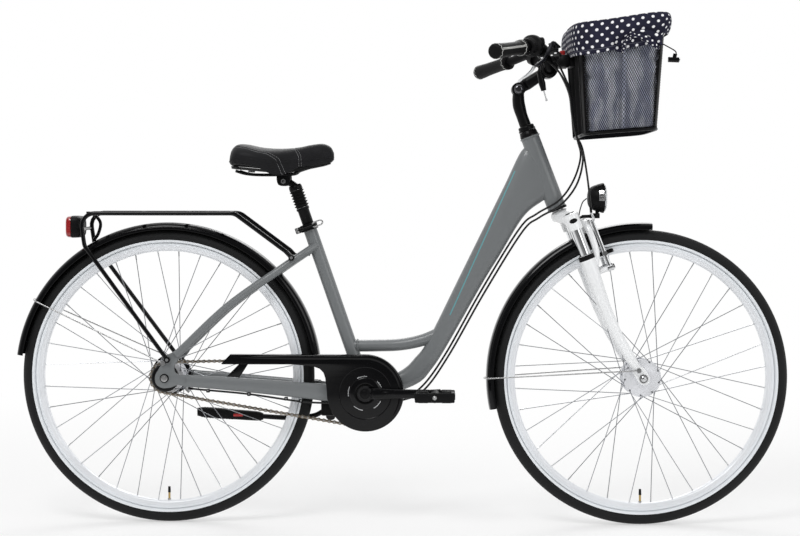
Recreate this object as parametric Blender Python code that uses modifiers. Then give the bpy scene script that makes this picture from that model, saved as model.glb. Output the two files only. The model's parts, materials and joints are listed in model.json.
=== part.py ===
"""City bike with a low step-through frame, sprung fork, rack, chainguard and front basket.

Metres, +X forward, +Y to the rider's left, +Z up, origin on the ground under the middle of
the bike's length. The handlebar, fork and front wheel stand slightly turned to the left.
"""

from math import asin, atan2, cos, hypot, pi, radians, sin, sqrt, tan

import bmesh
import bpy
from mathutils import Matrix, Vector

# Whole bike
WHEEL_RADIUS = 0.349
WHEELBASE = 1.122
REAR_AXLE_X = -0.5555
HEAD_ANGLE = radians(69.0)
SEAT_ANGLE = radians(70.8)
FORK_RAKE = 0.042
STEER_REST = radians(3.3)
CENTRING = (0.0013, 0.0015, 0.0)
GAP = 0.0003
RUNNING_GAP = 0.0008

# Wheels
TYRE_WIDTH = 0.040
RIM_WIDTH = 0.024
RIM_EDGE_RADIUS = WHEEL_RADIUS - 0.0325
RIM_BED_RADIUS = RIM_EDGE_RADIUS - 0.0065
RIM_INNER_RADIUS = RIM_BED_RADIUS - 0.0120
WHEEL_FACETS = 40
SPOKE_COUNT = 36
SPOKE_CROSSINGS = 3
SPOKE_RADIUS = 0.0011
HUB_FLANGE_Y = 0.0280
FRONT_FLANGE_RADIUS = 0.0450
REAR_FLANGE_RADIUS = 0.0400
FRONT_HUB_WIDTH = 0.100
REAR_HUB_WIDTH = 0.127
AXLE_RADIUS = 0.0048
VALVE_LENGTH = 0.036

# Frame
BB_X = -0.083
BB_Z = 0.314
BB_SHELL_RADIUS = 0.0205
BB_SHELL_WIDTH = 0.068
BB_BORE_RADIUS = 0.0172
SEAT_TUBE_RADIUS = 0.0160
SEAT_TUBE_LENGTH = 0.402
SEATPOST_RADIUS = 0.0136
HEAD_TUBE_RADIUS = 0.0220
HEAD_TUBE_BOTTOM = 0.4460
HEAD_TUBE_TOP = 0.6260
LOWER_CUP_HEIGHT = 0.0060
LOWER_CUP_RADIUS = 0.0234
STEERER_RADIUS = 0.0143
STEERER_WALL = 0.0013
TOP_TUBE_RADIUS = 0.0142
SEAT_STAY_RADIUS = 0.0095
DROPOUT_THICKNESS = 0.005

# Fork
STANCHION_RADIUS = 0.0140
STANCHION_Y = 0.0560
STANCHION_D = 0.0180
CROWN_BOTTOM = 0.3830
CROWN_SOCKET_RADIUS = 0.0185
CROWN_SOCKET_TOP = 0.4230
LOWERS_TOP = 0.3200
SEAL_HEIGHT = 0.0130
FORK_TRAVEL = 0.040
LOWER_LEG_RADIUS = 0.0180
ARCH_RADIUS = 0.0080
ARCH_D = 0.0480
ARCH_TOP = 0.3920
BOSS_S = 0.2710
BOSS_Y = 0.0420
BOSS_END_D = 0.0560

# Mudguards
FENDER_RADIUS = WHEEL_RADIUS + 0.0170
FENDER_HALF_WIDTH = 0.0265
FENDER_DEPTH = 0.0170
FENDER_WALL = 0.0014
STAY_RADIUS = 0.0018

# Drive
CHAIN_PITCH = 0.0127
CHAINRING_TEETH = 40
SPROCKET_TEETH = 18
CHAINLINE_Y = -0.0450
CHAIN_PLATE_HALF = 0.0042
CHAIN_WAIST_HALF = 0.0030
CHAIN_OUTER_HALF_WIDTH = 0.0042
CHAIN_INNER_HALF_WIDTH = 0.0030
TOOTH_WIDTH = 0.0020
CRANK_LENGTH = 0.165
CRANK_ARM_Y = 0.0660
CRANK_ARM_THICKNESS = 0.0120
PEDAL_LENGTH = 0.092
PEDAL_WIDTH = 0.078
PEDAL_HEIGHT = 0.026
GUARD_RADIUS = 0.0905
GUARD_HOLE_RADIUS = 0.0505
GUARD_FACE_Y = -0.0545
GUARD_WALL = 0.0020

# Seat
COLLAR_HEIGHT = 0.018
BELLOWS_BOTTOM = 0.462
BELLOWS_TOP = 0.5050
BELLOWS_RADIUS = 0.0175
BELLOWS_RIBS = 6
POST_SLIDER_RADIUS = 0.0110
POST_INSERTION = 0.110

# Steering
QUILL_RADIUS = 0.0127
UPPER_CUP_TOP = HEAD_TUBE_TOP + 0.0140
HEADSET_TOP = UPPER_CUP_TOP + 0.0130
HEADSET_CUP_RADIUS = 0.0217
STEM_PIVOT_S = HEADSET_TOP + 0.0854
STEM_PIVOT_D = 0.0144
STEM_PIVOT_RADIUS = 0.0160
STEM_TONGUE_HALF = 0.0085
STEM_EAR_WIDTH = 0.0065
BAR_S = STEM_PIVOT_S + 0.0179
BAR_D = 0.0970
BAR_RADIUS = 0.0111
BAR_CLAMP_RADIUS = 0.0127
STEM_CLAMP_RADIUS = 0.0205
BAR_HALF_WIDTH = 0.296
GRIP_RADIUS = 0.0160
GRIP_LENGTH = 0.130

# Rack
RACK_TUBE_RADIUS = 0.0052
RACK_TOP_Z = 0.7370
RACK_HALF_WIDTH = 0.0600
RACK_BAR_TOP = 0.0043

# Basket
BASKET_WALL = 0.0020
BASKET_BOTTOM_Z = 0.9150
BASKET_BACK_X = 0.4120
BASKET_FRONT_X = 0.5930

# Derived points of the bike
REAR_AXLE = Vector((REAR_AXLE_X, 0.0, WHEEL_RADIUS))
FRONT_AXLE = Vector((REAR_AXLE_X + WHEELBASE, 0.0, WHEEL_RADIUS))
BB = Vector((BB_X, 0.0, BB_Z))
STEER_UP = Vector((-cos(HEAD_ANGLE), 0.0, sin(HEAD_ANGLE)))
STEER_FORWARD = Vector((sin(HEAD_ANGLE), 0.0, cos(HEAD_ANGLE)))
STEER_FOOT = FRONT_AXLE - FORK_RAKE * STEER_FORWARD
SEAT_UP = Vector((-cos(SEAT_ANGLE), 0.0, sin(SEAT_ANGLE)))
SEAT_FORWARD = Vector((sin(SEAT_ANGLE), 0.0, cos(SEAT_ANGLE)))
Y_AXIS = Vector((0.0, 1.0, 0.0))


def axes_matrix(origin, x_dir, y_dir, z_dir):
    """Frame whose local axes point along three world directions."""
    m = Matrix((x_dir, y_dir, z_dir)).transposed().to_4x4()
    m.translation = origin
    return m


# Build frames: the steered pieces are drawn with the bar straight, then turned as one
WORLD = Matrix.Identity(4)
STEER_STRAIGHT = axes_matrix(STEER_FOOT, STEER_FORWARD, Y_AXIS, STEER_UP)
TURN = (
    Matrix.Translation(STEER_FOOT)
    @ Matrix.Rotation(STEER_REST, 4, STEER_UP)
    @ Matrix.Translation(-STEER_FOOT)
)
STEER = TURN @ STEER_STRAIGHT
SEAT = axes_matrix(BB, SEAT_FORWARD, Y_AXIS, SEAT_UP)
REAR_WHEEL = Matrix.Translation(REAR_AXLE)
FRONT_WHEEL_STRAIGHT = Matrix.Translation(FRONT_AXLE)
CRANKS = Matrix.Translation(BB)


# Scene and collections
for old in list(bpy.data.objects):
    bpy.data.objects.remove(old, do_unlink=True)
parts = bpy.data.collections.new("city_bike")
cutters = bpy.data.collections.new("cutters")
bpy.context.scene.collection.children.link(parts)
bpy.context.scene.collection.children.link(cutters)


def make_material(name, colour, roughness, metallic=0.0):
    mat = bpy.data.materials.new(name)
    mat.use_nodes = True
    shader = mat.node_tree.nodes["Principled BSDF"]
    shader.inputs["Base Color"].default_value = (*colour, 1.0)
    shader.inputs["Roughness"].default_value = roughness
    shader.inputs["Metallic"].default_value = metallic
    mat.diffuse_color = (*colour, 1.0)
    return mat


FRAME_GREY = make_material("frame_grey", (0.16, 0.165, 0.17), 0.35)
FORK_WHITE = make_material("fork_white", (0.85, 0.85, 0.86), 0.2)
BLACK_GLOSS = make_material("black_gloss", (0.012, 0.012, 0.014), 0.15)
BLACK_SATIN = make_material("black_satin", (0.02, 0.02, 0.022), 0.4)
BLACK_PLASTIC = make_material("black_plastic", (0.025, 0.025, 0.027), 0.55)
RUBBER = make_material("rubber", (0.02, 0.02, 0.02), 0.8)
CHROME = make_material("chrome", (0.8, 0.8, 0.82), 0.08, 1.0)
ALUMINIUM = make_material("aluminium", (0.7, 0.71, 0.72), 0.3, 1.0)
RIM_SILVER = make_material("rim_silver", (0.75, 0.77, 0.8), 0.35, 0.6)
STEEL = make_material("steel", (0.5, 0.5, 0.5), 0.35, 1.0)
CHAIN_BROWN = make_material("chain_brown", (0.22, 0.17, 0.12), 0.4, 1.0)
LEATHER = make_material("leather", (0.02, 0.02, 0.022), 0.5)
RED = make_material("red", (0.5, 0.02, 0.02), 0.3)
LENS_CLEAR = make_material("lens_clear", (0.85, 0.87, 0.9), 0.08)
NAVY = make_material("navy_cloth", (0.02, 0.025, 0.06), 0.9)


# Helpers for making solids
def link(obj, collection=parts):
    collection.objects.link(obj)
    return obj


def new_object(name, bm, mat):
    """Turn a bmesh into an object, with its faces pointing out."""
    bmesh.ops.recalc_face_normals(bm, faces=bm.faces)
    mesh = bpy.data.meshes.new(name)
    bm.to_mesh(mesh)
    bm.free()
    mesh.shade_smooth()
    mesh.set_sharp_from_angle(angle=radians(35.0))
    mesh.materials.append(mat)
    return link(bpy.data.objects.new(name, mesh))


def evaluated_mesh(obj):
    bpy.context.view_layer.update()
    graph = bpy.context.evaluated_depsgraph_get()
    return bpy.data.meshes.new_from_object(obj.evaluated_get(graph))


def as_mesh(obj, weld=1e-5):
    """Replace an object, such as a curve or one with modifiers, by its finished mesh."""
    mesh = evaluated_mesh(obj)
    name = obj.name
    mat = obj.data.materials[0]
    bpy.data.objects.remove(obj, do_unlink=True)
    bm = bmesh.new()
    bm.from_mesh(mesh)
    bmesh.ops.remove_doubles(bm, verts=bm.verts, dist=weld)
    bmesh.ops.dissolve_limit(
        bm, angle_limit=radians(0.2), verts=bm.verts, edges=bm.edges, use_dissolve_boundaries=False
    )
    bpy.data.meshes.remove(mesh)
    return new_object(name, bm, mat)


def fuse(name, pieces, mat):
    """Boolean union of several solids into one."""
    base = pieces[0]
    for other in pieces[1:]:
        step = base.modifiers.new("fuse", "BOOLEAN")
        step.operation = "UNION"
        step.object = other
    base.data.materials[0] = mat
    result = as_mesh(base)
    for other in pieces[1:]:
        bpy.data.objects.remove(other, do_unlink=True)
    result.name = name
    return result


def cut(obj, cutter):
    """Cut one solid out of another and keep the cutter for later changes."""
    parts.objects.unlink(cutter)
    cutters.objects.link(cutter)
    cutter.hide_render = True
    cutter.display_type = "WIRE"
    step = obj.modifiers.new("cut", "BOOLEAN")
    step.operation = "DIFFERENCE"
    step.object = cutter
    return obj


def box(name, size, centre, mat, bevel=0.0, turn=None):
    bm = bmesh.new()
    bmesh.ops.create_cube(bm, size=1.0)
    bmesh.ops.scale(bm, vec=Vector(size), verts=bm.verts)
    if bevel:
        bmesh.ops.bevel(
            bm, geom=list(bm.edges), offset=bevel, segments=1, profile=0.5, affect="EDGES"
        )
    if turn is not None:
        bmesh.ops.transform(bm, matrix=turn, verts=bm.verts)
    bmesh.ops.translate(bm, vec=Vector(centre), verts=bm.verts)
    return new_object(name, bm, mat)


def rod(name, start, end, radius, mat, sides=12, end_radius=None):
    """Cylinder or cone between two points."""
    start, end = Vector(start), Vector(end)
    bm = bmesh.new()
    bmesh.ops.create_cone(
        bm,
        cap_ends=True,
        segments=sides,
        radius1=radius,
        radius2=radius if end_radius is None else end_radius,
        depth=(end - start).length,
    )
    turn = (end - start).to_track_quat("Z", "Y").to_matrix().to_4x4()
    bmesh.ops.transform(bm, matrix=Matrix.Translation((start + end) / 2) @ turn, verts=bm.verts)
    return new_object(name, bm, mat)


def turned(name, profile, mat, steps=24, axis="Z", centre=(0, 0, 0), closed=False):
    """Turn a profile of (radius, height) points about an axis with a Screw modifier."""
    mesh = bpy.data.meshes.new(name)
    count = len(profile)
    edges = [(i, i + 1) for i in range(count - 1)]
    if closed:
        edges.append((count - 1, 0))
    mesh.from_pydata([(r, 0.0, h) for r, h in profile], edges, [])
    mesh.materials.append(mat)
    obj = link(bpy.data.objects.new(name, mesh))
    screw = obj.modifiers.new("turn", "SCREW")
    screw.axis = "Z"
    screw.steps = steps
    screw.render_steps = steps
    screw.use_merge_vertices = True
    screw.merge_threshold = 0.00001
    obj = as_mesh(obj)
    turn = {
        "Z": Matrix.Identity(4),
        "Y": Matrix.Rotation(-pi / 2, 4, "X"),
        "X": Matrix.Rotation(pi / 2, 4, "Y"),
    }[axis]
    obj.data.transform(Matrix.Translation(Vector(centre)) @ turn)
    return obj


def tube(name, points, radius, mat, resolution=2, cyclic=False, radii=None):
    """Round bar along a polyline, made from a bevelled curve."""
    curve = bpy.data.curves.new(name, "CURVE")
    curve.dimensions = "3D"
    curve.bevel_depth = radius
    curve.bevel_resolution = resolution
    curve.use_fill_caps = True
    spline = curve.splines.new("POLY")
    spline.points.add(len(points) - 1)
    for i, p in enumerate(points):
        spline.points[i].co = (*p, 1.0)
        if radii:
            spline.points[i].radius = radii[i]
    spline.use_cyclic_u = cyclic
    curve.materials.append(mat)
    return as_mesh(link(bpy.data.objects.new(name, curve)))


def smooth_path(points, per_span):
    """Points of a smooth curve that passes through the given points."""
    pts = [Vector(p) for p in points]
    ends = [pts[0] * 2 - pts[1]] + pts + [pts[-1] * 2 - pts[-2]]
    out = []
    for i in range(1, len(ends) - 2):
        a, b, c, d = ends[i - 1 : i + 3]
        for k in range(per_span):
            t = k / per_span
            out.append(
                0.5
                * (
                    2 * b
                    + (c - a) * t
                    + (2 * a - 5 * b + 4 * c - d) * t * t
                    + (3 * b - a - 3 * c + d) * t * t * t
                )
            )
    return out + [pts[-1]]


def rounded_path(corners, radius, steps=4):
    """Polyline whose inner corners are rounded to one bend radius."""
    pts = [Vector(p) for p in corners]
    out = [pts[0]]
    for before, corner, after in zip(pts, pts[1:], pts[2:]):
        a = (before - corner).normalized()
        b = (after - corner).normalized()
        half = a.angle(b) / 2
        reach = min(radius / tan(half), 0.45 * min((before - corner).length, (after - corner).length))
        bend = reach * tan(half)
        middle = corner + (a + b).normalized() * (bend / sin(half))
        start, end = corner + a * reach - middle, corner + b * reach - middle
        turn = start.rotation_difference(end)
        for k in range(steps + 1):
            q = Matrix.Rotation(turn.angle * k / steps, 4, turn.axis)
            out.append(middle + q @ start)
    return out + [pts[-1]]


def loft(name, rings, mat, cap=True, closed=False):
    """Skin through rings of points that all have the same count."""
    bm = bmesh.new()
    rows = [[bm.verts.new(p) for p in ring] for ring in rings]
    pairs = list(zip(rows, rows[1:]))
    if closed:
        pairs.append((rows[-1], rows[0]))
    for one, two in pairs:
        n = len(one)
        for i in range(n):
            j = (i + 1) % n
            bm.faces.new((one[i], one[j], two[j], two[i]))
    if cap and not closed:
        bm.faces.new(rows[0])
        bm.faces.new(rows[-1])
    return new_object(name, bm, mat)


def oval(centre, across, up, half_across, half_up, count=16, power=2.0):
    """Ring of points on a superellipse, across and up being unit directions."""
    ring = []
    for i in range(count):
        a = 2 * pi * (i + 0.5) / count
        c, s = cos(a), sin(a)
        e = 2.0 / power
        x = (abs(c) ** e) * (1 if c >= 0 else -1)
        z = (abs(s) ** e) * (1 if s >= 0 else -1)
        ring.append(Vector(centre) + across * (half_across * x) + up * (half_up * z))
    return ring


def plate(name, outline, thickness, mat, axis="Y", offset=0.0):
    """Flat outline of (a, b) points given a thickness along one axis."""
    curve = bpy.data.curves.new(name, "CURVE")
    curve.dimensions = "2D"
    curve.fill_mode = "BOTH"
    curve.extrude = thickness / 2
    spline = curve.splines.new("POLY")
    spline.points.add(len(outline) - 1)
    for i, (a, b) in enumerate(outline):
        spline.points[i].co = (a, b, 0.0, 1.0)
    spline.use_cyclic_u = True
    curve.materials.append(mat)
    obj = as_mesh(link(bpy.data.objects.new(name, curve)))
    turn = {
        "Y": Matrix(((1, 0, 0, 0), (0, 0, -1, offset), (0, 1, 0, 0), (0, 0, 0, 1))),
        "X": Matrix(((0, 0, 1, offset), (1, 0, 0, 0), (0, 1, 0, 0), (0, 0, 0, 1))),
        "Z": Matrix.Translation((0, 0, offset)),
    }[axis]
    obj.data.transform(turn)
    return obj


def arc(centre, radius, start, end, steps):
    """Points of an arc in a plane, angles in degrees."""
    out = []
    for k in range(steps + 1):
        a = radians(start + (end - start) * k / steps)
        out.append((centre[0] + radius * cos(a), centre[1] + radius * sin(a)))
    return out


def mirrored(obj, name):
    """Copy of a solid on the other side of the bike's middle plane."""
    bm = bmesh.new()
    bm.from_mesh(obj.data)
    bmesh.ops.scale(bm, vec=(1, -1, 1), verts=bm.verts)
    bmesh.ops.reverse_faces(bm, faces=bm.faces)
    return new_object(name, bm, obj.data.materials[0])


# Joint empties
WORLD_OF = {}


def pivot(name, place, parent=None):
    """Empty on a joint's axis, which carries the pieces that move with it."""
    empty = bpy.data.objects.new(name, None)
    link(empty)
    WORLD_OF[name] = place
    if parent is None:
        empty.matrix_local = place
    else:
        empty.parent = bpy.data.objects[parent]
        empty.matrix_local = WORLD_OF[parent].inverted() @ place
    return empty


def attach(obj, name, frame=WORLD):
    """Hang a solid, drawn in a build frame, on an empty."""
    place = WORLD_OF[name].inverted() @ frame
    obj.data.transform(place)
    obj.parent = bpy.data.objects[name]
    for step in obj.modifiers:
        if step.type == "BOOLEAN" and step.object.parent is None:
            step.object.data.transform(place)
            step.object.parent = bpy.data.objects[name]
    return obj


def at(matrix, point):
    return matrix @ Vector(point)


def moved(matrix, point):
    return matrix @ Matrix.Translation(Vector(point))


pivot("bike", Matrix.Identity(4))
bpy.data.objects["bike"].location = CENTRING
pivot("rear_wheel", REAR_WHEEL, "bike")
pivot("driver", REAR_WHEEL, "bike")
pivot("cranks", CRANKS, "bike")
pivot("pedal_right_pivot", moved(CRANKS, (CRANK_LENGTH, 0, 0)), "cranks")
pivot("pedal_left_pivot", moved(CRANKS, (-CRANK_LENGTH, 0, 0)), "cranks")
pivot("seat_height", SEAT, "bike")
pivot("seat_spring", SEAT, "seat_height")
SADDLE_CLAMP = Vector((-0.2780, 0.0, 0.8120))
pivot("saddle_tilt", Matrix.Translation(SADDLE_CLAMP), "seat_spring")
COLLAR_PIVOT_Y = 0.0
pivot("steering", STEER, "bike")
pivot("fork_slide", STEER, "steering")
pivot("front_wheel", TURN @ FRONT_WHEEL_STRAIGHT, "fork_slide")
pivot("brake_right", moved(STEER, (BOSS_END_D, -BOSS_Y, BOSS_S)), "fork_slide")
pivot("brake_left", moved(STEER, (BOSS_END_D, BOSS_Y, BOSS_S)), "fork_slide")
pivot("bar", moved(STEER, (STEM_PIVOT_D, 0, STEM_PIVOT_S)), "steering")


# Wheels
def tyre(name):
    seat_r = RIM_EDGE_RADIUS + GAP
    half = TYRE_WIDTH / 2
    middle = WHEEL_RADIUS - half
    profile = [(seat_r, -0.0110), (seat_r + 0.0045, -0.0165)]
    for a in (-90, -48, -16, 16, 48, 90):
        if abs(a) == 90:
            profile.append((middle, half * sin(radians(a))))
        elif abs(a) == 16:
            profile.append((WHEEL_RADIUS, half * sin(radians(a))))
        else:
            profile.append((middle + half * cos(radians(a)), half * sin(radians(a))))
    profile += [(seat_r + 0.0045, 0.0165), (seat_r, 0.0110)]
    return turned(name, profile, RUBBER, WHEEL_FACETS, "Y", closed=True)


def rim(name):
    """Box-section rim with its tyre valve standing inwards at the bottom."""
    half = RIM_WIDTH / 2
    profile = [
        (RIM_EDGE_RADIUS, half),
        (RIM_BED_RADIUS, half - 0.003),
        (RIM_BED_RADIUS, -half + 0.003),
        (RIM_EDGE_RADIUS, -half),
        (RIM_INNER_RADIUS + 0.004, -half),
        (RIM_INNER_RADIUS, -half + 0.006),
        (RIM_INNER_RADIUS, half - 0.006),
        (RIM_INNER_RADIUS + 0.004, half),
    ]
    ring = turned(name, profile, RIM_SILVER, WHEEL_FACETS, "Y", closed=True)
    top = -(RIM_INNER_RADIUS - VALVE_LENGTH)
    stem = rod("stem", (0, 0, -RIM_BED_RADIUS + 0.003), (0, 0, top), 0.0030, RUBBER, 8)
    return fuse(name, [ring, stem], RIM_SILVER)


def spokes(flange_radius, rim_radius):
    """All the spokes of a wheel, laced in pairs that cross on the way to the rim."""
    bm = bmesh.new()
    per_side = SPOKE_COUNT // 2
    step = 2 * pi / per_side
    for side in (-1, 1):
        for j in range(per_side):
            lead = 1 if j % 2 else -1
            hub_angle = step * j + (step / 2 if side > 0 else 0) + step / 4
            rim_angle = hub_angle + lead * SPOKE_CROSSINGS * step
            y_hub = side * (HUB_FLANGE_Y + lead * 0.0024)
            a = Vector((cos(hub_angle), 0, sin(hub_angle))) * (flange_radius - 0.004)
            b = Vector((cos(rim_angle), 0, sin(rim_angle))) * rim_radius
            a.y = y_hub
            b.y = side * 0.0040
            turn = (b - a).to_track_quat("Z", "Y").to_matrix().to_4x4()
            bmesh.ops.create_cone(
                bm,
                cap_ends=True,
                segments=3,
                radius1=SPOKE_RADIUS,
                radius2=SPOKE_RADIUS,
                depth=(b - a).length,
                matrix=Matrix.Translation((a + b) / 2) @ turn,
            )
    return new_object("spokes", bm, STEEL)


def hub(name, flange_radius, shell_radius, width, mat):
    """Hub shell with two spoke flanges, its bore open for the axle."""
    half = width / 2 - 0.004
    fy = HUB_FLANGE_Y
    bore = AXLE_RADIUS + RUNNING_GAP
    profile = [
        (bore, half),
        (0.0150, half),
        (0.0165, fy + 0.008),
        (flange_radius, fy + 0.0034),
        (flange_radius, fy - 0.0034),
        (shell_radius, fy - 0.0050),
        (shell_radius, -fy + 0.0050),
        (flange_radius, -fy + 0.0034),
        (flange_radius, -fy - 0.0034),
        (0.0165, -fy - 0.008),
        (0.0150, -half),
        (bore, -half),
    ]
    shell = turned("shell", profile, mat, 18, "Y", closed=True)
    return fuse(name, [shell, spokes(flange_radius, RIM_INNER_RADIUS * cos(pi / WHEEL_FACETS) - GAP)], mat)


def axle(name, width, reach, mat):
    """Axle with a dome nut outside each dropout."""
    profile = [(0.0, reach), (0.0050, reach), (0.0080, reach - 0.0025), (0.0085, reach - 0.0060)]
    flat = width / 2 + DROPOUT_THICKNESS + GAP
    profile += [(0.0105, reach - 0.0060), (0.0105, flat), (AXLE_RADIUS, flat)]
    lower = [(r, -h) for r, h in reversed(profile)]
    return turned(name, profile + lower, mat, 10, "Y")


FRONT_WHEEL = TURN @ FRONT_WHEEL_STRAIGHT
for side, frame_matrix, body in (
    ("rear", REAR_WHEEL, "rear_wheel"),
    ("front", FRONT_WHEEL, "front_wheel"),
):
    attach(tyre(side + "_tyre"), body, frame_matrix)
    attach(rim(side + "_rim"), body, frame_matrix)

attach(
    hub("front_hub", FRONT_FLANGE_RADIUS, 0.0400, FRONT_HUB_WIDTH, ALUMINIUM),
    "front_wheel",
    FRONT_WHEEL,
)
attach(
    hub("rear_hub", REAR_FLANGE_RADIUS, 0.0330, REAR_HUB_WIDTH - 0.018, ALUMINIUM),
    "rear_wheel",
    REAR_WHEEL,
)
attach(axle("front_axle", FRONT_HUB_WIDTH, 0.0640, STEEL), "fork_slide", FRONT_WHEEL)


# Frame
def stay(name, stations, mat, count=10, power=2.2):
    """Loft along (x, y, z, half width, half depth) stations, upright in section."""
    centres = [Vector(s[:3]) for s in stations]
    rings = []
    for i, s in enumerate(stations):
        before = centres[max(i - 1, 0)]
        after = centres[min(i + 1, len(centres) - 1)]
        along = (after - before).normalized()
        across = along.cross(Vector((0, 0, 1))).normalized()
        up = across.cross(along).normalized()
        rings.append(oval(centres[i], across, up, s[3], s[4], count, power))
    return loft(name, rings, mat)


def down_tube():
    """Deep tapering tube that curves forward of the bottom bracket."""
    edges = [
        ((0.3110, 0.8940), (0.3530, 0.7740), 0.0200),
        ((0.2842, 0.8845), (0.3315, 0.7640), 0.0215),
        ((0.2427, 0.8000), (0.2884, 0.7275), 0.0222),
        ((0.1800, 0.6723), (0.2330, 0.6370), 0.0218),
        ((0.1407, 0.5923), (0.1908, 0.5677), 0.0215),
        ((0.0640, 0.4370), (0.1040, 0.4147), 0.0208),
        ((0.0300, 0.3905), (0.0706, 0.3643), 0.0205),
        ((0.0085, 0.3690), (0.0460, 0.3370), 0.0204),
        ((-0.0180, 0.3540), (0.0064, 0.3175), 0.0202),
        ((-0.0480, 0.3430), (-0.0400, 0.3020), 0.0200),
        ((-0.0800, 0.3340), (-0.0780, 0.2945), 0.0190),
    ]
    rings = []
    for (ux, uz), (lx, lz), half in edges:
        upper, lower = Vector((ux, 0, uz)), Vector((lx, 0, lz))
        up = upper - lower
        rings.append(oval((upper + lower) / 2, Y_AXIS, up.normalized(), half, up.length / 2, 12, 2.4))
    return loft("down_tube", rings, FRAME_GREY)


def dropout(side):
    outline = [
        (0.062, 0.006),
        (0.060, -0.020),
        (0.032, -0.016),
        (0.014, -0.022),
        (-0.006, -0.023),
        (-0.020, -0.013),
        (-0.022, 0.006),
        (-0.010, 0.028),
        (-0.001, 0.050),
        (0.012, 0.058),
        (0.034, 0.066),
        (0.042, 0.056),
        (0.026, 0.034),
        (0.024, 0.018),
        (0.034, 0.009),
    ]
    points = [(x + REAR_AXLE_X, z + WHEEL_RADIUS) for x, z in outline]
    y = side * (REAR_HUB_WIDTH / 2 + DROPOUT_THICKNESS / 2)
    return plate("dropout", points, DROPOUT_THICKNESS, FRAME_GREY, "Y", y)


seat_tube_end = at(SEAT, (0, 0, 0.4200))
BRIDGE = Vector((-0.2700, 0.0, 0.6136))
bridge_out = (BRIDGE - REAR_AXLE).normalized()
KICKSTAND_PIVOT = Vector((-0.1700, 0.0440, 0.2620))
KICKSTAND_FOLDED = Vector((-0.998, 0.050, -0.020)).normalized()
KICKSTAND_DOWN = Vector((0.150, 0.620, -0.770)).normalized()
KICKSTAND_AXIS = KICKSTAND_FOLDED.cross(KICKSTAND_DOWN).normalized()
kick_out = -KICKSTAND_AXIS if KICKSTAND_AXIS.y < 0 else KICKSTAND_AXIS

frame_pieces = [
    rod("bb_shell", BB - Y_AXIS * BB_SHELL_WIDTH / 2, BB + Y_AXIS * BB_SHELL_WIDTH / 2,
        BB_SHELL_RADIUS, FRAME_GREY, 18),
    rod("seat_tube", BB, seat_tube_end, SEAT_TUBE_RADIUS, FRAME_GREY, 16),
    down_tube(),
    tube(
        "top_tube",
        smooth_path(
            [(-0.1250, 0, 0.4215), (-0.0600, 0, 0.4222), (0.0000, 0, 0.4250),
             (0.0550, 0, 0.4370), (0.1060, 0, 0.4600)], 2
        ),
        TOP_TUBE_RADIUS, FRAME_GREY, 3,
    ),
    rod("head_tube", at(STEER_STRAIGHT, (0, 0, HEAD_TUBE_BOTTOM - 0.0002)),
        at(STEER_STRAIGHT, (0, 0, HEAD_TUBE_TOP + 0.0002)), HEAD_TUBE_RADIUS, FRAME_GREY, 18),
    rod("lower_cup", at(STEER_STRAIGHT, (0, 0, HEAD_TUBE_BOTTOM - LOWER_CUP_HEIGHT)),
        at(STEER_STRAIGHT, (0, 0, HEAD_TUBE_BOTTOM)), LOWER_CUP_RADIUS, BLACK_SATIN, 16),
    rod("upper_cup", at(STEER_STRAIGHT, (0, 0, HEAD_TUBE_TOP)),
        at(STEER_STRAIGHT, (0, 0, UPPER_CUP_TOP)), HEADSET_CUP_RADIUS, BLACK_SATIN, 16),
    rod("bridge", BRIDGE - Y_AXIS * 0.034, BRIDGE + Y_AXIS * 0.034, 0.0060, FRAME_GREY, 8),
    rod("fender_bolt", BRIDGE, REAR_AXLE + bridge_out * FENDER_RADIUS, 0.0045,
        FRAME_GREY, 8),
    box("kickstand_mount", (0.040, 0.056, 0.040), (-0.1700, 0.0080, 0.2760), BLACK_SATIN, 0.003),
    rod("kickstand_lug", KICKSTAND_PIVOT - kick_out * 0.0220,
        KICKSTAND_PIVOT - kick_out * RUNNING_GAP, 0.0110, BLACK_SATIN, 12),
]
for side in (-1, 1):
    frame_pieces += [
        stay(
            "chainstay",
            [(-0.0830, side * 0.0200, 0.3110, 0.0080, 0.0180),
             (-0.1700, side * 0.0305, 0.3126, 0.0076, 0.0203),
             (-0.2100, side * 0.0345, 0.3165, 0.0075, 0.0195),
             (-0.3000, side * 0.0440, 0.3255, 0.0075, 0.0175),
             (-0.4200, side * 0.0550, 0.3365, 0.0072, 0.0155),
             (-0.5050, side * 0.0640, 0.3430, 0.0065, 0.0140)],
            FRAME_GREY,
        ),
        tube(
            "seat_stay",
            smooth_path(
                [(-0.2010, side * 0.0090, 0.6610), (-0.2350, side * 0.0270, 0.6380),
                 (-0.2850, side * 0.0400, 0.6040), (-0.4081, side * 0.0530, 0.5169),
                 (-0.5285, side * 0.0660, 0.4030)], 2
            ),
            SEAT_STAY_RADIUS, FRAME_GREY, 2,
        ),
        dropout(side),
    ]
frame = fuse("frame", frame_pieces, FRAME_GREY)
cut(frame, rod("bb_bore", BB - Y_AXIS * 0.05, BB + Y_AXIS * 0.05, BB_BORE_RADIUS, STEEL, 18))
cut(frame, rod("seat_bore", at(SEAT, (0, 0, 0.140)), at(SEAT, (0, 0, 0.450)),
               SEATPOST_RADIUS + RUNNING_GAP, STEEL, 16))
cut(frame, rod("head_bore", at(STEER_STRAIGHT, (0, 0, 0.420)), at(STEER_STRAIGHT, (0, 0, 0.660)),
               STEERER_RADIUS + RUNNING_GAP, STEEL, 16))
cut(frame, rod("axle_bore", REAR_AXLE - Y_AXIS * 0.080, REAR_AXLE + Y_AXIS * 0.080,
               AXLE_RADIUS + GAP, STEEL, 12))
attach(frame, "bike")

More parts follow.
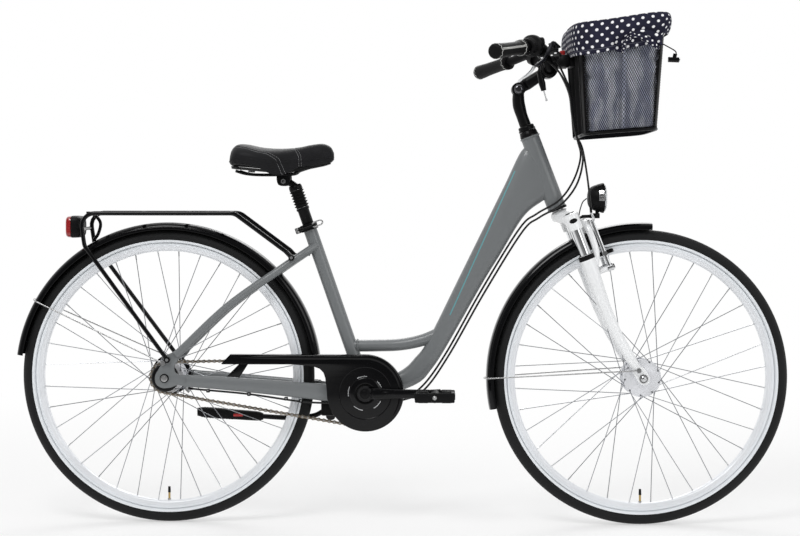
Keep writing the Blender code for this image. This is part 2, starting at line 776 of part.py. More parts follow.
SPINDLE_RADIUS = 0.0085
bb_half = BB_SHELL_WIDTH / 2
attach(
    turned(
        "bottom_bracket",
        [(SPINDLE_RADIUS + RUNNING_GAP, bb_half + 0.002), (0.0195, bb_half + 0.002),
         (0.0195, bb_half + GAP), (BB_BORE_RADIUS - 2 * GAP, bb_half + GAP),
         (BB_BORE_RADIUS - 2 * GAP, -bb_half), (SPINDLE_RADIUS + RUNNING_GAP, -bb_half)],
        BLACK_SATIN, 18, "Y", closed=True,
    ),
    "bike", CRANKS,
)


# Rear mudguard
def fender(name, start, end, steps):
    """Mudguard blade of arched section between two angles about its wheel."""
    outer = [(-1.0, 0.0), (-0.93, 0.55), (-0.62, 0.90), (0.0, 1.0), (0.62, 0.90), (0.93, 0.55), (1.0, 0.0)]
    base = FENDER_RADIUS - FENDER_DEPTH
    section = [(u * FENDER_HALF_WIDTH, base + v * FENDER_DEPTH) for u, v in outer]
    inner = [
        (u * (FENDER_HALF_WIDTH - FENDER_WALL), base + v * (FENDER_DEPTH - FENDER_WALL))
        for u, v in reversed(outer)
    ]
    rings = []
    for k in range(steps + 1):
        a = radians(start + (end - start) * k / steps)
        rings.append([Vector((r * cos(a), y, r * sin(a))) for y, r in section + inner])
    return loft(name, rings, BLACK_GLOSS)


attach(fender("rear_fender", 4, 172, 18), "bike", REAR_WHEEL)


def stay_loop(name, near, far, near_y, far_y, mat):
    """Wire stay from both sides of the axle round the outside of the mudguard."""
    near, far = Vector(near), Vector(far)
    back = (far - near).normalized() * 0.004
    corners = [
        near - Y_AXIS * near_y,
        far - back - Y_AXIS * far_y,
        far + back - Y_AXIS * (far_y - 0.010),
        far + back + Y_AXIS * (far_y - 0.010),
        far - back + Y_AXIS * far_y,
        near + Y_AXIS * near_y,
    ]
    return tube(name, corners, STAY_RADIUS, mat, 1)


attach(
    stay_loop("rear_fender_stay", (-0.5590, 0, 0.3850), (-0.8710, 0, 0.5287), 0.0708, 0.0288, STEEL),
    "bike",
)

# Rack
rack_pieces = []
for side in (-1, 1):
    rack_pieces.append(
        tube(
            "rack_side",
            rounded_path(
                [(-0.2543, side * 0.0560, 0.6310), (-0.2700, side * 0.0580, 0.6480),
                 (-0.3900, side * RACK_HALF_WIDTH, RACK_TOP_Z),
                 (-0.7550, side * RACK_HALF_WIDTH, RACK_TOP_Z),
                 (-0.7440, side * 0.0620, 0.6600), (-0.5465, side * 0.0742, 0.3912)],
                0.030, 2,
            ),
            RACK_TUBE_RADIUS, BLACK_GLOSS, 1,
        )
    )
for x in (-0.7350, -0.6200, -0.5100, -0.4100):
    rack_pieces.append(
        box("cross_bar", (0.0100, 2 * RACK_HALF_WIDTH - 0.0013, RACK_BAR_TOP + 0.0011),
            (x, 0, RACK_TOP_Z + (RACK_BAR_TOP - 0.0011) / 2), BLACK_GLOSS)
    )
rack_pieces.append(
    rod("light_bar", (-0.7520, -RACK_HALF_WIDTH, 0.7000), (-0.7520, RACK_HALF_WIDTH, 0.7000), 0.0042,
        BLACK_GLOSS, 6)
)
for y in (-0.0220, 0.0220):
    rack_pieces.append(
        rod("slat", (-0.7360, y, RACK_TOP_Z - 0.0009), (-0.4090, y, RACK_TOP_Z - 0.0009), 0.0037,
            BLACK_GLOSS, 6)
    )
rack_pieces.append(
    tube("fender_bracket", [(-0.7350, 0, RACK_TOP_Z), (-0.7180, 0, 0.7150), (-0.7220, 0, 0.6900),
                            (-0.7330, 0, 0.6720)], 0.0040, BLACK_GLOSS, 1)
)
attach(fuse("rack", rack_pieces, BLACK_GLOSS), "bike")
attach(
    loft(
        "tail_light",
        [oval((x, 0, 0.7045), Y_AXIS, Vector((0, 0, 1)), w, h, 16, 4.0)
         for x, w, h in ((-0.7560, 0.0260, 0.0150), (-0.7620, 0.0400, 0.0250), (-0.7810, 0.0430, 0.0262))],
        BLACK_PLASTIC,
    ),
    "bike",
)
attach(
    loft(
        "tail_light_lens",
        [oval((x, 0, 0.7045), Y_AXIS, Vector((0, 0, 1)), w, h, 16, 4.0)
         for x, w, h in ((-0.7813, 0.0425, 0.0258), (-0.7900, 0.0415, 0.0250), (-0.7934, 0.0380, 0.0215))],
        RED,
    ),
    "bike",
)


# Chain drive
def gear_outline(teeth, pitch_radius, phase):
    """Outline of a toothed ring whose teeth stand midway between the chain's rollers."""
    out = []
    for k in range(teeth):
        a = phase + 2 * pi * k / teeth
        half_root = 0.0040 / pitch_radius
        root = pitch_radius - 0.0090
        tip = pitch_radius - CHAIN_PLATE_HALF - 3 * GAP
        for r, da in ((root, -half_root), (tip, 0.0), (root, half_root)):
            out.append((r * cos(a + da), r * sin(a + da)))
    return out


RING_RADIUS = CHAIN_PITCH / (2 * sin(pi / CHAINRING_TEETH))
COG_RADIUS = CHAIN_PITCH / (2 * sin(pi / SPROCKET_TEETH))
between = Vector((REAR_AXLE_X - BB_X, 0.0, WHEEL_RADIUS - BB_Z))
lean = atan2(between.z, between.x)
tangent = asin((RING_RADIUS - COG_RADIUS) / between.length)
run = between.length * cos(tangent)
upper_angle = lean - pi / 2 + tangent
lower_angle = lean + pi / 2 - tangent
cog_wrap = pi - 2 * tangent
ring_wrap = pi + 2 * tangent
chain_length = 2 * run + COG_RADIUS * cog_wrap + RING_RADIUS * ring_wrap


def chain_point(t):
    """Point and direction on the chain's pitch line, t metres along from the chainring's top."""
    t = t % chain_length
    up_dir = Vector((cos(upper_angle), 0, sin(upper_angle)))
    low_dir = Vector((cos(lower_angle), 0, sin(lower_angle)))
    if t < run:
        a, b = BB + up_dir * RING_RADIUS, REAR_AXLE + up_dir * COG_RADIUS
        return a.lerp(b, t / run), (b - a).normalized()
    t -= run
    if t < COG_RADIUS * cog_wrap:
        ang = upper_angle + t / COG_RADIUS
        out = Vector((cos(ang), 0, sin(ang)))
        return REAR_AXLE + out * COG_RADIUS, Vector((-sin(ang), 0, cos(ang)))
    t -= COG_RADIUS * cog_wrap
    if t < run:
        a, b = REAR_AXLE + low_dir * COG_RADIUS, BB + low_dir * RING_RADIUS
        return a.lerp(b, t / run), (b - a).normalized()
    t -= run
    ang = lower_angle + t / RING_RADIUS
    out = Vector((cos(ang), 0, sin(ang)))
    return BB + out * RING_RADIUS, Vector((-sin(ang), 0, cos(ang)))


link_count = 2 * round(chain_length / CHAIN_PITCH / 2)
link_step = chain_length / link_count


def chain():
    """Closed run of links, alternately tall and narrow or low and wide."""
    rings = []
    for k in range(link_count):
        p, along = chain_point((k + 0.5) * link_step)
        out = along.cross(Y_AXIS)
        high, wide = (CHAIN_PLATE_HALF, CHAIN_INNER_HALF_WIDTH)
        if k % 2:
            high, wide = (CHAIN_WAIST_HALF, CHAIN_OUTER_HALF_WIDTH)
        rings.append(
            [Vector((p.x, CHAINLINE_Y + u * wide, p.z)) + out * (v * high)
             for u, v in ((-1, -1), (-1, 1), (1, 1), (1, -1))]
        )
    return loft("chain", rings, CHAIN_BROWN, closed=True)


attach(chain(), "bike")

ring_middle = chain_length - RING_RADIUS * ring_wrap / 2
ring_pin = round(ring_middle / link_step) * link_step
ring_phase = lower_angle + (ring_pin - (chain_length - RING_RADIUS * ring_wrap)) / RING_RADIUS
cog_middle = run + COG_RADIUS * cog_wrap / 2
cog_pin = round(cog_middle / link_step) * link_step
cog_phase = upper_angle + (cog_pin - run) / COG_RADIUS

sprocket = plate(
    "rear_sprocket",
    gear_outline(SPROCKET_TEETH, COG_RADIUS, cog_phase + pi / SPROCKET_TEETH),
    TOOTH_WIDTH, CHAIN_BROWN, "Y", CHAINLINE_Y,
)
cut(sprocket, rod("sprocket_bore", (0, -0.06, 0), (0, -0.03, 0), 0.0162, STEEL, 20))
attach(sprocket, "driver", REAR_WHEEL)


# Cranks and pedals
def crank_arm(direction, y):
    """Tapered arm from the spindle's boss to the pedal's eye."""
    stations = []
    for x, h in ((0.000, 0.0150), (0.030, 0.0140), (0.080, 0.0110), (CRANK_LENGTH - 0.012, 0.0105),
                 (CRANK_LENGTH + 0.012, 0.0120)):
        stations.append(
            oval((direction * x, y, 0), Y_AXIS, Vector((0, 0, 1)), CRANK_ARM_THICKNESS / 2, h, 12, 3.0)
        )
    return loft("arm", stations, BLACK_SATIN)


ring = plate(
    "ring", gear_outline(CHAINRING_TEETH, RING_RADIUS, ring_phase + pi / CHAINRING_TEETH),
    TOOTH_WIDTH, STEEL, "Y", CHAINLINE_Y,
)
windows = []
for k in range(5):
    a = 2 * pi * k / 5 + pi / 10
    c = Vector((0.0460 * cos(a), CHAINLINE_Y, 0.0460 * sin(a)))
    windows.append(rod("window", c - Y_AXIS * 0.01, c + Y_AXIS * 0.01, 0.0185, STEEL, 8))
right = fuse(
    "crank_right",
    [
        ring,
        crank_arm(1, -CRANK_ARM_Y),
        rod("boss", (0, -0.0730, 0), (0, -0.0430, 0), 0.0180, BLACK_SATIN, 16),
        rod("spindle", (0, -0.0700, 0), (0, 0.0580, 0), SPINDLE_RADIUS, STEEL, 12),
        rod("pedal_axle", (CRANK_LENGTH, -CRANK_ARM_Y, 0), (CRANK_LENGTH, -0.1560, 0), 0.0050, STEEL, 12),
    ],
    BLACK_SATIN,
)
joined = bmesh.new()
for w in windows:
    joined.from_mesh(w.data)
    bpy.data.objects.remove(w, do_unlink=True)
cut(right, new_object("ring_windows", joined, STEEL))
attach(right, "cranks", CRANKS)

left = fuse(
    "crank_left",
    [
        crank_arm(-1, CRANK_ARM_Y),
        rod("boss", (0, 0.0583, 0), (0, 0.0730, 0), 0.0170, BLACK_SATIN, 20),
        rod("pedal_axle", (-CRANK_LENGTH, CRANK_ARM_Y, 0), (-CRANK_LENGTH, 0.1560, 0), 0.0050, STEEL, 12),
    ],
    BLACK_SATIN,
)
attach(left, "cranks", CRANKS)


def pedal(name, side):
    """Cage pedal: a barrel on the axle inside a rounded frame with two windows."""
    y = side * (CRANK_ARM_Y + CRANK_ARM_THICKNESS / 2 + 0.006 + PEDAL_WIDTH / 2)
    body = box("cage", (PEDAL_LENGTH, PEDAL_WIDTH, PEDAL_HEIGHT), (0, y, 0), BLACK_PLASTIC, 0.006)
    holes = bmesh.new()
    for x in (-0.0255, 0.0255):
        bmesh.ops.create_cube(
            holes, size=1.0,
            matrix=Matrix.Translation((x, y, 0)) @ Matrix.Diagonal((0.027, PEDAL_WIDTH - 0.024, 0.05, 1)),
        )
    cut(body, new_object(name + "_windows", holes, STEEL))
    bore_end = side * 0.1570
    bore_start = side * 0.070
    cut(body, rod(name + "_bore", (0, bore_start, 0), (0, bore_end, 0), 0.0050 + RUNNING_GAP, STEEL, 12))
    body.name = name
    return body


attach(pedal("pedal_right", -1), "pedal_right_pivot", moved(CRANKS, (CRANK_LENGTH, 0, 0)))
attach(pedal("pedal_left", 1), "pedal_left_pivot", moved(CRANKS, (-CRANK_LENGTH, 0, 0)))

# Chainguard
guard_top = GUARD_RADIUS
outline = [(-0.3190, guard_top + 0.0002), (-0.0600, guard_top)]
outline += arc((0, 0), GUARD_RADIUS, 90, -180, 22)
outline += [(-0.0930, 0.0360), (-0.1030, 0.0540), (-0.1270, 0.0640), (-0.1770, 0.0675), (-0.3400, 0.0672)]
guard_face = plate("guard_face", outline, GUARD_WALL, BLACK_GLOSS, "Y", GUARD_FACE_Y)
wall_path = [(-0.3190, guard_top), (-0.2000, guard_top)] + arc((0, 0), GUARD_RADIUS, 90, -108, 18)
wall_rings = []
for i, (x, z) in enumerate(wall_path):
    if i < 2:
        out = Vector((0, 0, 1))
    else:
        out = Vector((x, 0, z)).normalized()
    p = Vector((x, 0, z))
    y_face, y_edge = GUARD_FACE_Y - GUARD_WALL * 0.3, GUARD_FACE_Y + 0.0175
    p = p + out * 0.0004
    wall_rings.append(
        [p + Y_AXIS * y_face, p + Y_AXIS * y_edge, p - out * GUARD_WALL + Y_AXIS * y_edge,
         p - out * GUARD_WALL + Y_AXIS * y_face]
    )
guard_wall = loft("guard_wall", wall_rings, BLACK_GLOSS)
bulge = turned(
    "bulge",
    [(0.0190, GUARD_FACE_Y + 0.0004), (0.0190, GUARD_FACE_Y - 0.0032), (0.0290, GUARD_FACE_Y - 0.0040),
     (0.0340, GUARD_FACE_Y - 0.0024), (0.0365, GUARD_FACE_Y - 0.0003), (0.0365, GUARD_FACE_Y + 0.0004)],
    BLACK_GLOSS, 18, "Y", closed=True,
)
strut = plate(
    "strut", [(-0.2960, 0.0700), (-0.3280, 0.0377), (-0.2960, 0.0352), (-0.2750, 0.0700)],
    GUARD_WALL * 0.8, BLACK_GLOSS, "Y", GUARD_FACE_Y,
)
guard = fuse("chainguard", [guard_face, guard_wall, bulge, strut], BLACK_GLOSS)
cut(guard, rod("guard_hole", (0, -0.08, 0), (0, -0.04, 0), 0.0216, STEEL, 18))
slots = bmesh.new()
for k in range(5):
    start = 72 * k + 12
    ring_out = arc((0, 0), 0.0412, start, start + 34, 3)
    ring_in = arc((0, 0), 0.0388, start + 34, start, 3)
    low = [slots.verts.new((x, GUARD_FACE_Y - 0.006, z)) for x, z in ring_out + ring_in]
    high = [slots.verts.new((x, GUARD_FACE_Y + 0.006, z)) for x, z in ring_out + ring_in]
    n = len(low)
    for i in range(n):
        j = (i + 1) % n
        slots.faces.new((low[i], low[j], high[j], high[i]))
    slots.faces.new(low)
    slots.faces.new(high)
cut(guard, new_object("guard_slots", slots, STEEL))
attach(guard, "bike", CRANKS)

# Rear axle with the roller brake and the gear hub's control drum
reach = 0.0780
drum = [
    (0.0, reach), (0.0050, reach), (0.0080, reach - 0.004), (0.0085, reach - 0.008),
    (0.0105, reach - 0.008), (0.0105, 0.0688), (AXLE_RADIUS, 0.0688), (AXLE_RADIUS, 0.0565),
    (0.0300, 0.0565), (0.0460, 0.0545), (0.0480, 0.0400), (0.0180, 0.0400), (0.0180, 0.0512),
    (AXLE_RADIUS, 0.0512), (AXLE_RADIUS, -0.0522), (0.0300, -0.0522), (0.0330, -0.0545),
    (0.0300, -0.0600), (AXLE_RADIUS, -0.0600), (AXLE_RADIUS, -0.0688), (0.0105, -0.0688),
    (0.0105, -reach + 0.008), (0.0085, -reach + 0.008), (0.0080, -reach + 0.004), (0.0050, -reach),
    (0.0, -reach),
]
attach(turned("roller_brake", drum, BLACK_SATIN, 12, "Y"), "bike", REAR_WHEEL)
pivot("roller_arm", REAR_WHEEL, "bike")
arm = fuse(
    "roller_brake_arm",
    [
        rod("eye", (0, 0.0570, 0), (0, 0.0600, 0), 0.0140, STEEL, 16),
        box("blade", (0.052, 0.0026, 0.014), (0.0248, 0.0585, -0.0248), STEEL, 0,
            Matrix.Rotation(radians(45), 4, "Y")),
    ],
    STEEL,
)
cut(arm, rod("arm_bore", (0, 0.05, 0), (0, 0.065, 0), AXLE_RADIUS + RUNNING_GAP, STEEL, 16))
attach(arm, "roller_arm", REAR_WHEEL)

# Kickstand, folded back along the left side
pivot("kickstand_pivot", Matrix.Translation(KICKSTAND_PIVOT), "bike")
shoe_start, shoe_end = Vector((-0.3362, 0.0600, 0.2450)), Vector((-0.4954, 0.0620, 0.2555))
shoe_up = Vector((0, 0, 1))
stand = fuse(
    "kickstand",
    [
        rod("eye", KICKSTAND_PIVOT + kick_out * RUNNING_GAP, KICKSTAND_PIVOT + kick_out * 0.0110, 0.0120,
            BLACK_SATIN, 16),
        tube(
            "leg",
            smooth_path([KICKSTAND_PIVOT + kick_out * 0.0060, (-0.1900, 0.0520, 0.2590),
                         (-0.2150, 0.0515, 0.2480), (-0.2700, 0.0520, 0.2430),
                         (-0.3500, 0.0600, 0.2460)], 3),
            0.0060, BLACK_SATIN, 1,
        ),
        loft(
            "shoe",
            [oval(shoe_start.lerp(shoe_end, t), Y_AXIS, shoe_up, w, h, 12, 3.5)
             for t, w, h in ((0.0, 0.0080, 0.0085), (0.12, 0.0100, 0.0115), (0.9, 0.0110, 0.0125),
                             (1.0, 0.0080, 0.0095))],
            RUBBER,
        ),
    ],
    BLACK_SATIN,
)
attach(stand, "kickstand_pivot")

# Seat post
collar = fuse(
    "seat_collar",
    [
        turned(
            "band",
            [(SEAT_TUBE_RADIUS + GAP, 0.4050), (0.0205, 0.4050), (0.0205, 0.4215),
             (SEAT_TUBE_RADIUS + GAP, 0.4215)],
            BLACK_SATIN, 16, "Z", closed=True,
        ),
        box("tab", (0.0150, 0.0240, 0.0145), (-0.0262, 0, 0.4132), BLACK_SATIN, 0.001),
        rod("bolt", (-0.0270, -0.0200, 0.4132), (-0.0270, 0.0190, 0.4132), 0.0030, STEEL, 8),
    ],
    BLACK_SATIN,
)
cut(collar, box("collar_slot", (0.0300, 0.0020, 0.0300), (-0.0180 - 0.0150, 0.0, 0.4132 + 0.0180), STEEL))
attach(collar, "bike", SEAT)
pivot("collar_lever_pivot", moved(SEAT, (-0.0270, -0.0240, 0.4132)), "bike")
lever = fuse(
    "seat_collar_lever",
    [
        rod("cam", (-0.0270, -0.0240, 0.4070), (-0.0270, -0.0240, 0.4194), 0.0036, STEEL, 10),
        tube(
            "loop",
            smooth_path([(-0.0270, -0.0245, 0.4132), (-0.0050, -0.0262, 0.4132), (0.0200, -0.0235, 0.4140),
                         (0.0330, -0.0120, 0.4150)], 3),
            0.0030, BLACK_SATIN, 2,
        ),
    ],
    BLACK_SATIN,
)
attach(lever, "collar_lever_pivot", SEAT)

post_bottom = 0.4200 - POST_INSERTION
attach(
    turned(
        "seatpost",
        [(SEATPOST_RADIUS, post_bottom), (SEATPOST_RADIUS, 0.4560), (0.0155, 0.4570),
         (0.0155, BELLOWS_BOTTOM - GAP), (POST_SLIDER_RADIUS + RUNNING_GAP, BELLOWS_BOTTOM - GAP),
         (POST_SLIDER_RADIUS + RUNNING_GAP, post_bottom)],
        BLACK_SATIN, 18, "Z", closed=True,
    ),
    "seat_height", SEAT,
)
ribs = [(0.0120, BELLOWS_BOTTOM), (0.0150, BELLOWS_BOTTOM)]
rib_pitch = (BELLOWS_TOP - BELLOWS_BOTTOM) / BELLOWS_RIBS
for k in range(BELLOWS_RIBS):
    ribs.append((BELLOWS_RADIUS - 0.0040, BELLOWS_BOTTOM + rib_pitch * (k + 0.25)))
    ribs.append((BELLOWS_RADIUS, BELLOWS_BOTTOM + rib_pitch * (k + 0.70)))
ribs += [(0.0150, BELLOWS_TOP), (0.0120, BELLOWS_TOP)]
attach(turned("seatpost_bellows", ribs, RUBBER, 12, "Z", closed=True), "seat_height", SEAT)

HEAD_C = SADDLE_CLAMP
head_top = at(SEAT, (0, 0, 0.5180))
post_head = fuse(
    "seatpost_head",
    [
        rod("slider", at(SEAT, (0, 0, 0.3700)), at(SEAT, (0, 0, 0.5100)), POST_SLIDER_RADIUS, CHROME, 20),
        rod("cap", at(SEAT, (0, 0, BELLOWS_TOP + GAP)), at(SEAT, (0, 0, 0.5180)), 0.0158, BLACK_SATIN, 20,
            0.0135),
        loft(
            "neck",
            [oval(at(SEAT, (0, 0, 0.5120)), Y_AXIS, Vector((1, 0, 0)), 0.0125, 0.0125, 12, 2.5),
             oval((-0.2640, 0, 0.8090), Y_AXIS, Vector((1, 0, 0.3)).normalized(), 0.0120, 0.0120, 12, 2.5),
             oval((-0.2760, 0, 0.8135), Y_AXIS, Vector((0.5, 0, 0.87)), 0.0120, 0.0070, 12, 2.5)],
            BLACK_SATIN,
        ),
        rod("barrel", HEAD_C - Y_AXIS * 0.0150, HEAD_C + Y_AXIS * 0.0150, 0.0105, BLACK_SATIN, 16),
    ],
    BLACK_SATIN,
)
cut(post_head, rod("barrel_bore", HEAD_C - Y_AXIS * 0.03, HEAD_C + Y_AXIS * 0.03, 0.0046, STEEL, 12))
attach(post_head, "seat_spring")

# Saddle
SADDLE = [
    (-0.4036, 0.8640, 0.8540, 0.0420),
    (-0.3980, 0.8860, 0.8490, 0.0700),
    (-0.3850, 0.9000, 0.8470, 0.0860),
    (-0.3600, 0.9010, 0.8450, 0.0940),
    (-0.3300, 0.8950, 0.8420, 0.0930),
    (-0.3000, 0.8915, 0.8400, 0.0800),
    (-0.2700, 0.8910, 0.8400, 0.0600),
    (-0.2400, 0.8935, 0.8440, 0.0430),
    (-0.2100, 0.8990, 0.8500, 0.0320),
    (-0.1850, 0.9010, 0.8550, 0.0270),
    (-0.1680, 0.8940, 0.8600, 0.0200),
    (-0.1597, 0.8800, 0.8660, 0.0110),
]


def saddle_pad():
    """Cushion with a crowned top and sides that draw in towards the flat underside."""
    rings = []
    count = 20
    for x, top, bottom, half in SADDLE:
        middle = bottom + (top - bottom) * 0.40
        ring_points = []
        for i in range(count):
            a = 2 * pi * (i + 0.5) / count
            c, s = cos(a), sin(a)
            if s >= 0:
                y = half * abs(c) ** 0.80 * (1 if c >= 0 else -1)
                z = middle + (top - middle) * s ** 0.90
            else:
                y = half * (0.94 - 0.10 * abs(s)) * abs(c) ** 0.45 * (1 if c >= 0 else -1)
                z = middle - (middle - bottom) * abs(s) ** 0.40
            ring_points.append(Vector((x, y, z)))
        rings.append(ring_points)
    return loft("saddle_pad", rings, LEATHER)


attach(saddle_pad(), "saddle_tilt")
base_rings = []
for x, top, bottom, half in SADDLE[1:-1]:
    half *= 0.74
    under = bottom - 2 * GAP
    base_rings.append(
        [Vector((x, -half, under)), Vector((x, half, under)), Vector((x, half * 0.85, under - 0.0065)),
         Vector((x, -half * 0.85, under - 0.0065))]
    )
attach(loft("saddle_base", base_rings, BLACK_PLASTIC), "saddle_tilt")
rail_pieces = [
    rod("clamp_bolt", HEAD_C - Y_AXIS * 0.0270, HEAD_C + Y_AXIS * 0.0270, 0.0038, STEEL, 10),
    tube("nose_loop", [(-0.1980, -0.0090, 0.8400), (-0.1930, 0.0, 0.8415), (-0.1980, 0.0090, 0.8400)],
         0.0035, STEEL, 1),
]
for side in (-1, 1):
    rail_pieces += [
        tube(
            "rail",
            smooth_path([(-0.1980, side * 0.0090, 0.8400), (-0.2250, side * 0.0200, 0.8310),
                         (-0.2600, side * 0.0230, 0.8290), (-0.3300, side * 0.0230, 0.8275),
                         (-0.3650, side * 0.0330, 0.8300), (-0.3880, side * 0.0440, 0.8365)], 2),
            0.0035, STEEL, 1,
        ),
        plate("ear", [(-0.2900, 0.8040), (-0.2660, 0.8040), (-0.2640, 0.8290), (-0.2920, 0.8290)], 0.0060,
              BLACK_SATIN, "Y", side * 0.0200),
    ]
attach(fuse("saddle_rails", rail_pieces, STEEL), "saddle_tilt")

# Fork crown and steerer with the stanchions pressed in
D = Vector((1, 0, 0))
S = Vector((0, 0, 1))
crown_pieces = [
    rod("steerer", (0, 0, 0.4150), (0, 0, UPPER_CUP_TOP - GAP), STEERER_RADIUS, STEEL, 18),
    loft(
        "bridge",
        [oval((d, y, s), D, S, hd, hs, 12, 3.0)
         for y, d, s, hd, hs in (
             (-0.0600, STANCHION_D, 0.4060, 0.0150, 0.0160), (-0.0420, 0.0140, 0.4160, 0.0180, 0.0150),
             (-0.0220, 0.0060, 0.4235, 0.0210, 0.0135), (0.0, 0.0020, 0.4260, 0.0230, 0.0130),
             (0.0220, 0.0060, 0.4235, 0.0210, 0.0135), (0.0420, 0.0140, 0.4160, 0.0180, 0.0150),
             (0.0600, STANCHION_D, 0.4060, 0.0150, 0.0160))],
        FORK_WHITE,
    ),
]
for side in (-1, 1):
    y = side * STANCHION_Y
    crown_pieces += [
        rod("socket", (STANCHION_D, y, CROWN_BOTTOM), (STANCHION_D, y, CROWN_SOCKET_TOP),
            CROWN_SOCKET_RADIUS, FORK_WHITE, 16),
        rod("stanchion", (STANCHION_D, y, 0.2550), (STANCHION_D, y, 0.4100), STANCHION_RADIUS, CHROME, 16),
    ]
crown = fuse("fork_crown", crown_pieces, FORK_WHITE)
cut(crown, rod("steerer_bore", (0, 0, 0.4500), (0, 0, 0.6600), STEERER_RADIUS - STEERER_WALL + GAP, STEEL, 18))
attach(crown, "steering", STEER)

quill = fuse(
    "stem_quill",
    [
        rod("quill", (0, 0, 0.5400), (0, 0, 0.6600), QUILL_RADIUS - GAP, BLACK_SATIN, 16),
        loft(
            "column",
            [oval((d, 0, s), D, Y_AXIS, r, r * q, 14)
             for d, s, r, q in ((0.0, HEADSET_TOP + GAP, 0.0138, 1.0), (0.0005, 0.6800, 0.0135, 1.0),
                                (0.0030, 0.7050, 0.0150, 1.0), (0.0080, 0.7220, 0.0150, 1.02),
                                (STEM_PIVOT_D, STEM_PIVOT_S, 0.0140, 1.10))],
            BLACK_SATIN,
        ),
        rod("ears", (STEM_PIVOT_D, -0.0155, STEM_PIVOT_S), (STEM_PIVOT_D, 0.0155, STEM_PIVOT_S),
            STEM_PIVOT_RADIUS, BLACK_SATIN, 16),
    ],
    BLACK_SATIN,
)
tongue_slot = bmesh.new()
bmesh.ops.create_cone(
    tongue_slot, cap_ends=True, segments=20, radius1=STEM_PIVOT_RADIUS + 0.0020,
    radius2=STEM_PIVOT_RADIUS + 0.0020, depth=2 * (STEM_TONGUE_HALF + GAP),
    matrix=Matrix.Translation((STEM_PIVOT_D, 0, STEM_PIVOT_S)) @ Matrix.Rotation(pi / 2, 4, "X"),
)
cut(quill, new_object("tongue_slot", tongue_slot, STEEL))
cut(quill, rod("pivot_bore", (STEM_PIVOT_D, -0.03, STEM_PIVOT_S), (STEM_PIVOT_D, 0.03, STEM_PIVOT_S), 0.0050,
               STEEL, 12))
attach(quill, "steering", STEER)
attach(
    turned(
        "headset_locknut",
        [(QUILL_RADIUS + GAP, UPPER_CUP_TOP + GAP), (0.0205, UPPER_CUP_TOP + GAP), (0.0190, HEADSET_TOP - 0.0005),
         (0.0160, HEADSET_TOP), (QUILL_RADIUS + GAP, HEADSET_TOP)],
        BLACK_SATIN, 20, "Z", closed=True,
    ),
    "steering", STEER,
)

# Fork lowers with the arch, brake bosses and dropouts
leg_spine = [
    (0.3200, STANCHION_D, 0.0180, 0.0560), (0.3070, STANCHION_D, 0.0180, 0.0560),
    (0.3060, STANCHION_D, 0.0187, 0.0560), (0.2700, 0.0175, 0.0178, 0.0560),
    (0.1960, 0.0160, 0.0150, 0.0565), (0.1300, 0.0190, 0.0135, 0.0570), (0.0920, 0.0240, 0.0125, 0.0575),
    (0.0500, 0.0310, 0.0115, 0.0580), (0.0200, 0.0380, 0.0085, 0.0560),
]
lower_pieces = []
for side in (-1, 1):
    rings = []
    for i, (s, d, r, y) in enumerate(leg_spine):
        a = leg_spine[max(i - 1, 0)]
        b = leg_spine[min(i + 1, len(leg_spine) - 1)]
        along = Vector((a[1] - b[1], 0, a[0] - b[0])).normalized()
        if i < 3:
            along = S
        across = Y_AXIS.cross(along)
        rings.append(oval((d, side * y, s), across, Y_AXIS, r, min(r, 0.0170 + 0.0017 * (i < 4)), 12))
    lower_pieces += [
        loft("leg", rings, FORK_WHITE),
        plate(
            "tip",
            [(0.0300, 0.0330), (0.0480, 0.0280), (0.0560, 0.0060), (0.0540, -0.0100), (0.0430, -0.0160),
             (0.0320, -0.0110), (0.0260, 0.0040), (0.0240, 0.0240)],
            DROPOUT_THICKNESS, FORK_WHITE, "Y", side * (FRONT_HUB_WIDTH / 2 + DROPOUT_THICKNESS / 2),
        ),
        rod("boss", (0.0250, side * BOSS_Y, BOSS_S), (BOSS_END_D, side * BOSS_Y, BOSS_S), 0.0065, FORK_WHITE,
            8),
        rod("stud", (BOSS_END_D - 0.004, side * BOSS_Y, BOSS_S), (BOSS_END_D + 0.0180, side * BOSS_Y, BOSS_S),
            0.0040, STEEL, 8),
        rod("stud_head", (BOSS_END_D + 0.0150, side * BOSS_Y, BOSS_S),
            (BOSS_END_D + 0.0180, side * BOSS_Y, BOSS_S), 0.0065, STEEL, 8),
    ]
arch_path = smooth_path(
    [(0.0300, -0.0540, 0.2850), (0.0440, -0.0500, 0.3150), (ARCH_D, -0.0440, 0.3500),
     (ARCH_D, -0.0300, 0.3810), (ARCH_D, 0.0, ARCH_TOP), (ARCH_D, 0.0300, 0.3810),
     (ARCH_D, 0.0440, 0.3500), (0.0440, 0.0500, 0.3150), (0.0300, 0.0540, 0.2850)], 2
)
lower_pieces.append(tube("arch", arch_path, ARCH_RADIUS, FORK_WHITE, 1))
front_axle_at = Vector((FORK_RAKE, 0, 0))
arch_middle = Vector((ARCH_D, 0, ARCH_TOP))
fender_foot = front_axle_at + (arch_middle - front_axle_at).normalized() * (FENDER_RADIUS - GAP)
lower_pieces.append(rod("fender_bracket", arch_middle, fender_foot, 0.0040, FORK_WHITE, 8))
lowers = fuse("fork_lowers", lower_pieces, FORK_WHITE)
for side in (-1, 1):
    y = side * STANCHION_Y
    cut(lowers, rod("stanchion_bore", (STANCHION_D, y, 0.2050), (STANCHION_D, y, 0.3400),
                    STANCHION_RADIUS + 3 * GAP, STEEL, 16))
cut(lowers, rod("front_axle_bore", (FORK_RAKE, -0.08, 0), (FORK_RAKE, 0.08, 0), AXLE_RADIUS + GAP, STEEL, 12))
attach(lowers, "fork_slide", STEER)
attach(fender("front_fender", 86, 192, 12), "fork_slide", FRONT_WHEEL)
attach(
    stay_loop("front_fender_stay", (0.5540, 0, 0.3690), (0.2032, 0, 0.3478), 0.0673, 0.0288, STEEL),
    "fork_slide", TURN,
)

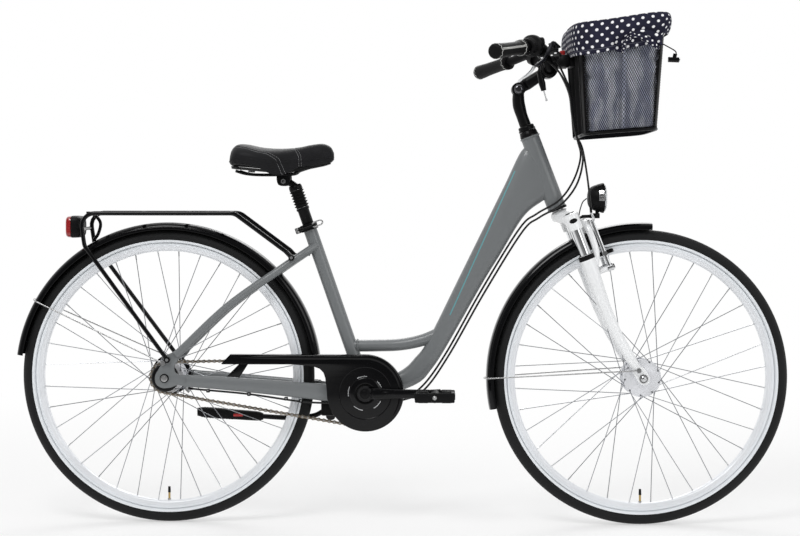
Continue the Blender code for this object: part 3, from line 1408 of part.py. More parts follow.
# Rim brake on the fork
for side, name in ((-1, "right"), (1, "left")):
    arm_rings = [
        oval((0.0628, side * y, s), D, Y_AXIS, hd, hy, 8, 3.0)
        for s, y, hd, hy in ((BOSS_S - 0.004, 0.0420, 0.0055, 0.0060), (0.2950, 0.0415, 0.0052, 0.0045),
                             (0.3300, 0.0395, 0.0050, 0.0040), (0.3700, 0.0375, 0.0048, 0.0038),
                             (0.3910, 0.0375, 0.0040, 0.0036))
    ]
    arm_pieces = [
        rod("hub", (BOSS_END_D + 0.0006, side * 0.0420, BOSS_S), (BOSS_END_D + 0.0140, side * 0.0420, BOSS_S),
            0.0088, ALUMINIUM, 12),
        loft("arm", arm_rings, ALUMINIUM),
        rod("pad_stud", (0.0628, side * 0.0180, 0.3062), (0.0628, side * 0.0480, 0.3062), 0.0035, STEEL, 8),
        box("pad", (0.0520, 0.0085, 0.0090), (0.0610, side * 0.0178, 0.3062), RUBBER, 0.0015),
    ]
    if name == "right":
        arm_pieces.append(
            tube(
                "noodle",
                smooth_path([(0.0628, -0.0370, 0.3880), (0.0640, -0.0480, 0.3880), (0.0655, -0.0600, 0.3940),
                             (0.0650, -0.0620, 0.4080)], 3),
                0.0027, STEEL, 1,
            )
        )
    brake_arm = fuse("brake_arm_" + name, arm_pieces, ALUMINIUM)
    cut(brake_arm, rod("arm_bore", (0.04, side * 0.0420, BOSS_S), (0.09, side * 0.0420, BOSS_S), 0.0048,
                       STEEL, 12))
    attach(brake_arm, "brake_" + name, STEER)

# Headlight on its bracket
LAMP = Vector((0.4682, 0.0, 0.7730))
LAMP_PIVOT = Vector((0.4630, 0.0, 0.7310))
lamp_back = at(STEER_STRAIGHT, (ARCH_D, 0, ARCH_TOP + ARCH_RADIUS + 3 * GAP))
bracket = fuse(
    "lamp_bracket",
    [
        rod("foot", lamp_back, lamp_back + STEER_UP * 0.0060, 0.0060, STEEL, 12),
        rod("arm", lamp_back + STEER_UP * 0.0040, LAMP_PIVOT + Vector((-0.0120, 0, -0.0010)), 0.0040, STEEL, 10),
        box("ears", (0.0220, 0.0170, 0.0120), LAMP_PIVOT + Vector((-0.0055, 0, 0)), STEEL, 0.001),
    ],
    STEEL,
)
cut(bracket, box("lug_slot", (0.0300, 0.0077, 0.0300), LAMP_PIVOT + Vector((0.0080, 0, 0.0080)), STEEL))
attach(bracket, "fork_slide", TURN)
pivot("lamp_pivot", TURN @ Matrix.Translation(LAMP_PIVOT), "fork_slide")
lamp = fuse(
    "headlight",
    [
        turned(
            "housing",
            [(0.0, -0.0280), (0.0170, -0.0265), (0.0260, -0.0200), (0.0310, -0.0080), (0.0345, 0.0040),
             (0.0352, 0.0100), (0.0330, 0.0100), (0.0315, 0.0050), (0.0, 0.0050)],
            BLACK_PLASTIC, 20, "X", LAMP,
        ),
        box("lug", (0.0080, 0.0070, 0.0180), (0.4630, 0, 0.7370), BLACK_PLASTIC, 0.001),
        rod("lug_round", LAMP_PIVOT - Y_AXIS * 0.0035, LAMP_PIVOT + Y_AXIS * 0.0035, 0.0055, BLACK_PLASTIC, 12),
    ],
    BLACK_PLASTIC,
)
attach(lamp, "lamp_pivot", TURN)
attach(
    turned(
        "headlight_lens",
        [(0.0, 0.0054), (0.0310, 0.0054), (0.0326, 0.0100), (0.0310, 0.0140), (0.0180, 0.0175), (0.0, 0.0185)],
        LENS_CLEAR, 20, "X", LAMP,
    ),
    "lamp_pivot", TURN,
)

# Stem extension and handlebar, drawn with the bar straight and turned with the fork
bar_centre = at(STEER_STRAIGHT, (BAR_D, 0, BAR_S))
clamp_half = 0.0210
reach_dir = Vector((BAR_D - STEM_PIVOT_D, 0, BAR_S - STEM_PIVOT_S)).normalized()
reach_up = reach_dir.cross(Y_AXIS) * -1
extension = fuse(
    "stem_extension",
    [
        rod("tongue", (STEM_PIVOT_D, -STEM_TONGUE_HALF, STEM_PIVOT_S), (STEM_PIVOT_D, STEM_TONGUE_HALF, STEM_PIVOT_S),
            0.0158, BLACK_SATIN, 16),
        rod("pin", (STEM_PIVOT_D, -0.0175, STEM_PIVOT_S), (STEM_PIVOT_D, 0.0175, STEM_PIVOT_S), 0.0042,
            STEEL, 12),
        loft(
            "reach",
            [oval(Vector((STEM_PIVOT_D, 0, STEM_PIVOT_S)) + reach_dir * t, reach_up, Y_AXIS, h, w, 12, 2.8)
             for t, h, w in ((0.0060, 0.0125, 0.0080), (0.0180, 0.0135, 0.0082), (0.0230, 0.0145, 0.0150),
                             (0.0500, 0.0140, 0.0165), (0.0845, 0.0120, 0.0175))],
            BLACK_SATIN,
        ),
        rod("clamp", (BAR_D, -clamp_half, BAR_S), (BAR_D, clamp_half, BAR_S), STEM_CLAMP_RADIUS, BLACK_SATIN, 16),
    ],
    BLACK_SATIN,
)
cut(extension, rod("bar_bore", (BAR_D, -0.03, BAR_S), (BAR_D, 0.03, BAR_S), BAR_CLAMP_RADIUS + 2 * GAP, STEEL, 16))
attach(extension, "bar", STEER)


def bar_line(x, y, z):
    """Bar point given for the left side; measured from the clamp's centre height."""
    return Vector((x, y, z + bar_centre.z - 1.0748))


bx = bar_centre.x - 0.3470
left_half = [
    bar_line(0.3470 + bx, 0.0, 1.0748), bar_line(0.3470 + bx, 0.0420, 1.0748),
    bar_line(0.3306 + bx, 0.0900, 1.1050), bar_line(0.3056 + bx, 0.1250, 1.1210),
    bar_line(0.2806 + bx, 0.1700, 1.1130), bar_line(0.1997 + bx, 0.2963, 1.0913),
]
half_path = rounded_path(left_half, 0.040, 2)
flip = Matrix.Diagonal((1, -1, 1, 1))
whole = [flip @ p for p in reversed(half_path[1:])] + half_path
thick = [BAR_CLAMP_RADIUS / BAR_RADIUS if abs(p.y) < 0.0300 else 1.0 for p in whole]
attach(tube("handlebar", whole, BAR_RADIUS, ALUMINIUM, 2, radii=thick), "bar", TURN)


def on_bar(i, t, side):
    """Frame on the bar's leg i, t metres out from its inner corner, Z pointing outwards."""
    a, b = left_half[i].copy(), left_half[i + 1].copy()
    if side < 0:
        a, b = flip @ a, flip @ b
    z = (b - a).normalized()
    x = (Vector((1, 0, 0)) - z * z.x).normalized()
    return axes_matrix(a + z * t, x, z.cross(x), z)


bore = BAR_RADIUS + 3 * GAP
grip_leg = (left_half[5] - left_half[4]).length
for side, name in ((-1, "right"), (1, "left")):
    place = on_bar(4, grip_leg - GRIP_LENGTH + 0.0020, side)
    grip = turned(
        "grip_" + name,
        [(0.0, GRIP_LENGTH), (0.0120, GRIP_LENGTH), (0.0165, GRIP_LENGTH - 0.0040), (0.0172, 0.1100),
         (GRIP_RADIUS, 0.0900), (0.0152, 0.0400), (0.0165, 0.0120), (0.0185, 0.0050), (0.0185, 0.0),
         (bore, 0.0), (bore, GRIP_LENGTH - 0.0016), (0.0, GRIP_LENGTH - 0.0016)],
        RUBBER, 14,
    )
    attach(grip, "bar", TURN @ place)

shifter = fuse(
    "twist_shifter",
    [
        turned(
            "ring",
            [(0.0, 0.0), (0.0225, 0.0), (0.0255, 0.0060), (0.0255, 0.0180), (0.0205, 0.0230),
             (0.0195, 0.0400), (0.0170, 0.0430), (0.0, 0.0430)],
            BLACK_PLASTIC, 18,
        ),
        box("window", (0.0300, 0.0280, 0.0170), (0.0078, 0.0162, 0.0110), BLACK_PLASTIC, 0.003,
            Matrix.Rotation(radians(64), 4, "Z")),
    ],
    BLACK_PLASTIC,
)
cut(shifter, rod("shifter_bore", (0, 0, -0.02), (0, 0, 0.0340), bore + 0.0020, STEEL, 18))
cut(shifter, rod("shifter_collar", (0, 0, 0.0300), (0, 0, 0.06), BAR_RADIUS + 2 * GAP, STEEL, 18))
attach(shifter, "bar", TURN @ on_bar(3, 0.0060, -1))

# Brake levers
for side, name in ((-1, "right"), (1, "left")):
    place = on_bar(2, 0.0160, side)
    perch = fuse(
        "brake_perch_" + name,
        [
            rod("band", (0, 0, -0.0075), (0, 0, 0.0075), 0.0165, BLACK_SATIN, 16),
            box("body", (0.0240, 0.0180, 0.0150), (0.0230, side * 0.0060, 0.0), BLACK_SATIN, 0.002),
            box("yoke", (0.0160, 0.0230, 0.0300), (0.0360, side * 0.0085, 0.0040), BLACK_SATIN, 0.002),
            rod("adjuster", (0.0300, side * 0.0085, -0.0050), (0.0330, side * 0.0085, -0.0300), 0.0045,
                BLACK_SATIN, 8),
        ],
        BLACK_SATIN,
    )
    perch_bore = rod("perch_bore_" + name, (0, 0, -0.03), (0, 0, 0.03), BAR_RADIUS + GAP, STEEL, 16)
    cut(perch, perch_bore)
    lever_slot = box("lever_slot_" + name, (0.0300, 0.0130, 0.0280), (0.0440, side * 0.0085, 0.0100), STEEL)
    cut(perch, lever_slot)
    attach(perch, "bar", TURN @ place)
    pin_at = Vector((0.0380, side * 0.0085, 0.0060))
    pivot_name = "lever_" + name + "_pivot"
    pivot(pivot_name, TURN @ place @ Matrix.Translation(pin_at), "bar")
    end_world = Vector((0.2950 + bx, side * 0.2450, 1.0640))
    mid_world = Vector((0.3220 + bx, side * 0.1700, 1.0860))
    inv = place.inverted()
    blade = fuse(
        "brake_lever_" + name,
        [
            rod("eye", pin_at - Vector((0, 0.0046, 0)), pin_at + Vector((0, 0.0046, 0)), 0.0080, ALUMINIUM, 12),
            tube(
                "blade",
                smooth_path([pin_at, pin_at + Vector((0.0060, 0, 0.0240)), inv @ mid_world,
                             inv @ end_world], 3),
                0.0044, ALUMINIUM, 1,
            ),
        ],
        ALUMINIUM,
    )
    attach(blade, pivot_name, TURN @ place)

# Basket adapter on the bar
adapter_pieces = [
    box("box", (0.0250, 0.0720, 0.0280), (0.3822 + bx, 0, 1.0940), BLACK_PLASTIC, 0.003),
]
for side in (-1, 1):
    adapter_pieces += [
        rod("ring", (bar_centre.x, side * 0.0235, bar_centre.z), (bar_centre.x, side * 0.0355, bar_centre.z),
            0.0180, BLACK_PLASTIC, 16),
        box("arm", (0.0420, 0.0120, 0.0160), (0.3680 + bx, side * 0.0295, 1.0890), BLACK_PLASTIC, 0.002,
            Matrix.Rotation(radians(-25), 4, "Y")),
    ]
adapter = fuse("basket_adapter", adapter_pieces, BLACK_PLASTIC)
cut(adapter, rod("adapter_bore", (bar_centre.x, -0.05, bar_centre.z), (bar_centre.x, 0.05, bar_centre.z),
                 BAR_CLAMP_RADIUS + 2 * GAP, STEEL, 16))
cut(adapter, box("button_pocket", (0.0130, 0.0330, 0.0140), (0.3790 + bx, 0, 1.1090), STEEL))
attach(adapter, "bar", TURN)
pivot("button_pivot", TURN @ Matrix.Translation((0.3790 + bx, 0, 1.1100)), "bar")
attach(box("basket_button", (0.0124, 0.0324, 0.0070), (0.3790 + bx, 0, 1.1080), RED, 0.001), "button_pivot", TURN)

# Basket: a tub of rigid mesh with a cloth liner folded over its rim
pivot("basket_lift", TURN @ Matrix.Translation((0.4150 + bx, 0, 1.1000)), "bar")


def basket_ring(t, inset, z_low, z_high, count=20):
    """Rounded rectangle at height fraction t; the rim slopes up towards the front."""
    back = 0.4185 + (0.4020 - 0.4185) * t + inset + bx
    front = 0.5910 + (0.6075 - 0.5910) * t - inset + bx
    half = 0.1380 + (0.1650 - 0.1380) * t - inset
    middle, half_x = (back + front) / 2, (front - back) / 2
    out = []
    for i in range(count):
        a = 2 * pi * (i + 0.5) / count
        c, s = cos(a), sin(a)
        e = 2.0 / 6.0
        x = middle + half_x * abs(c) ** e * (1 if c >= 0 else -1)
        y = half * abs(s) ** e * (1 if s >= 0 else -1)
        f = (x - back) / (front - back)
        out.append(Vector((x, y, z_low + (z_high - z_low) * f)))
    return out


FLOOR_BACK, FLOOR_FRONT = 0.9150, 0.9280
EDGE_BACK, EDGE_FRONT = 1.1120, 1.1470
RIM_RISE = 0.0350
tub = loft(
    "tub",
    [
        basket_ring(0.0, 0.0200, FLOOR_BACK, FLOOR_FRONT),
        basket_ring(0.0, 0.0040, FLOOR_BACK, FLOOR_FRONT),
        basket_ring(0.04, 0.0, FLOOR_BACK + 0.0080, FLOOR_FRONT + 0.0080),
        basket_ring(1.0, 0.0, EDGE_BACK + RIM_RISE, EDGE_FRONT + RIM_RISE),
        basket_ring(1.0, BASKET_WALL, EDGE_BACK + RIM_RISE, EDGE_FRONT + RIM_RISE),
        basket_ring(0.04, BASKET_WALL, FLOOR_BACK + 0.0080, FLOOR_FRONT + 0.0080),
        basket_ring(0.0, 0.0055, FLOOR_BACK + BASKET_WALL, FLOOR_FRONT + BASKET_WALL),
    ],
    BLACK_SATIN,
)
hook = box("hook", (0.0122, 0.0600, 0.0260), (0.4011 + bx, 0, 1.0935), BLACK_PLASTIC, 0.001)
attach(fuse("basket", [tub, hook], BLACK_SATIN), "basket_lift", TURN)
liner_gap = BASKET_WALL + 0.0015
attach(
    loft(
        "basket_liner",
        [
            basket_ring(0.0, 0.0220, FLOOR_BACK + 0.0035, FLOOR_FRONT + 0.0035),
            basket_ring(0.0, 0.0085, FLOOR_BACK + 0.0035, FLOOR_FRONT + 0.0035),
            basket_ring(0.05, liner_gap + 0.0010, FLOOR_BACK + 0.0120, FLOOR_FRONT + 0.0120),
            basket_ring(1.0, liner_gap, EDGE_BACK + RIM_RISE + 0.0010, EDGE_FRONT + RIM_RISE + 0.0010),
            basket_ring(1.0, -0.0015, EDGE_BACK + RIM_RISE + 0.0010, EDGE_FRONT + RIM_RISE + 0.0010),
            basket_ring(0.86, -0.0015, EDGE_BACK + 0.0060, EDGE_FRONT + 0.0060),
            basket_ring(0.86, -0.0040, EDGE_BACK, EDGE_FRONT),
            basket_ring(1.0, -0.0120, EDGE_BACK + 0.0220, EDGE_FRONT + 0.0220),
            basket_ring(1.0, -0.0110, EDGE_BACK + 0.0480, EDGE_FRONT + 0.0480),
            basket_ring(1.0, 0.0, EDGE_BACK + 0.0600, EDGE_FRONT + 0.0600),
            basket_ring(1.0, 0.0100, EDGE_BACK + 0.0500, EDGE_FRONT + 0.0500),
            basket_ring(0.06, 0.0075, FLOOR_BACK + 0.0150, FLOOR_FRONT + 0.0150),
            basket_ring(0.0, 0.0220, FLOOR_BACK + 0.0070, FLOOR_FRONT + 0.0070),
        ],
        NAVY,
    ),
    "basket_lift", TURN,
)


# Cables, held by the frame all the way
def cable(name, points, radius, spacing):
    """Thin round cable whose points are read from one smooth curve."""
    fine = smooth_path(points, 12)
    out = [fine[0]]
    for p in fine[1:-1]:
        if (p - out[-1]).length >= spacing:
            out.append(p)
    if (fine[-1] - out[-1]).length < spacing * 0.4:
        out.pop()
    out.append(fine[-1])
    return tube(name, out, radius, RUBBER, 0)


attach(
    cable(
        "front_brake_cable",
        [(0.3560, 0.0560, 1.1000), (0.3800, 0.0500, 1.0700), (0.3970, 0.0100, 1.0200),
         (0.4000, -0.0250, 0.9700), (0.4070, -0.0330, 0.9250), (0.4230, -0.0380, 0.8900),
         (0.4330, -0.0480, 0.8300), (0.4390, -0.0600, 0.7700), (0.4415, -0.0622, 0.7389)],
        0.0024, 0.0250,
    ),
    "steering", TURN,
)
attach(
    cable(
        "rear_brake_cable",
        [(0.3580, -0.0620, 1.1000), (0.3760, -0.0600, 1.0680), (0.3960, -0.0480, 1.0200),
         (0.4030, -0.0440, 0.9600), (0.4130, -0.0420, 0.9100), (0.4210, -0.0400, 0.8700),
         (0.4050, -0.0370, 0.8150), (0.3720, -0.0340, 0.7680), (0.3200, -0.0200, 0.7360),
         (0.2790, -0.0080, 0.7000), (0.1890, -0.0060, 0.5530), (0.1050, -0.0040, 0.4030),
         (0.0480, 0.0000, 0.3240), (0.0000, 0.0060, 0.2980), (-0.0600, 0.0150, 0.2855),
         (-0.1100, 0.0300, 0.2830), (-0.1700, 0.0420, 0.2850), (-0.2500, 0.0400, 0.2985),
         (-0.3600, 0.0500, 0.3112), (-0.4600, 0.0590, 0.3208), (-0.4850, 0.0610, 0.3235)],
        0.0024, 0.0340,
    ),
    "bike",
)
attach(
    cable(
        "shift_cable",
        [(0.3420, -0.0900, 1.0900), (0.3720, -0.0740, 1.0600), (0.3940, -0.0580, 1.0150),
         (0.4020, -0.0530, 0.9600), (0.4140, -0.0500, 0.9050), (0.4260, -0.0480, 0.8650),
         (0.4120, -0.0450, 0.8050), (0.3750, -0.0400, 0.7570), (0.3250, -0.0260, 0.7270),
         (0.2850, -0.0160, 0.6920), (0.1960, -0.0140, 0.5480), (0.1120, -0.0120, 0.3990),
         (0.0540, -0.0120, 0.3180), (0.0000, -0.0140, 0.2930), (-0.0600, -0.0180, 0.2855),
         (-0.1200, -0.0270, 0.2887), (-0.2200, -0.0360, 0.2904), (-0.3600, -0.0490, 0.3106),
         (-0.4700, -0.0580, 0.3216), (-0.5000, -0.0590, 0.3248)],
        0.0024, 0.0340,
    ),
    "bike",
)
attach(
    cable(
        "lamp_wire",
        [(0.4386, 0.0040, 0.7720), (0.4290, 0.0140, 0.7600), (0.4230, 0.0300, 0.7250),
         (0.4340, 0.0640, 0.6900), (0.4420, 0.0775, 0.6450), (0.4469, 0.0756, 0.5923), (0.4720, 0.0733, 0.5227),
         (0.4984, 0.0722, 0.4621), (0.5167, 0.0717, 0.4284), (0.5383, 0.0713, 0.3917)],
        0.0014, 0.0150,
    ),
    "fork_slide", TURN,
)
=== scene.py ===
# %% [markdown]
# # A city bike, dressed for its portrait
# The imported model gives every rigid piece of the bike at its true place. This lesson
# opens it, sets the camera and a soft white studio, builds each finish from shader
# nodes, and models the pieces that a plain solid can't show: round tyres, laced wheels,
# a chain of links, a stitched saddle and a mesh basket with its cloth liner.

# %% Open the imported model
import json
from math import asin, atan2, cos, exp, pi, radians, sin

import bpy
from mathutils import Matrix, Vector, noise as folds


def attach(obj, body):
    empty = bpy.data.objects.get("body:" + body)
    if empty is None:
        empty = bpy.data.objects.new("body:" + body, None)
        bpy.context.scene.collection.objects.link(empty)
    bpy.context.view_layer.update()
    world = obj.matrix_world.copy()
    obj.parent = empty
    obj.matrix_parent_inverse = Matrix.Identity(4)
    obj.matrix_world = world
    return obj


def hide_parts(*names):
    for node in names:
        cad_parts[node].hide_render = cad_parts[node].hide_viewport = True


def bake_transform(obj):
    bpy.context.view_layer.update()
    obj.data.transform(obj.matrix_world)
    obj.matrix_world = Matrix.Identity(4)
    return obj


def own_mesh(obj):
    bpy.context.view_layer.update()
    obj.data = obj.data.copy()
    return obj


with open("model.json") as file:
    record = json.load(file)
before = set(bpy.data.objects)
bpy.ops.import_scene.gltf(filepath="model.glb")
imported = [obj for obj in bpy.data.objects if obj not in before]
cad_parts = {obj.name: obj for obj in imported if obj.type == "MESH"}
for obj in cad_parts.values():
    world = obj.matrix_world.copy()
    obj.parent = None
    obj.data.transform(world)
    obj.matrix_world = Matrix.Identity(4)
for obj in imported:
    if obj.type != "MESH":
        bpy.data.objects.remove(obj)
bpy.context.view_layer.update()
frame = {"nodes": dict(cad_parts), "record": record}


def axes_matrix(origin, x_dir, y_dir, z_dir):
    """Frame at an origin with three given axes."""
    m = Matrix((x_dir, y_dir, z_dir)).transposed().to_4x4()
    m.translation = origin
    return m


def shift(place):
    """Matrix that moves by a place."""
    return Matrix.Translation(place)


def mm(*rows):
    """Rows of millimetres as rows of metres."""
    return [tuple(round(x / 1000, 7) for x in row) for row in rows]

# %% [markdown]
# ## The camera
# The photograph is a long-lens side view from the chain side. Both wheels' outlines fix
# the place, turn and focal length, so the render can be laid over the photograph.

# %% Camera
cam_data = bpy.data.cameras.new("camera")
cam = bpy.data.objects.new("camera", cam_data)
bpy.context.scene.collection.objects.link(cam)
cam_data.sensor_width = 36.0
cam_data.lens = 87.02
cam_data.clip_start = 0.1
cam_data.clip_end = 200.0
cam.location = (0.15674, -4.58097, 0.79381)
cam.rotation_euler = (pi / 2 - radians(2.335), 0.0, radians(1.982))
bpy.context.scene.camera = cam
print("camera with a lens of", round(cam_data.lens, 2), "mm")

# %% [markdown]
# ## The studio
# The bike stands on a pale floor under large soft lamps. The world is white only for the
# camera and for reflections, which keeps the metal bright, while the light that falls on
# the bike stays at a plain level.

# %% Studio floor, world and lamps
def select_only(obj):
    bpy.ops.object.select_all(action="DESELECT")
    obj.select_set(True)
    bpy.context.view_layer.objects.active = obj


def fresh(add, **values):
    """Runs an operator that adds an object and returns that object."""
    bpy.ops.object.select_all(action="DESELECT")
    add(**values)
    return bpy.context.active_object


def add_node(tree, kind, **values):
    """Adds a shader node and sets its properties by name."""
    node = tree.nodes.new("ShaderNode" + kind)
    for key, value in values.items():
        setattr(node, key, value)
    return node


def feed(node, **values):
    """Links sockets to a node's inputs and sets other values; _ in a name is a space."""
    for label, value in values.items():
        socket = node.inputs[label.replace("_", " ")]
        if isinstance(value, bpy.types.NodeSocket):
            node.id_data.links.new(value, socket)
        else:
            socket.default_value = value
    return node


def math_node(tree, operation, a, b=None, clamp=False):
    """Math node whose inputs are sockets or numbers; returns its output."""
    node = add_node(tree, "Math", operation=operation, use_clamp=clamp)
    for socket, value in zip(node.inputs, (a, b)):
        if isinstance(value, (int, float)):
            socket.default_value = value
        elif value is not None:
            tree.links.new(value, socket)
    return node.outputs[0]


def plus(tree, a, b, clamp=False):
    return math_node(tree, "ADD", a, b, clamp)


def minus(tree, a, b):
    return math_node(tree, "SUBTRACT", a, b)


def times(tree, a, b):
    return math_node(tree, "MULTIPLY", a, b)


def ramp(tree, value, low, high, to_low=0.0, to_high=1.0):
    """Smooth change from to_low to to_high while the value goes from low to high."""
    node = add_node(tree, "MapRange", interpolation_type="SMOOTHSTEP")
    return feed(node, Value=value, From_Min=low, From_Max=high, To_Min=to_low, To_Max=to_high).outputs[0]


def place_parts(tree, kind="Object"):
    """X, Y and Z of a texture place as three sockets."""
    node = add_node(tree, "SeparateXYZ")
    return tuple(feed(node, Vector=add_node(tree, "TexCoord").outputs[kind]).outputs)


def seen_directly(tree):
    """1 for rays from the camera, through glass or off a glossy surface, and the glossy rays alone."""
    rays = add_node(tree, "LightPath").outputs
    seen = math_node(tree, "MAXIMUM", rays["Is Camera Ray"], rays["Is Transmission Ray"])
    return math_node(tree, "MAXIMUM", seen, rays["Is Glossy Ray"]), rays["Is Glossy Ray"]


def show_mix(tree, share, first, second, output):
    """Shows a mix of two shaders at an output node."""
    mix = add_node(tree, "MixShader")
    for socket, source in zip(mix.inputs, (share, first.outputs[0], second.outputs[0])):
        tree.links.new(source, socket)
    feed(tree.nodes[output], Surface=mix.outputs[0])


WHITE = (1.0, 1.0, 1.0, 1.0)
bpy.context.scene.view_settings.view_transform = "Standard"
world = bpy.data.worlds.new("studio")
bpy.context.scene.world = world
world.use_nodes = True
tree = world.node_tree
plain = feed(tree.nodes["Background"], Color=WHITE, Strength=0.62)
side = ramp(tree, place_parts(tree, "Generated")[1], -0.75, 0.25, 0.13, 1.0)
seen, glossy = seen_directly(tree)
strength = plus(tree, times(tree, minus(tree, side, 1.0), glossy), 1.0)
bright = feed(add_node(tree, "Background"), Color=WHITE, Strength=strength)
show_mix(tree, seen, plain, bright, "World Output")

floor = fresh(bpy.ops.mesh.primitive_plane_add, size=80.0, location=(0.0, 0.0, -0.0004))
floor.name = "studio_floor"
floor_mat = bpy.data.materials.new("floor_white")
floor_mat.use_nodes = True
tree = floor_mat.node_tree
floor_shader = feed(tree.nodes["Principled BSDF"], Base_Color=(0.9, 0.9, 0.9, 1.0), Roughness=0.8,
    Specular_IOR_Level=0.1)
away = add_node(tree, "VectorMath", operation="LENGTH")
feed(away, Vector=add_node(tree, "TexCoord").outputs["Object"])
seen, glossy = seen_directly(tree)
share = times(tree, ramp(tree, away.outputs["Value"], 1.0, 3.2, 0.45, 1.0), seen)
dimmed = times(tree, ramp(tree, place_parts(tree)[1], -2.6, -0.2, -0.78, 0.0), glossy)
glow = feed(add_node(tree, "Emission"), Strength=plus(tree, dimmed, 1.0))
show_mix(tree, share, floor_shader, glow, "Material Output")
floor.data.materials.append(floor_mat)

LAMPS = (("key_lamp", (-1.2, -2.6, 3.6), 1.8, 62.0), ("fill_lamp", (2.8, -2.8, 2.0), 2.2, 24.0),
    ("back_lamp", (0.2, 3.2, 3.0), 2.4, 50.0))
for name, place, size, power in LAMPS:
    lamp_data = bpy.data.lights.new(name, "AREA")
    lamp_data.shape = "DISK"
    lamp_data.size = size
    lamp_data.energy = power
    lamp = bpy.data.objects.new(name, lamp_data)
    bpy.context.scene.collection.objects.link(lamp)
    lamp.location = place
    aim = Vector((0.0, 0.0, 0.5)) - Vector(place)
    lamp.rotation_euler = aim.to_track_quat("-Z", "Y").to_euler()
print("studio ready with", len(LAMPS), "lamps")

# %% [markdown]
# ## Shared effects
# No real surface is one flat colour. Paint has faint orange peel, plastic has a fine
# moulded grain, and bare metal is drawn or brushed. One node group gives the slow change
# of tone and gloss and the fine relief, and each finish sets how much of each it takes.

# %% Node group for tone, gloss and fine relief
def new_group(name, inputs, outputs):
    """Shader node group with named sockets; returns it with its two end nodes."""
    group = bpy.data.node_groups.new(name, "ShaderNodeTree")
    for label, kind, value in inputs:
        socket = group.interface.new_socket(name=label, in_out="INPUT", socket_type="NodeSocket" + kind)
        if value is not None:
            socket.default_value = value
    for label, kind in outputs:
        group.interface.new_socket(name=label, in_out="OUTPUT", socket_type="NodeSocket" + kind)
    return group, group.nodes.new("NodeGroupInput"), group.nodes.new("NodeGroupOutput")


def noise(tree, vector, scale, detail):
    """Noise texture fed by a vector; its scale is a socket or a number."""
    node = add_node(tree, "TexNoise")
    return feed(node, Vector=vector, Scale=scale, Detail=detail, Roughness=0.5).outputs[0]


def wandering(tree, given, slow):
    """Roughness that a noise moves up and down by the given spread."""
    wander = times(tree, minus(tree, slow, 0.5), given["Spread"])
    return plus(tree, given["Roughness"], wander, clamp=True)


surface_group, g_in, g_out = new_group("fine_surface", [("Colour", "Color", (0.5, 0.5, 0.5, 1.0)),
    ("Scale", "Float", 60.0), ("Shade", "Float", 0.15), ("Roughness", "Float", 0.4),
    ("Spread", "Float", 0.08)], [("Colour", "Color"), ("Roughness", "Float"), ("Height", "Float")])
given = g_in.outputs
where = add_node(surface_group, "TexCoord").outputs["Object"]
slow = noise(surface_group, where, times(surface_group, given["Scale"], 0.08), 4.0)
fine = noise(surface_group, where, times(surface_group, given["Scale"], 10.0), 2.0)
tone = minus(surface_group, 1.0, times(surface_group, ramp(surface_group, slow, 0.3, 0.7), given["Shade"]))
darker = add_node(surface_group, "VectorMath", operation="SCALE")
feed(darker, Vector=given["Colour"], Scale=tone)
feed(g_out, Colour=darker.outputs[0], Roughness=wandering(surface_group, given, slow), Height=fine)

# %% [markdown]
# Bare aluminium and steel carry short fine lines from drawing and brushing. The same
# noise, squeezed along one direction, gives them; it only feeds relief and gloss.

# %% Node group for brushed metal
brushed_group, g_in, g_out = new_group("brushed_lines", [("Stretch", "Vector", (900.0, 60.0, 900.0)),
    ("Roughness", "Float", 0.3), ("Spread", "Float", 0.15)], [("Roughness", "Float"), ("Height", "Float")])
pulled = add_node(brushed_group, "VectorMath", operation="MULTIPLY")
brushed_group.links.new(add_node(brushed_group, "TexCoord").outputs["Object"], pulled.inputs[0])
brushed_group.links.new(g_in.outputs["Stretch"], pulled.inputs[1])
lines = noise(brushed_group, pulled.outputs[0], 1.0, 2.0)
feed(g_out, Roughness=wandering(brushed_group, g_in.outputs, lines), Height=lines)

# %% [markdown]
# ## Finishes
# A finish is one Principled shader. Colours were chosen by holding the render beside the
# photograph: a cool mid-grey frame, a white fork, many kinds of black, and bright metal.

# %% Make a finish
def finish(name, colour, rough, metal=0.0, coat=0.0, specular=0.5, scale=60.0, shade=0.12, spread=0.1,
        relief=0.04, depth=0.0004):
    """Material with tone, gloss and fine relief from the shared group."""
    mat = bpy.data.materials.new(name)
    mat.use_nodes = True
    tree = mat.node_tree
    fine = add_node(tree, "Group", node_tree=surface_group)
    feed(fine, Colour=(*colour, 1.0), Scale=scale, Shade=shade, Roughness=rough, Spread=spread)
    bump = feed(add_node(tree, "Bump"), Strength=relief, Distance=depth, Height=fine.outputs["Height"])
    shader = tree.nodes["Principled BSDF"]
    feed(shader, Metallic=metal, Coat_Weight=coat, Coat_Roughness=0.06, Specular_IOR_Level=specular)
    feed(shader, Base_Color=fine.outputs["Colour"], Roughness=fine.outputs["Roughness"],
        Normal=bump.outputs[0])
    return mat


def brushed(name, colour, rough, stretch):
    """Bare metal with drawn lines along one direction."""
    mat = finish(name, colour, rough, metal=1.0, shade=0.08)
    tree = mat.node_tree
    lines = add_node(tree, "Group", node_tree=brushed_group)
    feed(lines, Stretch=stretch, Roughness=rough, Spread=0.18)
    feed(tree.nodes["Bump"], Strength=0.06, Height=lines.outputs["Height"])
    feed(tree.nodes["Principled BSDF"], Roughness=lines.outputs["Roughness"])
    return mat


def repaint(mat, share, colour):
    """Mixes a plain colour into a finish's own by a share."""
    tree = mat.node_tree
    mixed = add_node(tree, "Mix", data_type="RGBA")
    shader = tree.nodes["Principled BSDF"]
    tree.links.new(share, mixed.inputs[0])
    tree.links.new(shader.inputs["Base Color"].links[0].from_socket, mixed.inputs[6])
    mixed.inputs[7].default_value = (*colour, 1.0)
    feed(shader, Base_Color=mixed.outputs[2])


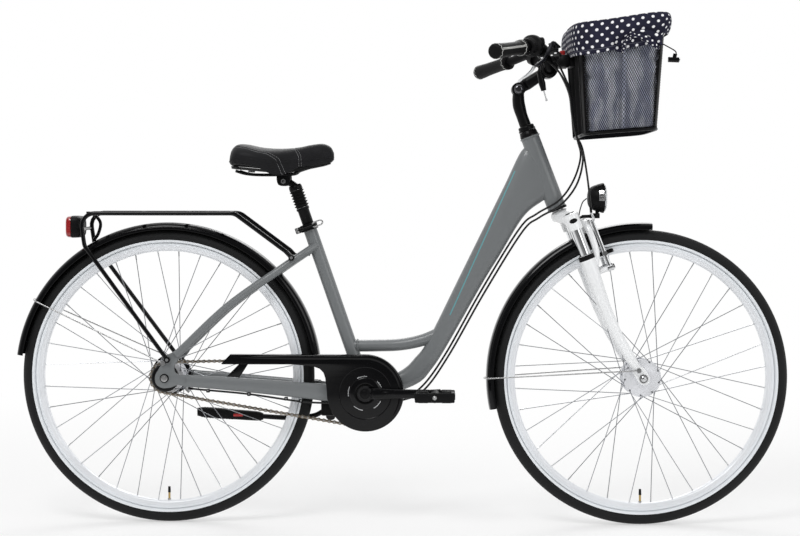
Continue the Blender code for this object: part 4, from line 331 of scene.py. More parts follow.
def second_bump(mat, height, strength, distance):
    """Adds a coarser relief under a finish's fine one."""
    tree = mat.node_tree
    bump = feed(add_node(tree, "Bump"), Strength=strength, Distance=distance, Height=height)
    feed(tree.nodes["Bump"], Normal=bump.outputs[0])


def wave(tree, value, count):
    """Sine of a value turned count times, from 0 to 1."""
    turned = math_node(tree, "SINE", times(tree, value, 2 * pi * count))
    return plus(tree, times(tree, turned, 0.5), 0.5)


FRAME_PAINT = finish("frame_paint", (0.158, 0.168, 0.173), 0.42, coat=0.35, scale=40, shade=0.06, relief=0.03)
FORK_PAINT = finish("fork_paint", (0.86, 0.87, 0.88), 0.25, coat=0.7, shade=0.03, relief=0.02)
GLOSS_BLACK = finish("gloss_black", (0.0022, 0.0022, 0.0028), 0.16, coat=0.14, specular=0.2, shade=0.2,
    relief=0.003)
SATIN_BLACK = finish("satin_black", (0.0045, 0.0045, 0.005), 0.34, specular=0.15, shade=0.25, relief=0.05)
MOULDED_BLACK = finish("moulded_black", (0.006, 0.006, 0.0065), 0.48, specular=0.15, shade=0.3, relief=0.14)
SOFT_RUBBER = finish("soft_rubber", (0.006, 0.006, 0.0062), 0.55, specular=0.14, shade=0.3, relief=0.2)
CHROME_PLATE = finish("chrome_plate", (0.78, 0.79, 0.8), 0.08, metal=1.0, shade=0.05, spread=0.05,
    relief=0.01)
POLISHED_ALLOY = brushed("polished_alloy", (0.72, 0.73, 0.74), 0.24, (70.0, 900.0, 70.0))
# Dark copy of the polished alloy for the near brake lever: painted shade, not a finish of its own.
SHADED_ALLOY = brushed("alloy_painted_shade", (0.045, 0.045, 0.05), 0.3, (70.0, 900.0, 70.0))
DARK_CHROME = finish("dark_chrome", (0.16, 0.16, 0.17), 0.12, metal=1.0, shade=0.05, spread=0.05, relief=0.01)
TURNED_ALLOY = brushed("turned_alloy", (0.74, 0.75, 0.76), 0.3, (90.0, 1400.0, 90.0))
HUB_SILVER = finish("hub_silver", (0.78, 0.79, 0.82), 0.42, metal=0.25, shade=0.1)
ZINC_STEEL = brushed("zinc_steel", (0.5, 0.5, 0.5), 0.34, (700.0, 700.0, 60.0))
SPOKE_STEEL = finish("spoke_steel", (0.4, 0.41, 0.43), 0.28, metal=1.0, shade=0.1)
BRONZE_CHAIN = finish("bronze_chain", (0.36, 0.31, 0.25), 0.36, metal=1.0, shade=0.35, scale=240)
RED_PLASTIC = finish("red_plastic", (0.45, 0.012, 0.012), 0.3, coat=0.4, shade=0.15)
BAR_BLACK = finish("bar_black", (0.004, 0.004, 0.0045), 0.42, specular=0.04, shade=0.25, relief=0.03)
MATTE_BLACK = finish("matte_black", (0.007, 0.007, 0.008), 0.8, specular=0.0, shade=0.3, relief=0.2)
# Darker copy of the chain's bronze for the recessed inner links and rollers: painted shade between the outer
# links.
SHADED_CHAIN = finish("chain_painted_shade", (0.24, 0.19, 0.14), 0.4, metal=1.0, shade=0.35, scale=240)
BRASS_STEM = finish("brass_stem", (0.6, 0.42, 0.16), 0.3, metal=1.0, shade=0.15)
print(len(bpy.data.materials), "finishes so far")

# %% [markdown]
# ## Ways to make a piece
# Most solids are already right in shape, but their faces are loose flat triangles. A copy
# of the node is merged and shaded smooth up to a chosen angle, so tubes look round and
# edges stay crisp. The copy then stands for the node and rides on the node's body.

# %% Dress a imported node
BODY_OF = {node: body for body, nodes in frame["record"]["behaviour"]["bodies"].items() for node in nodes}
SLOT_OF = {s["node"]: s["material_slot"] for s in frame["record"]["subparts"]}
dressed = set()


def stand_for(piece, node):
    """The piece takes the node's place; the first piece made for a node hides it."""
    if node not in dressed:
        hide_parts(node)
        dressed.add(node)


def settle(piece, node):
    """The piece stands for the node and rides on its body."""
    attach(piece, BODY_OF[node])
    stand_for(piece, node)
    return piece


def smooth_shade(angle):
    """Shades the active piece smooth where its faces meet at less than an angle."""
    bpy.ops.object.shade_smooth_by_angle(angle=radians(angle))


def merged(distance, outward=True, angle=40.0):
    """Merges the active piece's near points and shades it smooth up to an angle."""
    bpy.ops.object.mode_set(mode="EDIT")
    bpy.ops.mesh.select_all(action="SELECT")
    if distance:
        bpy.ops.mesh.remove_doubles(threshold=distance)
        if outward:
            bpy.ops.mesh.normals_make_consistent(inside=False)
    bpy.ops.object.mode_set(mode="OBJECT")
    smooth_shade(angle)


def modify(piece, kind, **values):
    """Adds a modifier to a piece and applies it."""
    select_only(piece)
    modifier = piece.modifiers.new(kind, kind)
    for key, value in values.items():
        setattr(modifier, key, value)
    bpy.ops.object.modifier_apply(modifier=modifier.name)


def dress(node, mat, angle=38.0, zones=()):
    """Merged, smooth copy of a node; each zone is a test of a face's centre and its finish."""
    piece = bpy.data.objects.new(node + "_skin", frame["nodes"][node].data.copy())
    bpy.context.scene.collection.objects.link(piece)
    select_only(piece)
    merged(0.00002, False, angle)
    piece.data.materials.clear()
    piece.data.materials.append(mat)
    for index, (test, other) in enumerate(zones, 1):
        piece.data.materials.append(other)
        for face in piece.data.polygons:
            if test(face.center):
                face.material_index = index
    return settle(piece, node)

# %% [markdown]
# Round and draped forms start from a grid primitive. Each of its points is moved to where
# a formula of its two grid fractions puts it, and the edges that meet are merged. The
# grid's own UV map stays on it, so tread, weave and stitches can follow the surface.

# %% Grids, rods, blocks and wires
def shaped_grid(name, across, along, place, mats, pick=None, angle=40.0, merge=0.00002):
    """Grid of across x along cells whose points go to place(u, v)."""
    piece = fresh(bpy.ops.mesh.primitive_grid_add, x_subdivisions=across, y_subdivisions=along, size=1.0,
        calc_uvs=True)
    piece.name = name
    for vertex in piece.data.vertices:
        vertex.co = place(vertex.co.x + 0.5, vertex.co.y + 0.5)
    for mat in mats:
        piece.data.materials.append(mat)
    if pick:
        for face in piece.data.polygons:
            face.material_index = pick(face.center)
    merged(merge, angle=angle)
    return piece


def on_loop(profile, v):
    """Point at fraction v of a closed profile of 2D points."""
    t = (v % 1.0) * len(profile)
    i = int(t) % len(profile)
    a, b = profile[i], profile[(i + 1) % len(profile)]
    f = t - int(t)
    return a[0] + (b[0] - a[0]) * f, a[1] + (b[1] - a[1]) * f


def revolved(name, profile, matrix, mats, steps=96, pick=None, angle=40.0):
    """Closed profile of (radius, height) turned about the matrix's Z axis."""
    def place(u, v):
        r, h = on_loop(profile, round(v * len(profile)) / len(profile))
        a = 2 * pi * u
        return matrix @ Vector((r * cos(a), r * sin(a), h))

    return shaped_grid(name, steps, len(profile), place, mats, pick, angle)


def join(pieces, name):
    """Joins pieces into one object and names it."""
    bpy.ops.object.select_all(action="DESELECT")
    for piece in pieces:
        piece.select_set(True)
    bpy.context.view_layer.objects.active = pieces[0]
    if len(pieces) > 1:
        bpy.ops.object.join()
    pieces[0].name = name
    pieces[0].data.name = name
    return pieces[0]


def rod(name, start, end, radius, mat, sides=16, end_radius=None, at=None):
    """Cylinder or cone between two points, given in the frame at."""
    start, end = Vector(start), Vector(end)
    if at is not None:
        start, end = at @ start, at @ end
    piece = fresh(bpy.ops.mesh.primitive_cone_add, vertices=sides, radius1=radius,
        radius2=radius if end_radius is None else end_radius, depth=(end - start).length)
    piece.name = name
    turn = (end - start).to_track_quat("Z", "Y").to_matrix().to_4x4()
    piece.data.transform(shift((start + end) / 2) @ turn)
    piece.data.materials.append(mat)
    smooth_shade(40)
    return piece


def y_rod(name, centre, near, far, radius, mat, sides=16, at=None):
    """Cylinder along Y from near to far, both measured from its centre."""
    centre = Vector(centre)
    return rod(name, centre + Y_AXIS * near, centre + Y_AXIS * far, radius, mat, sides, at=at)


def block(size, centre, mat, bevel=0.0012, at=None, segments=3):
    """Box with rounded edges, given in the frame at."""
    piece = fresh(bpy.ops.mesh.primitive_cube_add, size=1.0)
    piece.data.transform(shift(centre) @ Matrix.Diagonal((*size, 1.0)))
    modify(piece, "BEVEL", width=bevel, segments=segments)
    if at is not None:
        piece.data.transform(at)
    piece.data.materials.append(mat)
    smooth_shade(40)
    return piece


def fresh_curve(name, kind):
    """Curve object with one empty spline."""
    obj = fresh(bpy.ops.curve.primitive_nurbs_path_add)
    obj.name = name
    obj.data.splines.clear()
    return obj, obj.data.splines.new(kind)


def made_mesh(obj, mat):
    """Turns the active curve into a mesh with one finish."""
    bpy.ops.object.convert(target="MESH")
    obj.data.materials.clear()
    obj.data.materials.append(mat)


def wire(name, points, radius, mat, resolution=3, cyclic=False, radii=None, smooth=True, at=None):
    """Round wire along a smooth curve or a polyline, given in the frame at."""
    if at is not None:
        points = [at @ Vector(p) for p in points]
    obj, spline = fresh_curve(name, "BEZIER" if smooth else "POLY")
    targets = spline.bezier_points if smooth else spline.points
    targets.add(len(points) - 1)
    for i, (target, point) in enumerate(zip(targets, points)):
        if smooth:
            target.co = point
            target.handle_left_type = target.handle_right_type = "AUTO"
        else:
            target.co = (*point, 1.0)
        if radii:
            target.radius = radii[i]
    spline.use_cyclic_u = cyclic
    spline.resolution_u = obj.data.resolution_u = 8
    obj.data.bevel_depth = radius
    obj.data.bevel_resolution = resolution
    obj.data.use_fill_caps = not cyclic
    made_mesh(obj, mat)
    smooth_shade(50)
    return obj


def copies(piece, matrices, name):
    """Copies a piece once for each matrix and joins the copies into one mesh."""
    made = []
    for matrix in matrices:
        other = piece.copy()
        other.data = piece.data.copy()
        bpy.context.scene.collection.objects.link(other)
        other.data.transform(matrix)
        made.append(other)
    bpy.data.objects.remove(piece, do_unlink=True)
    return join(made, name)

# %% [markdown]
# ## Where the bike's axes are
# Three frames repeat all through the lesson: the fixed frame of the bike, the steered
# frame that stands turned to the left by a few degrees, and the leaning seat tube.

# %% Frames to build in
Y_AXIS, Z_AXIS = Vector((0.0, 1.0, 0.0)), Vector((0.0, 0.0, 1.0))
CENTRING = Vector((0.0013, 0.0015, 0.0))
HEAD_ANGLE, SEAT_ANGLE, STEER_REST = radians(69.0), radians(70.8), radians(3.3)
WHEEL_RADIUS, FORK_RAKE = 0.349, 0.042
REAR_AXLE = Vector((-0.5555, 0.0, WHEEL_RADIUS))
FRONT_AXLE = Vector((0.5665, 0.0, WHEEL_RADIUS))
BRACKET = Vector((-0.083, 0.0, 0.314))
STEER_UP = Vector((-cos(HEAD_ANGLE), 0.0, sin(HEAD_ANGLE)))
STEER_FORWARD = Vector((sin(HEAD_ANGLE), 0.0, cos(HEAD_ANGLE)))
SEAT_UP = Vector((-cos(SEAT_ANGLE), 0.0, sin(SEAT_ANGLE)))
SEAT_FORWARD = Vector((sin(SEAT_ANGLE), 0.0, cos(SEAT_ANGLE)))
STEER_FOOT = FRONT_AXLE - FORK_RAKE * STEER_FORWARD
BIKE = shift(CENTRING)
TURN = (BIKE @ shift(STEER_FOOT) @ Matrix.Rotation(STEER_REST, 4, STEER_UP) @ shift(-STEER_FOOT))
STEER = TURN @ axes_matrix(STEER_FOOT, STEER_FORWARD, Y_AXIS, STEER_UP)
SEAT = BIKE @ axes_matrix(BRACKET, SEAT_FORWARD, Y_AXIS, SEAT_UP)
CRANKS = BIKE @ shift(BRACKET)
ON_Y = Matrix.Rotation(-pi / 2, 4, "X")
WHEELS = {"rear": BIKE @ shift(REAR_AXLE), "front": TURN @ shift(FRONT_AXLE)}


def power(value, exponent):
    """Signed power, for sections between an oval and a rounded box."""
    return abs(value) ** exponent * (1 if value >= 0 else -1)


def between_rows(rows, t):
    """Values at fraction t of a smooth run through rows of numbers."""
    last = len(rows) - 1
    x = min(max(t, 0.0), 1.0) * last
    i = min(int(x), last - 1)
    f = x - i
    out = []
    for k in range(len(rows[0])):
        b, c = rows[i][k], rows[i + 1][k]
        a = rows[i - 1][k] if i > 0 else 2 * b - c
        d = rows[i + 2][k] if i + 2 <= last else 2 * c - b
        curved = (2 * a - 5 * b + 4 * c - d) * f * f + (3 * b - a - 3 * c + d) * f ** 3
        out.append(0.5 * (2 * b + (c - a) * f + curved))
    return out


def lofted(name, section, around, along, mats, angle=40.0):
    """Closed form whose sections are section(t, a); each end is drawn to its middle."""
    def place(u, v):
        row = round(v * (along + 2))
        t = min(max(row - 1, 0), along) / along
        if row in (0, along + 2):
            return (section(t, 0.0) + section(t, pi)) / 2
        return section(t, 2 * pi * (round(u * around) % around) / around)

    return shaped_grid(name, around, along + 2, place, mats, angle=angle)


def curve_points(points, per_span=8):
    """Points of a smooth run through the given ones."""
    spans = (len(points) - 1) * per_span
    return [Vector(between_rows([tuple(p) for p in points], k / spans)) for k in range(spans + 1)]


print("frames set for", len(WHEELS), "wheels")

# %% [markdown]
# ## Tyres
# A city tyre is a round rubber ring with shallow chevron blocks on its tread and, here, a
# pale reflective band low on each side. The ring is a turned section; tread grooves are
# relief that follows the ring's own UV map, since they are under a millimetre deep.

# %% Tyre rubber with a grooved tread
TREAD = finish("tread_rubber", (0.011, 0.0113, 0.012), 0.62, specular=0.22, shade=0.25, relief=0.1)


tree = TREAD.node_tree
u, v, _ = place_parts(tree, "UV")
off_middle = math_node(tree, "ABSOLUTE", minus(tree, v, 0.5))
slanted = plus(tree, u, times(tree, off_middle, 0.045))
blocks = ramp(tree, wave(tree, slanted, 150), 0.25, 0.45)
ribs = ramp(tree, wave(tree, off_middle, 16), 0.12, 0.3)
tread_zone = ramp(tree, off_middle, 0.17, 0.19, 1.0, 0.0)
raised = times(tree, math_node(tree, "MINIMUM", blocks, ribs), tread_zone)
second_bump(TREAD, raised, 0.9, 0.0012)

# %% [markdown]
# The pale band is a reflective strip moulded into the side. Fine rings around it give it
# a satin look, and the same finish covers the outer wall of the rim under it.

# %% Pale side band and rim
BAND = finish("pale_band", (0.8, 0.83, 0.86), 0.42, coat=0.2, shade=0.08, spread=0.15)
RIM_METAL = finish("rim_metal", (0.86, 0.88, 0.91), 0.34, metal=0.2, shade=0.1, spread=0.15)
for mat, count in ((BAND, 30), (RIM_METAL, 60)):
    around = place_parts(mat.node_tree, "UV")[1]
    second_bump(mat, wave(mat.node_tree, around, count), 0.15, 0.0003)


def flipped(half):
    """The other half of a profile that is the same on both sides."""
    return [(r, -h) for r, h in reversed(half)]


TYRE_HALF, TYRE_MIDDLE = 0.02, 0.329
tyre_profile = mm((317.5, -8), (317, -10.8), (319, -15))
for k in range(33):
    a = radians(-118 + 236 * k / 32)
    tyre_profile.append((TYRE_MIDDLE + TYRE_HALF * cos(a), TYRE_HALF * sin(a)))
tyre_profile += mm((319, 15), (317, 10.8), (317.5, 8), (324, 0), (320, -4))
rim_half = mm((316.4, 10.6), (316.6, 11.8), (315.8, 12.4), (314.6, 12), (311, 11.8), (310.6, 11.2),
    (309.8, 11.2), (309.4, 11.8), (304, 12), (302, 11.4), (299, 8), (298, 5))
rim_profile = rim_half + [(0.2978, 0.0)] + flipped(rim_half) + mm((311, -8.5), (310, 0), (311, 8.5))
for end, wheel in WHEELS.items():
    middle = wheel.translation
    tyre = revolved(end + "_tyre_round", tyre_profile, wheel @ ON_Y, [TREAD, BAND],
        160, lambda c: 1 if (c - middle).length < 0.3262 else 0)
    settle(tyre, end + "_tyre")
    rim = revolved(end + "_rim_round", rim_profile, wheel @ ON_Y, [RIM_METAL, BAND],
        160, lambda c: 1 if (c - middle).length > 0.3108 else 0)
    settle(rim, end + "_rim")
    stem = rod("valve", (0, 0, -0.2975), (0, 0, -0.279), 0.0026, BRASS_STEM, 12)
    nut = rod("valve_nut", (0, 0, -0.297), (0, 0, -0.2945), 0.0042, ZINC_STEEL, 6)
    cap = rod("valve_cap", (0, 0, -0.28), (0, 0, -0.266), 0.0034, MOULDED_BLACK, 14, 0.0029)
    valve = join([stem, nut, cap], end + "_valve")
    valve.data.transform(wheel)
    settle(valve, end + "_rim")
print("tyres and rims of", len(WHEELS), "wheels")

# %% [markdown]
# ## Spokes and hubs
# Each wheel is laced with thirty-six spokes in a three-cross pattern. Spokes lean forwards
# and backwards in turn, leave the flange on its inner and outer face, and end in a nipple
# at the rim. Four kinds of spoke, each turned nine times, give the whole lacing.

# %% Spokes
SPOKES_PER_SIDE, CROSSINGS, FLANGE_Y = 18, 3, 0.028
STEP = 2 * pi / SPOKES_PER_SIDE


def lacing(flange_radius):
    """All spokes and nipples of one wheel, about the Y axis."""
    kinds = []
    for side in (-1, 1):
        for j in (0, 1):
            lead = 1 if j % 2 else -1
            hub_angle = STEP * j + (STEP / 2 if side > 0 else 0) + STEP / 4
            rim_angle = hub_angle + lead * CROSSINGS * STEP
            y_hub = side * (FLANGE_Y + lead * 0.0026)
            out, far = (Vector((cos(a), 0, sin(a))) for a in (hub_angle, rim_angle))
            a = out * (flange_radius - 0.004) + Y_AXIS * y_hub
            b = far * 0.299 + Y_AXIS * side * 0.004
            along = (b - a).normalized()
            head = y_rod("head", a, -0.0012, 0.0012, 0.0021, SPOKE_STEEL, 8)
            bar = rod("bar", a, b, 0.001, SPOKE_STEEL, 6)
            nipple = rod("nipple", b - along * 0.0125, b + along * 0.001, 0.0017, TURNED_ALLOY, 6)
            kinds.append(join([bar, head, nipple], "spoke"))
    turns = [Matrix.Rotation(-STEP * 2 * k, 4, "Y") for k in range(SPOKES_PER_SIDE // 2)]
    return join([copies(kind, turns, "spokes") for kind in kinds], "spokes")


def hub_profile(flange, shell, half):
    """Outline of a hub shell with rounded flanges and stepped ends."""
    right = [(0.0058, half), (0.014, half), (0.015, half - 0.001), (0.0152, half - 0.005),
        (0.0172, half - 0.007), (0.02, FLANGE_Y + 0.0075), (shell * 0.72, FLANGE_Y + 0.0052),
        (flange - 0.008, FLANGE_Y + 0.0026), (flange - 0.001, FLANGE_Y + 0.0024), (flange, FLANGE_Y + 0.0012),
        (flange, FLANGE_Y - 0.0012), (flange - 0.001, FLANGE_Y - 0.0024), (flange - 0.005, FLANGE_Y - 0.003),
        (shell + 0.0008, FLANGE_Y - 0.005), (shell, FLANGE_Y - 0.008), (shell, 0.006),
        (shell - 0.0005, 0.004), (shell - 0.0005, 0.0)]
    return right + flipped(right[:-1])


for end, flange, shell, half in (("front", 0.045, 0.04, 0.046), ("rear", 0.04, 0.033, 0.0505)):
    wheel = WHEELS[end]
    web = lacing(flange)
    web.name = web.data.name = end + "_spokes"
    web.data.transform(wheel)
    spool = revolved(end + "_hub_round", hub_profile(flange, shell, half), wheel @ ON_Y, [HUB_SILVER], 72)
    settle(spool, end + "_hub")
    settle(web, end + "_hub")
nuts = [rod("axle", (0, -0.063, 0), (0, 0.063, 0), 0.0047, ZINC_STEEL, 24)]
for side in (-1, 1):
    for name, near, far, r, mat, sides, r_far in (("washer", 0.0555, 0.0572, 0.0103, ZINC_STEEL, 32, None),
            ("nut", 0.0572, 0.0612, 0.0084, CHROME_PLATE, 6, None), ("dome", 0.0612, 0.0638, 0.0066,
            CHROME_PLATE, 24, 0.003)):
        nuts.append(rod(name, (0, side * near, 0), (0, side * far, 0), r, mat, sides, r_far))
axle = join(nuts, "front_axle_nuts")
axle.data.transform(WHEELS["front"])
settle(axle, "front_axle")
print("hubs and", 4 * SPOKES_PER_SIDE, "spokes")

# %% [markdown]
# ## Mudguards
# Both mudguards are thin gloss black arches with edges rolled in. One closed section runs
# round the wheel; at either end its two skins meet, which closes the edge.

# %% Mudguards
GUARD_SECTION = [(0.0, 1.0), (0.22, 0.992), (0.42, 0.955), (0.62, 0.9), (0.8, 0.76), (0.92, 0.56),
    (0.985, 0.26), (1.0, 0.06), (0.985, 0.0)]


MUDGUARD_HALF, MUDGUARD_RISE, SHEET = 0.0265, 0.017, 0.0014


def mudguard(name, start, end, wheel, cells):
    """Arched blade between two angles about its wheel, in degrees."""
    outer = [(-u, v) for u, v in reversed(GUARD_SECTION[1:])] + GUARD_SECTION
    skins, inner = ([(u * (MUDGUARD_HALF - thin),
        WHEEL_RADIUS + v * (MUDGUARD_RISE - thin)) for u, v in outer] for thin in (0.0, SHEET))
    count = len(skins)
    loop = skins + inner[::-1]

    def place(u, v):
        row = round(v * (cells + 2))
        t = min(max(row - 1, 0), cells) / cells
        k = round(u * len(loop)) % len(loop)
        y, r = loop[k]
        if row in (0, cells + 2):
            other = loop[2 * count - 1 - k]
            y, r = (y + other[0]) / 2, (r + other[1]) / 2
        a = radians(start + (end - start) * t)
        return wheel @ Vector((r * cos(a), y, r * sin(a)))

    return shaped_grid(name, len(loop), cells + 2, place, [GLOSS_BLACK], angle=50)


settle(mudguard("rear_mudguard", 4, 172, WHEELS["rear"], 120), "rear_fender")
settle(mudguard("front_mudguard", 86, 192, WHEELS["front"], 90), "front_fender")
for node, near, far, near_y, matrix in (("rear_fender_stay", (-0.559, 0, 0.385), (-0.871, 0, 0.5287), 0.0708,
        BIKE), ("front_fender_stay", (0.554, 0, 0.369), (0.2032, 0, 0.3478), 0.0673, TURN)):
    near, far = Vector(near), Vector(far)
    back = (far - near).normalized() * 0.004
    half = [near + Y_AXIS * near_y, near.lerp(far, 0.5) + Y_AXIS * (near_y + 0.0288) / 2,
        far - back * 4 + Y_AXIS * 0.03, far - back + Y_AXIS * 0.0278, far + back * 0.8 + Y_AXIS * 0.02]
    flip = Matrix.Diagonal((1, -1, 1, 1))
    run = [flip @ p for p in half] + half[::-1]
    stay = wire(node + "_wire", run, 0.0017, ZINC_STEEL, 3, at=matrix)
    eyes = []
    for side in (-1, 1):
        p = matrix @ (near + Y_AXIS * side * near_y)
        eyes.append(y_rod("eye", p, -0.0016, 0.0016, 0.0058, ZINC_STEEL, 24))
        eyes.append(y_rod("bolt", p, side * 0.0014, side * 0.004, 0.0036, CHROME_PLATE, 6))
    settle(join([stay] + eyes, node + "_wire"), node)
print("mudguards and their stays")

# %% [markdown]
# ## Frame
# The real frame is welded from drawn tubes: a deep down tube that sweeps forward of the
# bottom bracket, a short curved upper tube, oval chainstays and round seatstays. Each
# tube is drawn through the same stations as the solid, with many more points, and a bead
# of weld runs round each joint. A teal pinstripe lies on the side of the down tube.

# %% Frame paint with its pinstripe
STRIPED = FRAME_PAINT.copy()
STRIPED.name = "striped_paint"
tree = STRIPED.node_tree
x, _, z = place_parts(tree)
STRIPE_START, STRIPE_END, STRIPE_WIDTH = (0.2695, 0.8364), (0.117, 0.4966), 0.0011
slope = (STRIPE_END[0] - STRIPE_START[0]) / (STRIPE_END[1] - STRIPE_START[1])
line_x = plus(tree, times(tree, z, slope), STRIPE_START[0] - slope * STRIPE_START[1])
off_line = math_node(tree, "ABSOLUTE", minus(tree, x, line_x))
on_line = ramp(tree, off_line, STRIPE_WIDTH, STRIPE_WIDTH * 1.4, 1.0, 0.0)
inside = math_node(tree, "MINIMUM", math_node(tree, "GREATER_THAN", z, STRIPE_END[1]),
    math_node(tree, "LESS_THAN", z, STRIPE_START[1]))
repaint(STRIPED, times(tree, on_line, inside), (0.1, 0.33, 0.36))
print("pinstripe", STRIPE_START, STRIPE_END)

# %% [markdown]
# The down tube is the frame's largest form. Its upper and lower edge are given station by
# station, and the rounded section between them narrows towards the bottom bracket.

# %% Tubes of the frame
DOWN_TUBE = mm((311, 894, 353, 774, 20), (284.2, 884.5, 331.5, 764, 21.5), (242.7, 800, 288.4, 727.5, 22.2),
    (180, 672.3, 233, 637, 21.8), (140.7, 592.3, 190.8, 567.7, 21.5), (64, 437, 104, 414.7, 20.8),
    (30, 390.5, 70.6, 364.3, 20.5), (8.5, 369, 46, 337, 20.4), (-18, 354, 6.4, 317.5, 20.2),
    (-48, 343, -40, 302, 20), (-80, 334, -78, 294.5, 19))
CHAINSTAY = mm((-83, 20, 311, 8, 18), (-170, 30.5, 312.6, 7.6, 20.3), (-210, 34.5, 316.5, 7.5, 19.5),
    (-300, 44, 325.5, 7.5, 17.5), (-420, 55, 336.5, 7.2, 15.5), (-505, 64, 343, 6.5, 14))
SEATSTAY = mm((-201, 9, 661), (-235, 27, 638), (-285, 40, 604), (-408.1, 53, 516.9), (-528.5, 66, 403))
DROPOUT = mm((62, 6), (60, -20), (32, -16), (14, -22), (-6, -23), (-20, -13), (-22, 6), (-10, 28), (-1, 50),
    (12, 58), (34, 66), (42, 56), (26, 34), (24, 18), (34, 9))


def down_section(t, a):
    ux, uz, lx, lz, half = between_rows(DOWN_TUBE, t)
    upper, lower = Vector((ux, 0, uz)), Vector((lx, 0, lz))
    e = 2.0 / 2.4
    up = (upper - lower) / 2
    return BIKE @ ((upper + lower) / 2 + Y_AXIS * half * power(cos(a), e) + up * power(sin(a), e))


def chainstay_section(side):
    def section(t, a):
        x, y, z, half, deep = between_rows(CHAINSTAY, t)
        ahead, behind = between_rows(CHAINSTAY, t + 0.02), between_rows(CHAINSTAY, t - 0.02)
        along = Vector((ahead[0] - behind[0], side * (ahead[1] - behind[1]), ahead[2] - behind[2]))
        across = along.cross(Z_AXIS).normalized()
        up = across.cross(along.normalized())
        middle = Vector((x, side * y, z))
        return BIKE @ (middle + across * half * power(cos(a), 0.9) + up * deep * power(sin(a), 0.9))
    return section


def plate(name, outline, thickness, matrix, mat, bevel=0.0006):
    """Flat outline of (x, z) points given a thickness along Y and softened edges."""
    obj, spline = fresh_curve(name, "POLY")
    curve = obj.data
    curve.dimensions = "2D"
    curve.fill_mode = "BOTH"
    curve.extrude = thickness / 2 - bevel
    curve.bevel_depth = bevel
    curve.bevel_resolution = 1
    curve.offset = -bevel
    spline.points.add(len(outline) - 1)
    for point, (a, b) in zip(spline.points, outline):
        point.co = (a, b, 0.0, 1.0)
    spline.use_cyclic_u = True
    made_mesh(obj, mat)
    obj.data.transform(matrix @ Matrix.Rotation(pi / 2, 4, "X"))
    merged(0.00001)
    return obj


def smooth_outline(points, per_span=6):
    """Closed smooth run through 2D points."""
    count = len(points)
    out = []
    for i in range(count):
        rows = [points[(i + k) % count] for k in (-1, 0, 1, 2)]
        for k in range(per_span):
            out.append(tuple(between_rows(rows, (1 + k / per_span) / 3)))
    return out


def bead(centre, normal, radius, long_radius=None, long_dir=None):
    """Weld bead: a ring or oval whose thickness ripples."""
    normal = Vector(normal).normalized()
    x_dir = Vector(long_dir).normalized() if long_dir else normal.orthogonal().normalized()
    y_dir = normal.cross(x_dir)
    points, radii = [], []
    for k in range(72):
        a = 2 * pi * k / 72
        points.append(Vector(centre) + x_dir * (long_radius or radius) * cos(a) + y_dir * radius * sin(a))
        radii.append(1.0 + 0.16 * (k % 2) + 0.08 * sin(5 * a))
    return wire("weld", points, 0.0021, FRAME_PAINT, 1, True, radii)


TOP_TUBE = mm((-125, 0, 421.5), (-60, 0, 422.2), (0, 0, 425), (55, 0, 437), (106, 0, 460))
tubes = [lofted("down_tube", down_section, 48, 90, [STRIPED])]
tubes.append(wire("top_tube", curve_points([BIKE @ Vector(p) for p in TOP_TUBE], 4), 0.0142, FRAME_PAINT, 6))
tubes.append(rod("seat_tube", (0, 0, 0), (0, 0, 0.4195), 0.016, FRAME_PAINT, 48, at=SEAT))
for name, start, end, r, mat, sides in (("head_tube", STEER_FOOT + STEER_UP * 0.446,
        STEER_FOOT + STEER_UP * 0.626, 0.022, FRAME_PAINT, 56), ("bracket_shell", BRACKET - Y_AXIS * 0.0338,
        BRACKET + Y_AXIS * 0.0338, 0.0207, FRAME_PAINT, 56), ("bridge", (-0.27, -0.034, 0.6136),
        (-0.27, 0.034, 0.6136), 0.006, FRAME_PAINT, 24), ("mudguard_bolt", (-0.27, 0, 0.6136),
        (-0.2868, 0, 0.598), 0.0045, ZINC_STEEL, 24)):
    tubes.append(rod(name, start, end, r, mat, sides, at=BIKE))
for side in (-1, 1):
    tubes.append(lofted("chainstay", chainstay_section(side), 32, 40, [FRAME_PAINT]))
    tubes.append(wire("seatstay", curve_points([BIKE @ Vector((x, side * y, z)) for x, y, z in SEATSTAY], 5),
        0.0095, FRAME_PAINT, 5))
    at = BIKE @ shift(REAR_AXLE + Y_AXIS * side * 0.066)
    tubes.append(plate("dropout", smooth_outline(DROPOUT), 0.005, at, FRAME_PAINT, 0.0008))
settle(join(tubes, "frame_tubes"), "frame")

beads = [bead(BIKE @ (STEER_FOOT + STEER_UP * 0.6235), STEER_UP, 0.0218),
    bead(SEAT @ Vector((0, 0, 0.021)), SEAT_UP, 0.016)]
for centre, normal, radius, *long in (((-0.219, 0.0, 0.648), (-0.75, 0, -0.5), 0.015, 0.011, (0, 0, 1)),
        ((-0.104, 0, 0.4218), (1, 0, 0.02), 0.0147), ((0.089, 0, 0.452), (0.92, 0, 0.4), 0.015),
        ((-0.064, 0, 0.318), (1, 0, 0.15), 0.0195, 0.02, (0, 0, 1))):
    beads.append(bead(BIKE @ Vector(centre), normal, radius, *long))
settle(join(beads, "frame_welds"), "frame")
HEAD = BIKE @ axes_matrix(STEER_FOOT, STEER_FORWARD, Y_AXIS, STEER_UP)
cups = []
for low, high, r_low, r_high in mm((440.2, 446, 23.6, 23.6), (626, 630, 22.2, 22.2), (630, 639.8, 21.7, 20)):
    cups.append(revolved("cup", [(0.015, low), (r_low - 0.0008, low), (r_low, low + 0.0008),
        (r_high, high - 0.0008), (r_high - 0.0008, high), (0.015, high)], HEAD, [SATIN_BLACK], 56))
settle(join(cups, "headset_cups"), "frame")
mount = block((0.04, 0.056, 0.04), (-0.17, 0.008, 0.276), SATIN_BLACK, 0.004, BIKE)
KICK_PIVOT = Vector((-0.17, 0.044, 0.262))
KICK_AXIS = Vector((-0.998, 0.05, -0.02)).cross(Vector((0.15, 0.62, -0.77))).normalized()
kick_out = -KICK_AXIS if KICK_AXIS.y < 0 else KICK_AXIS
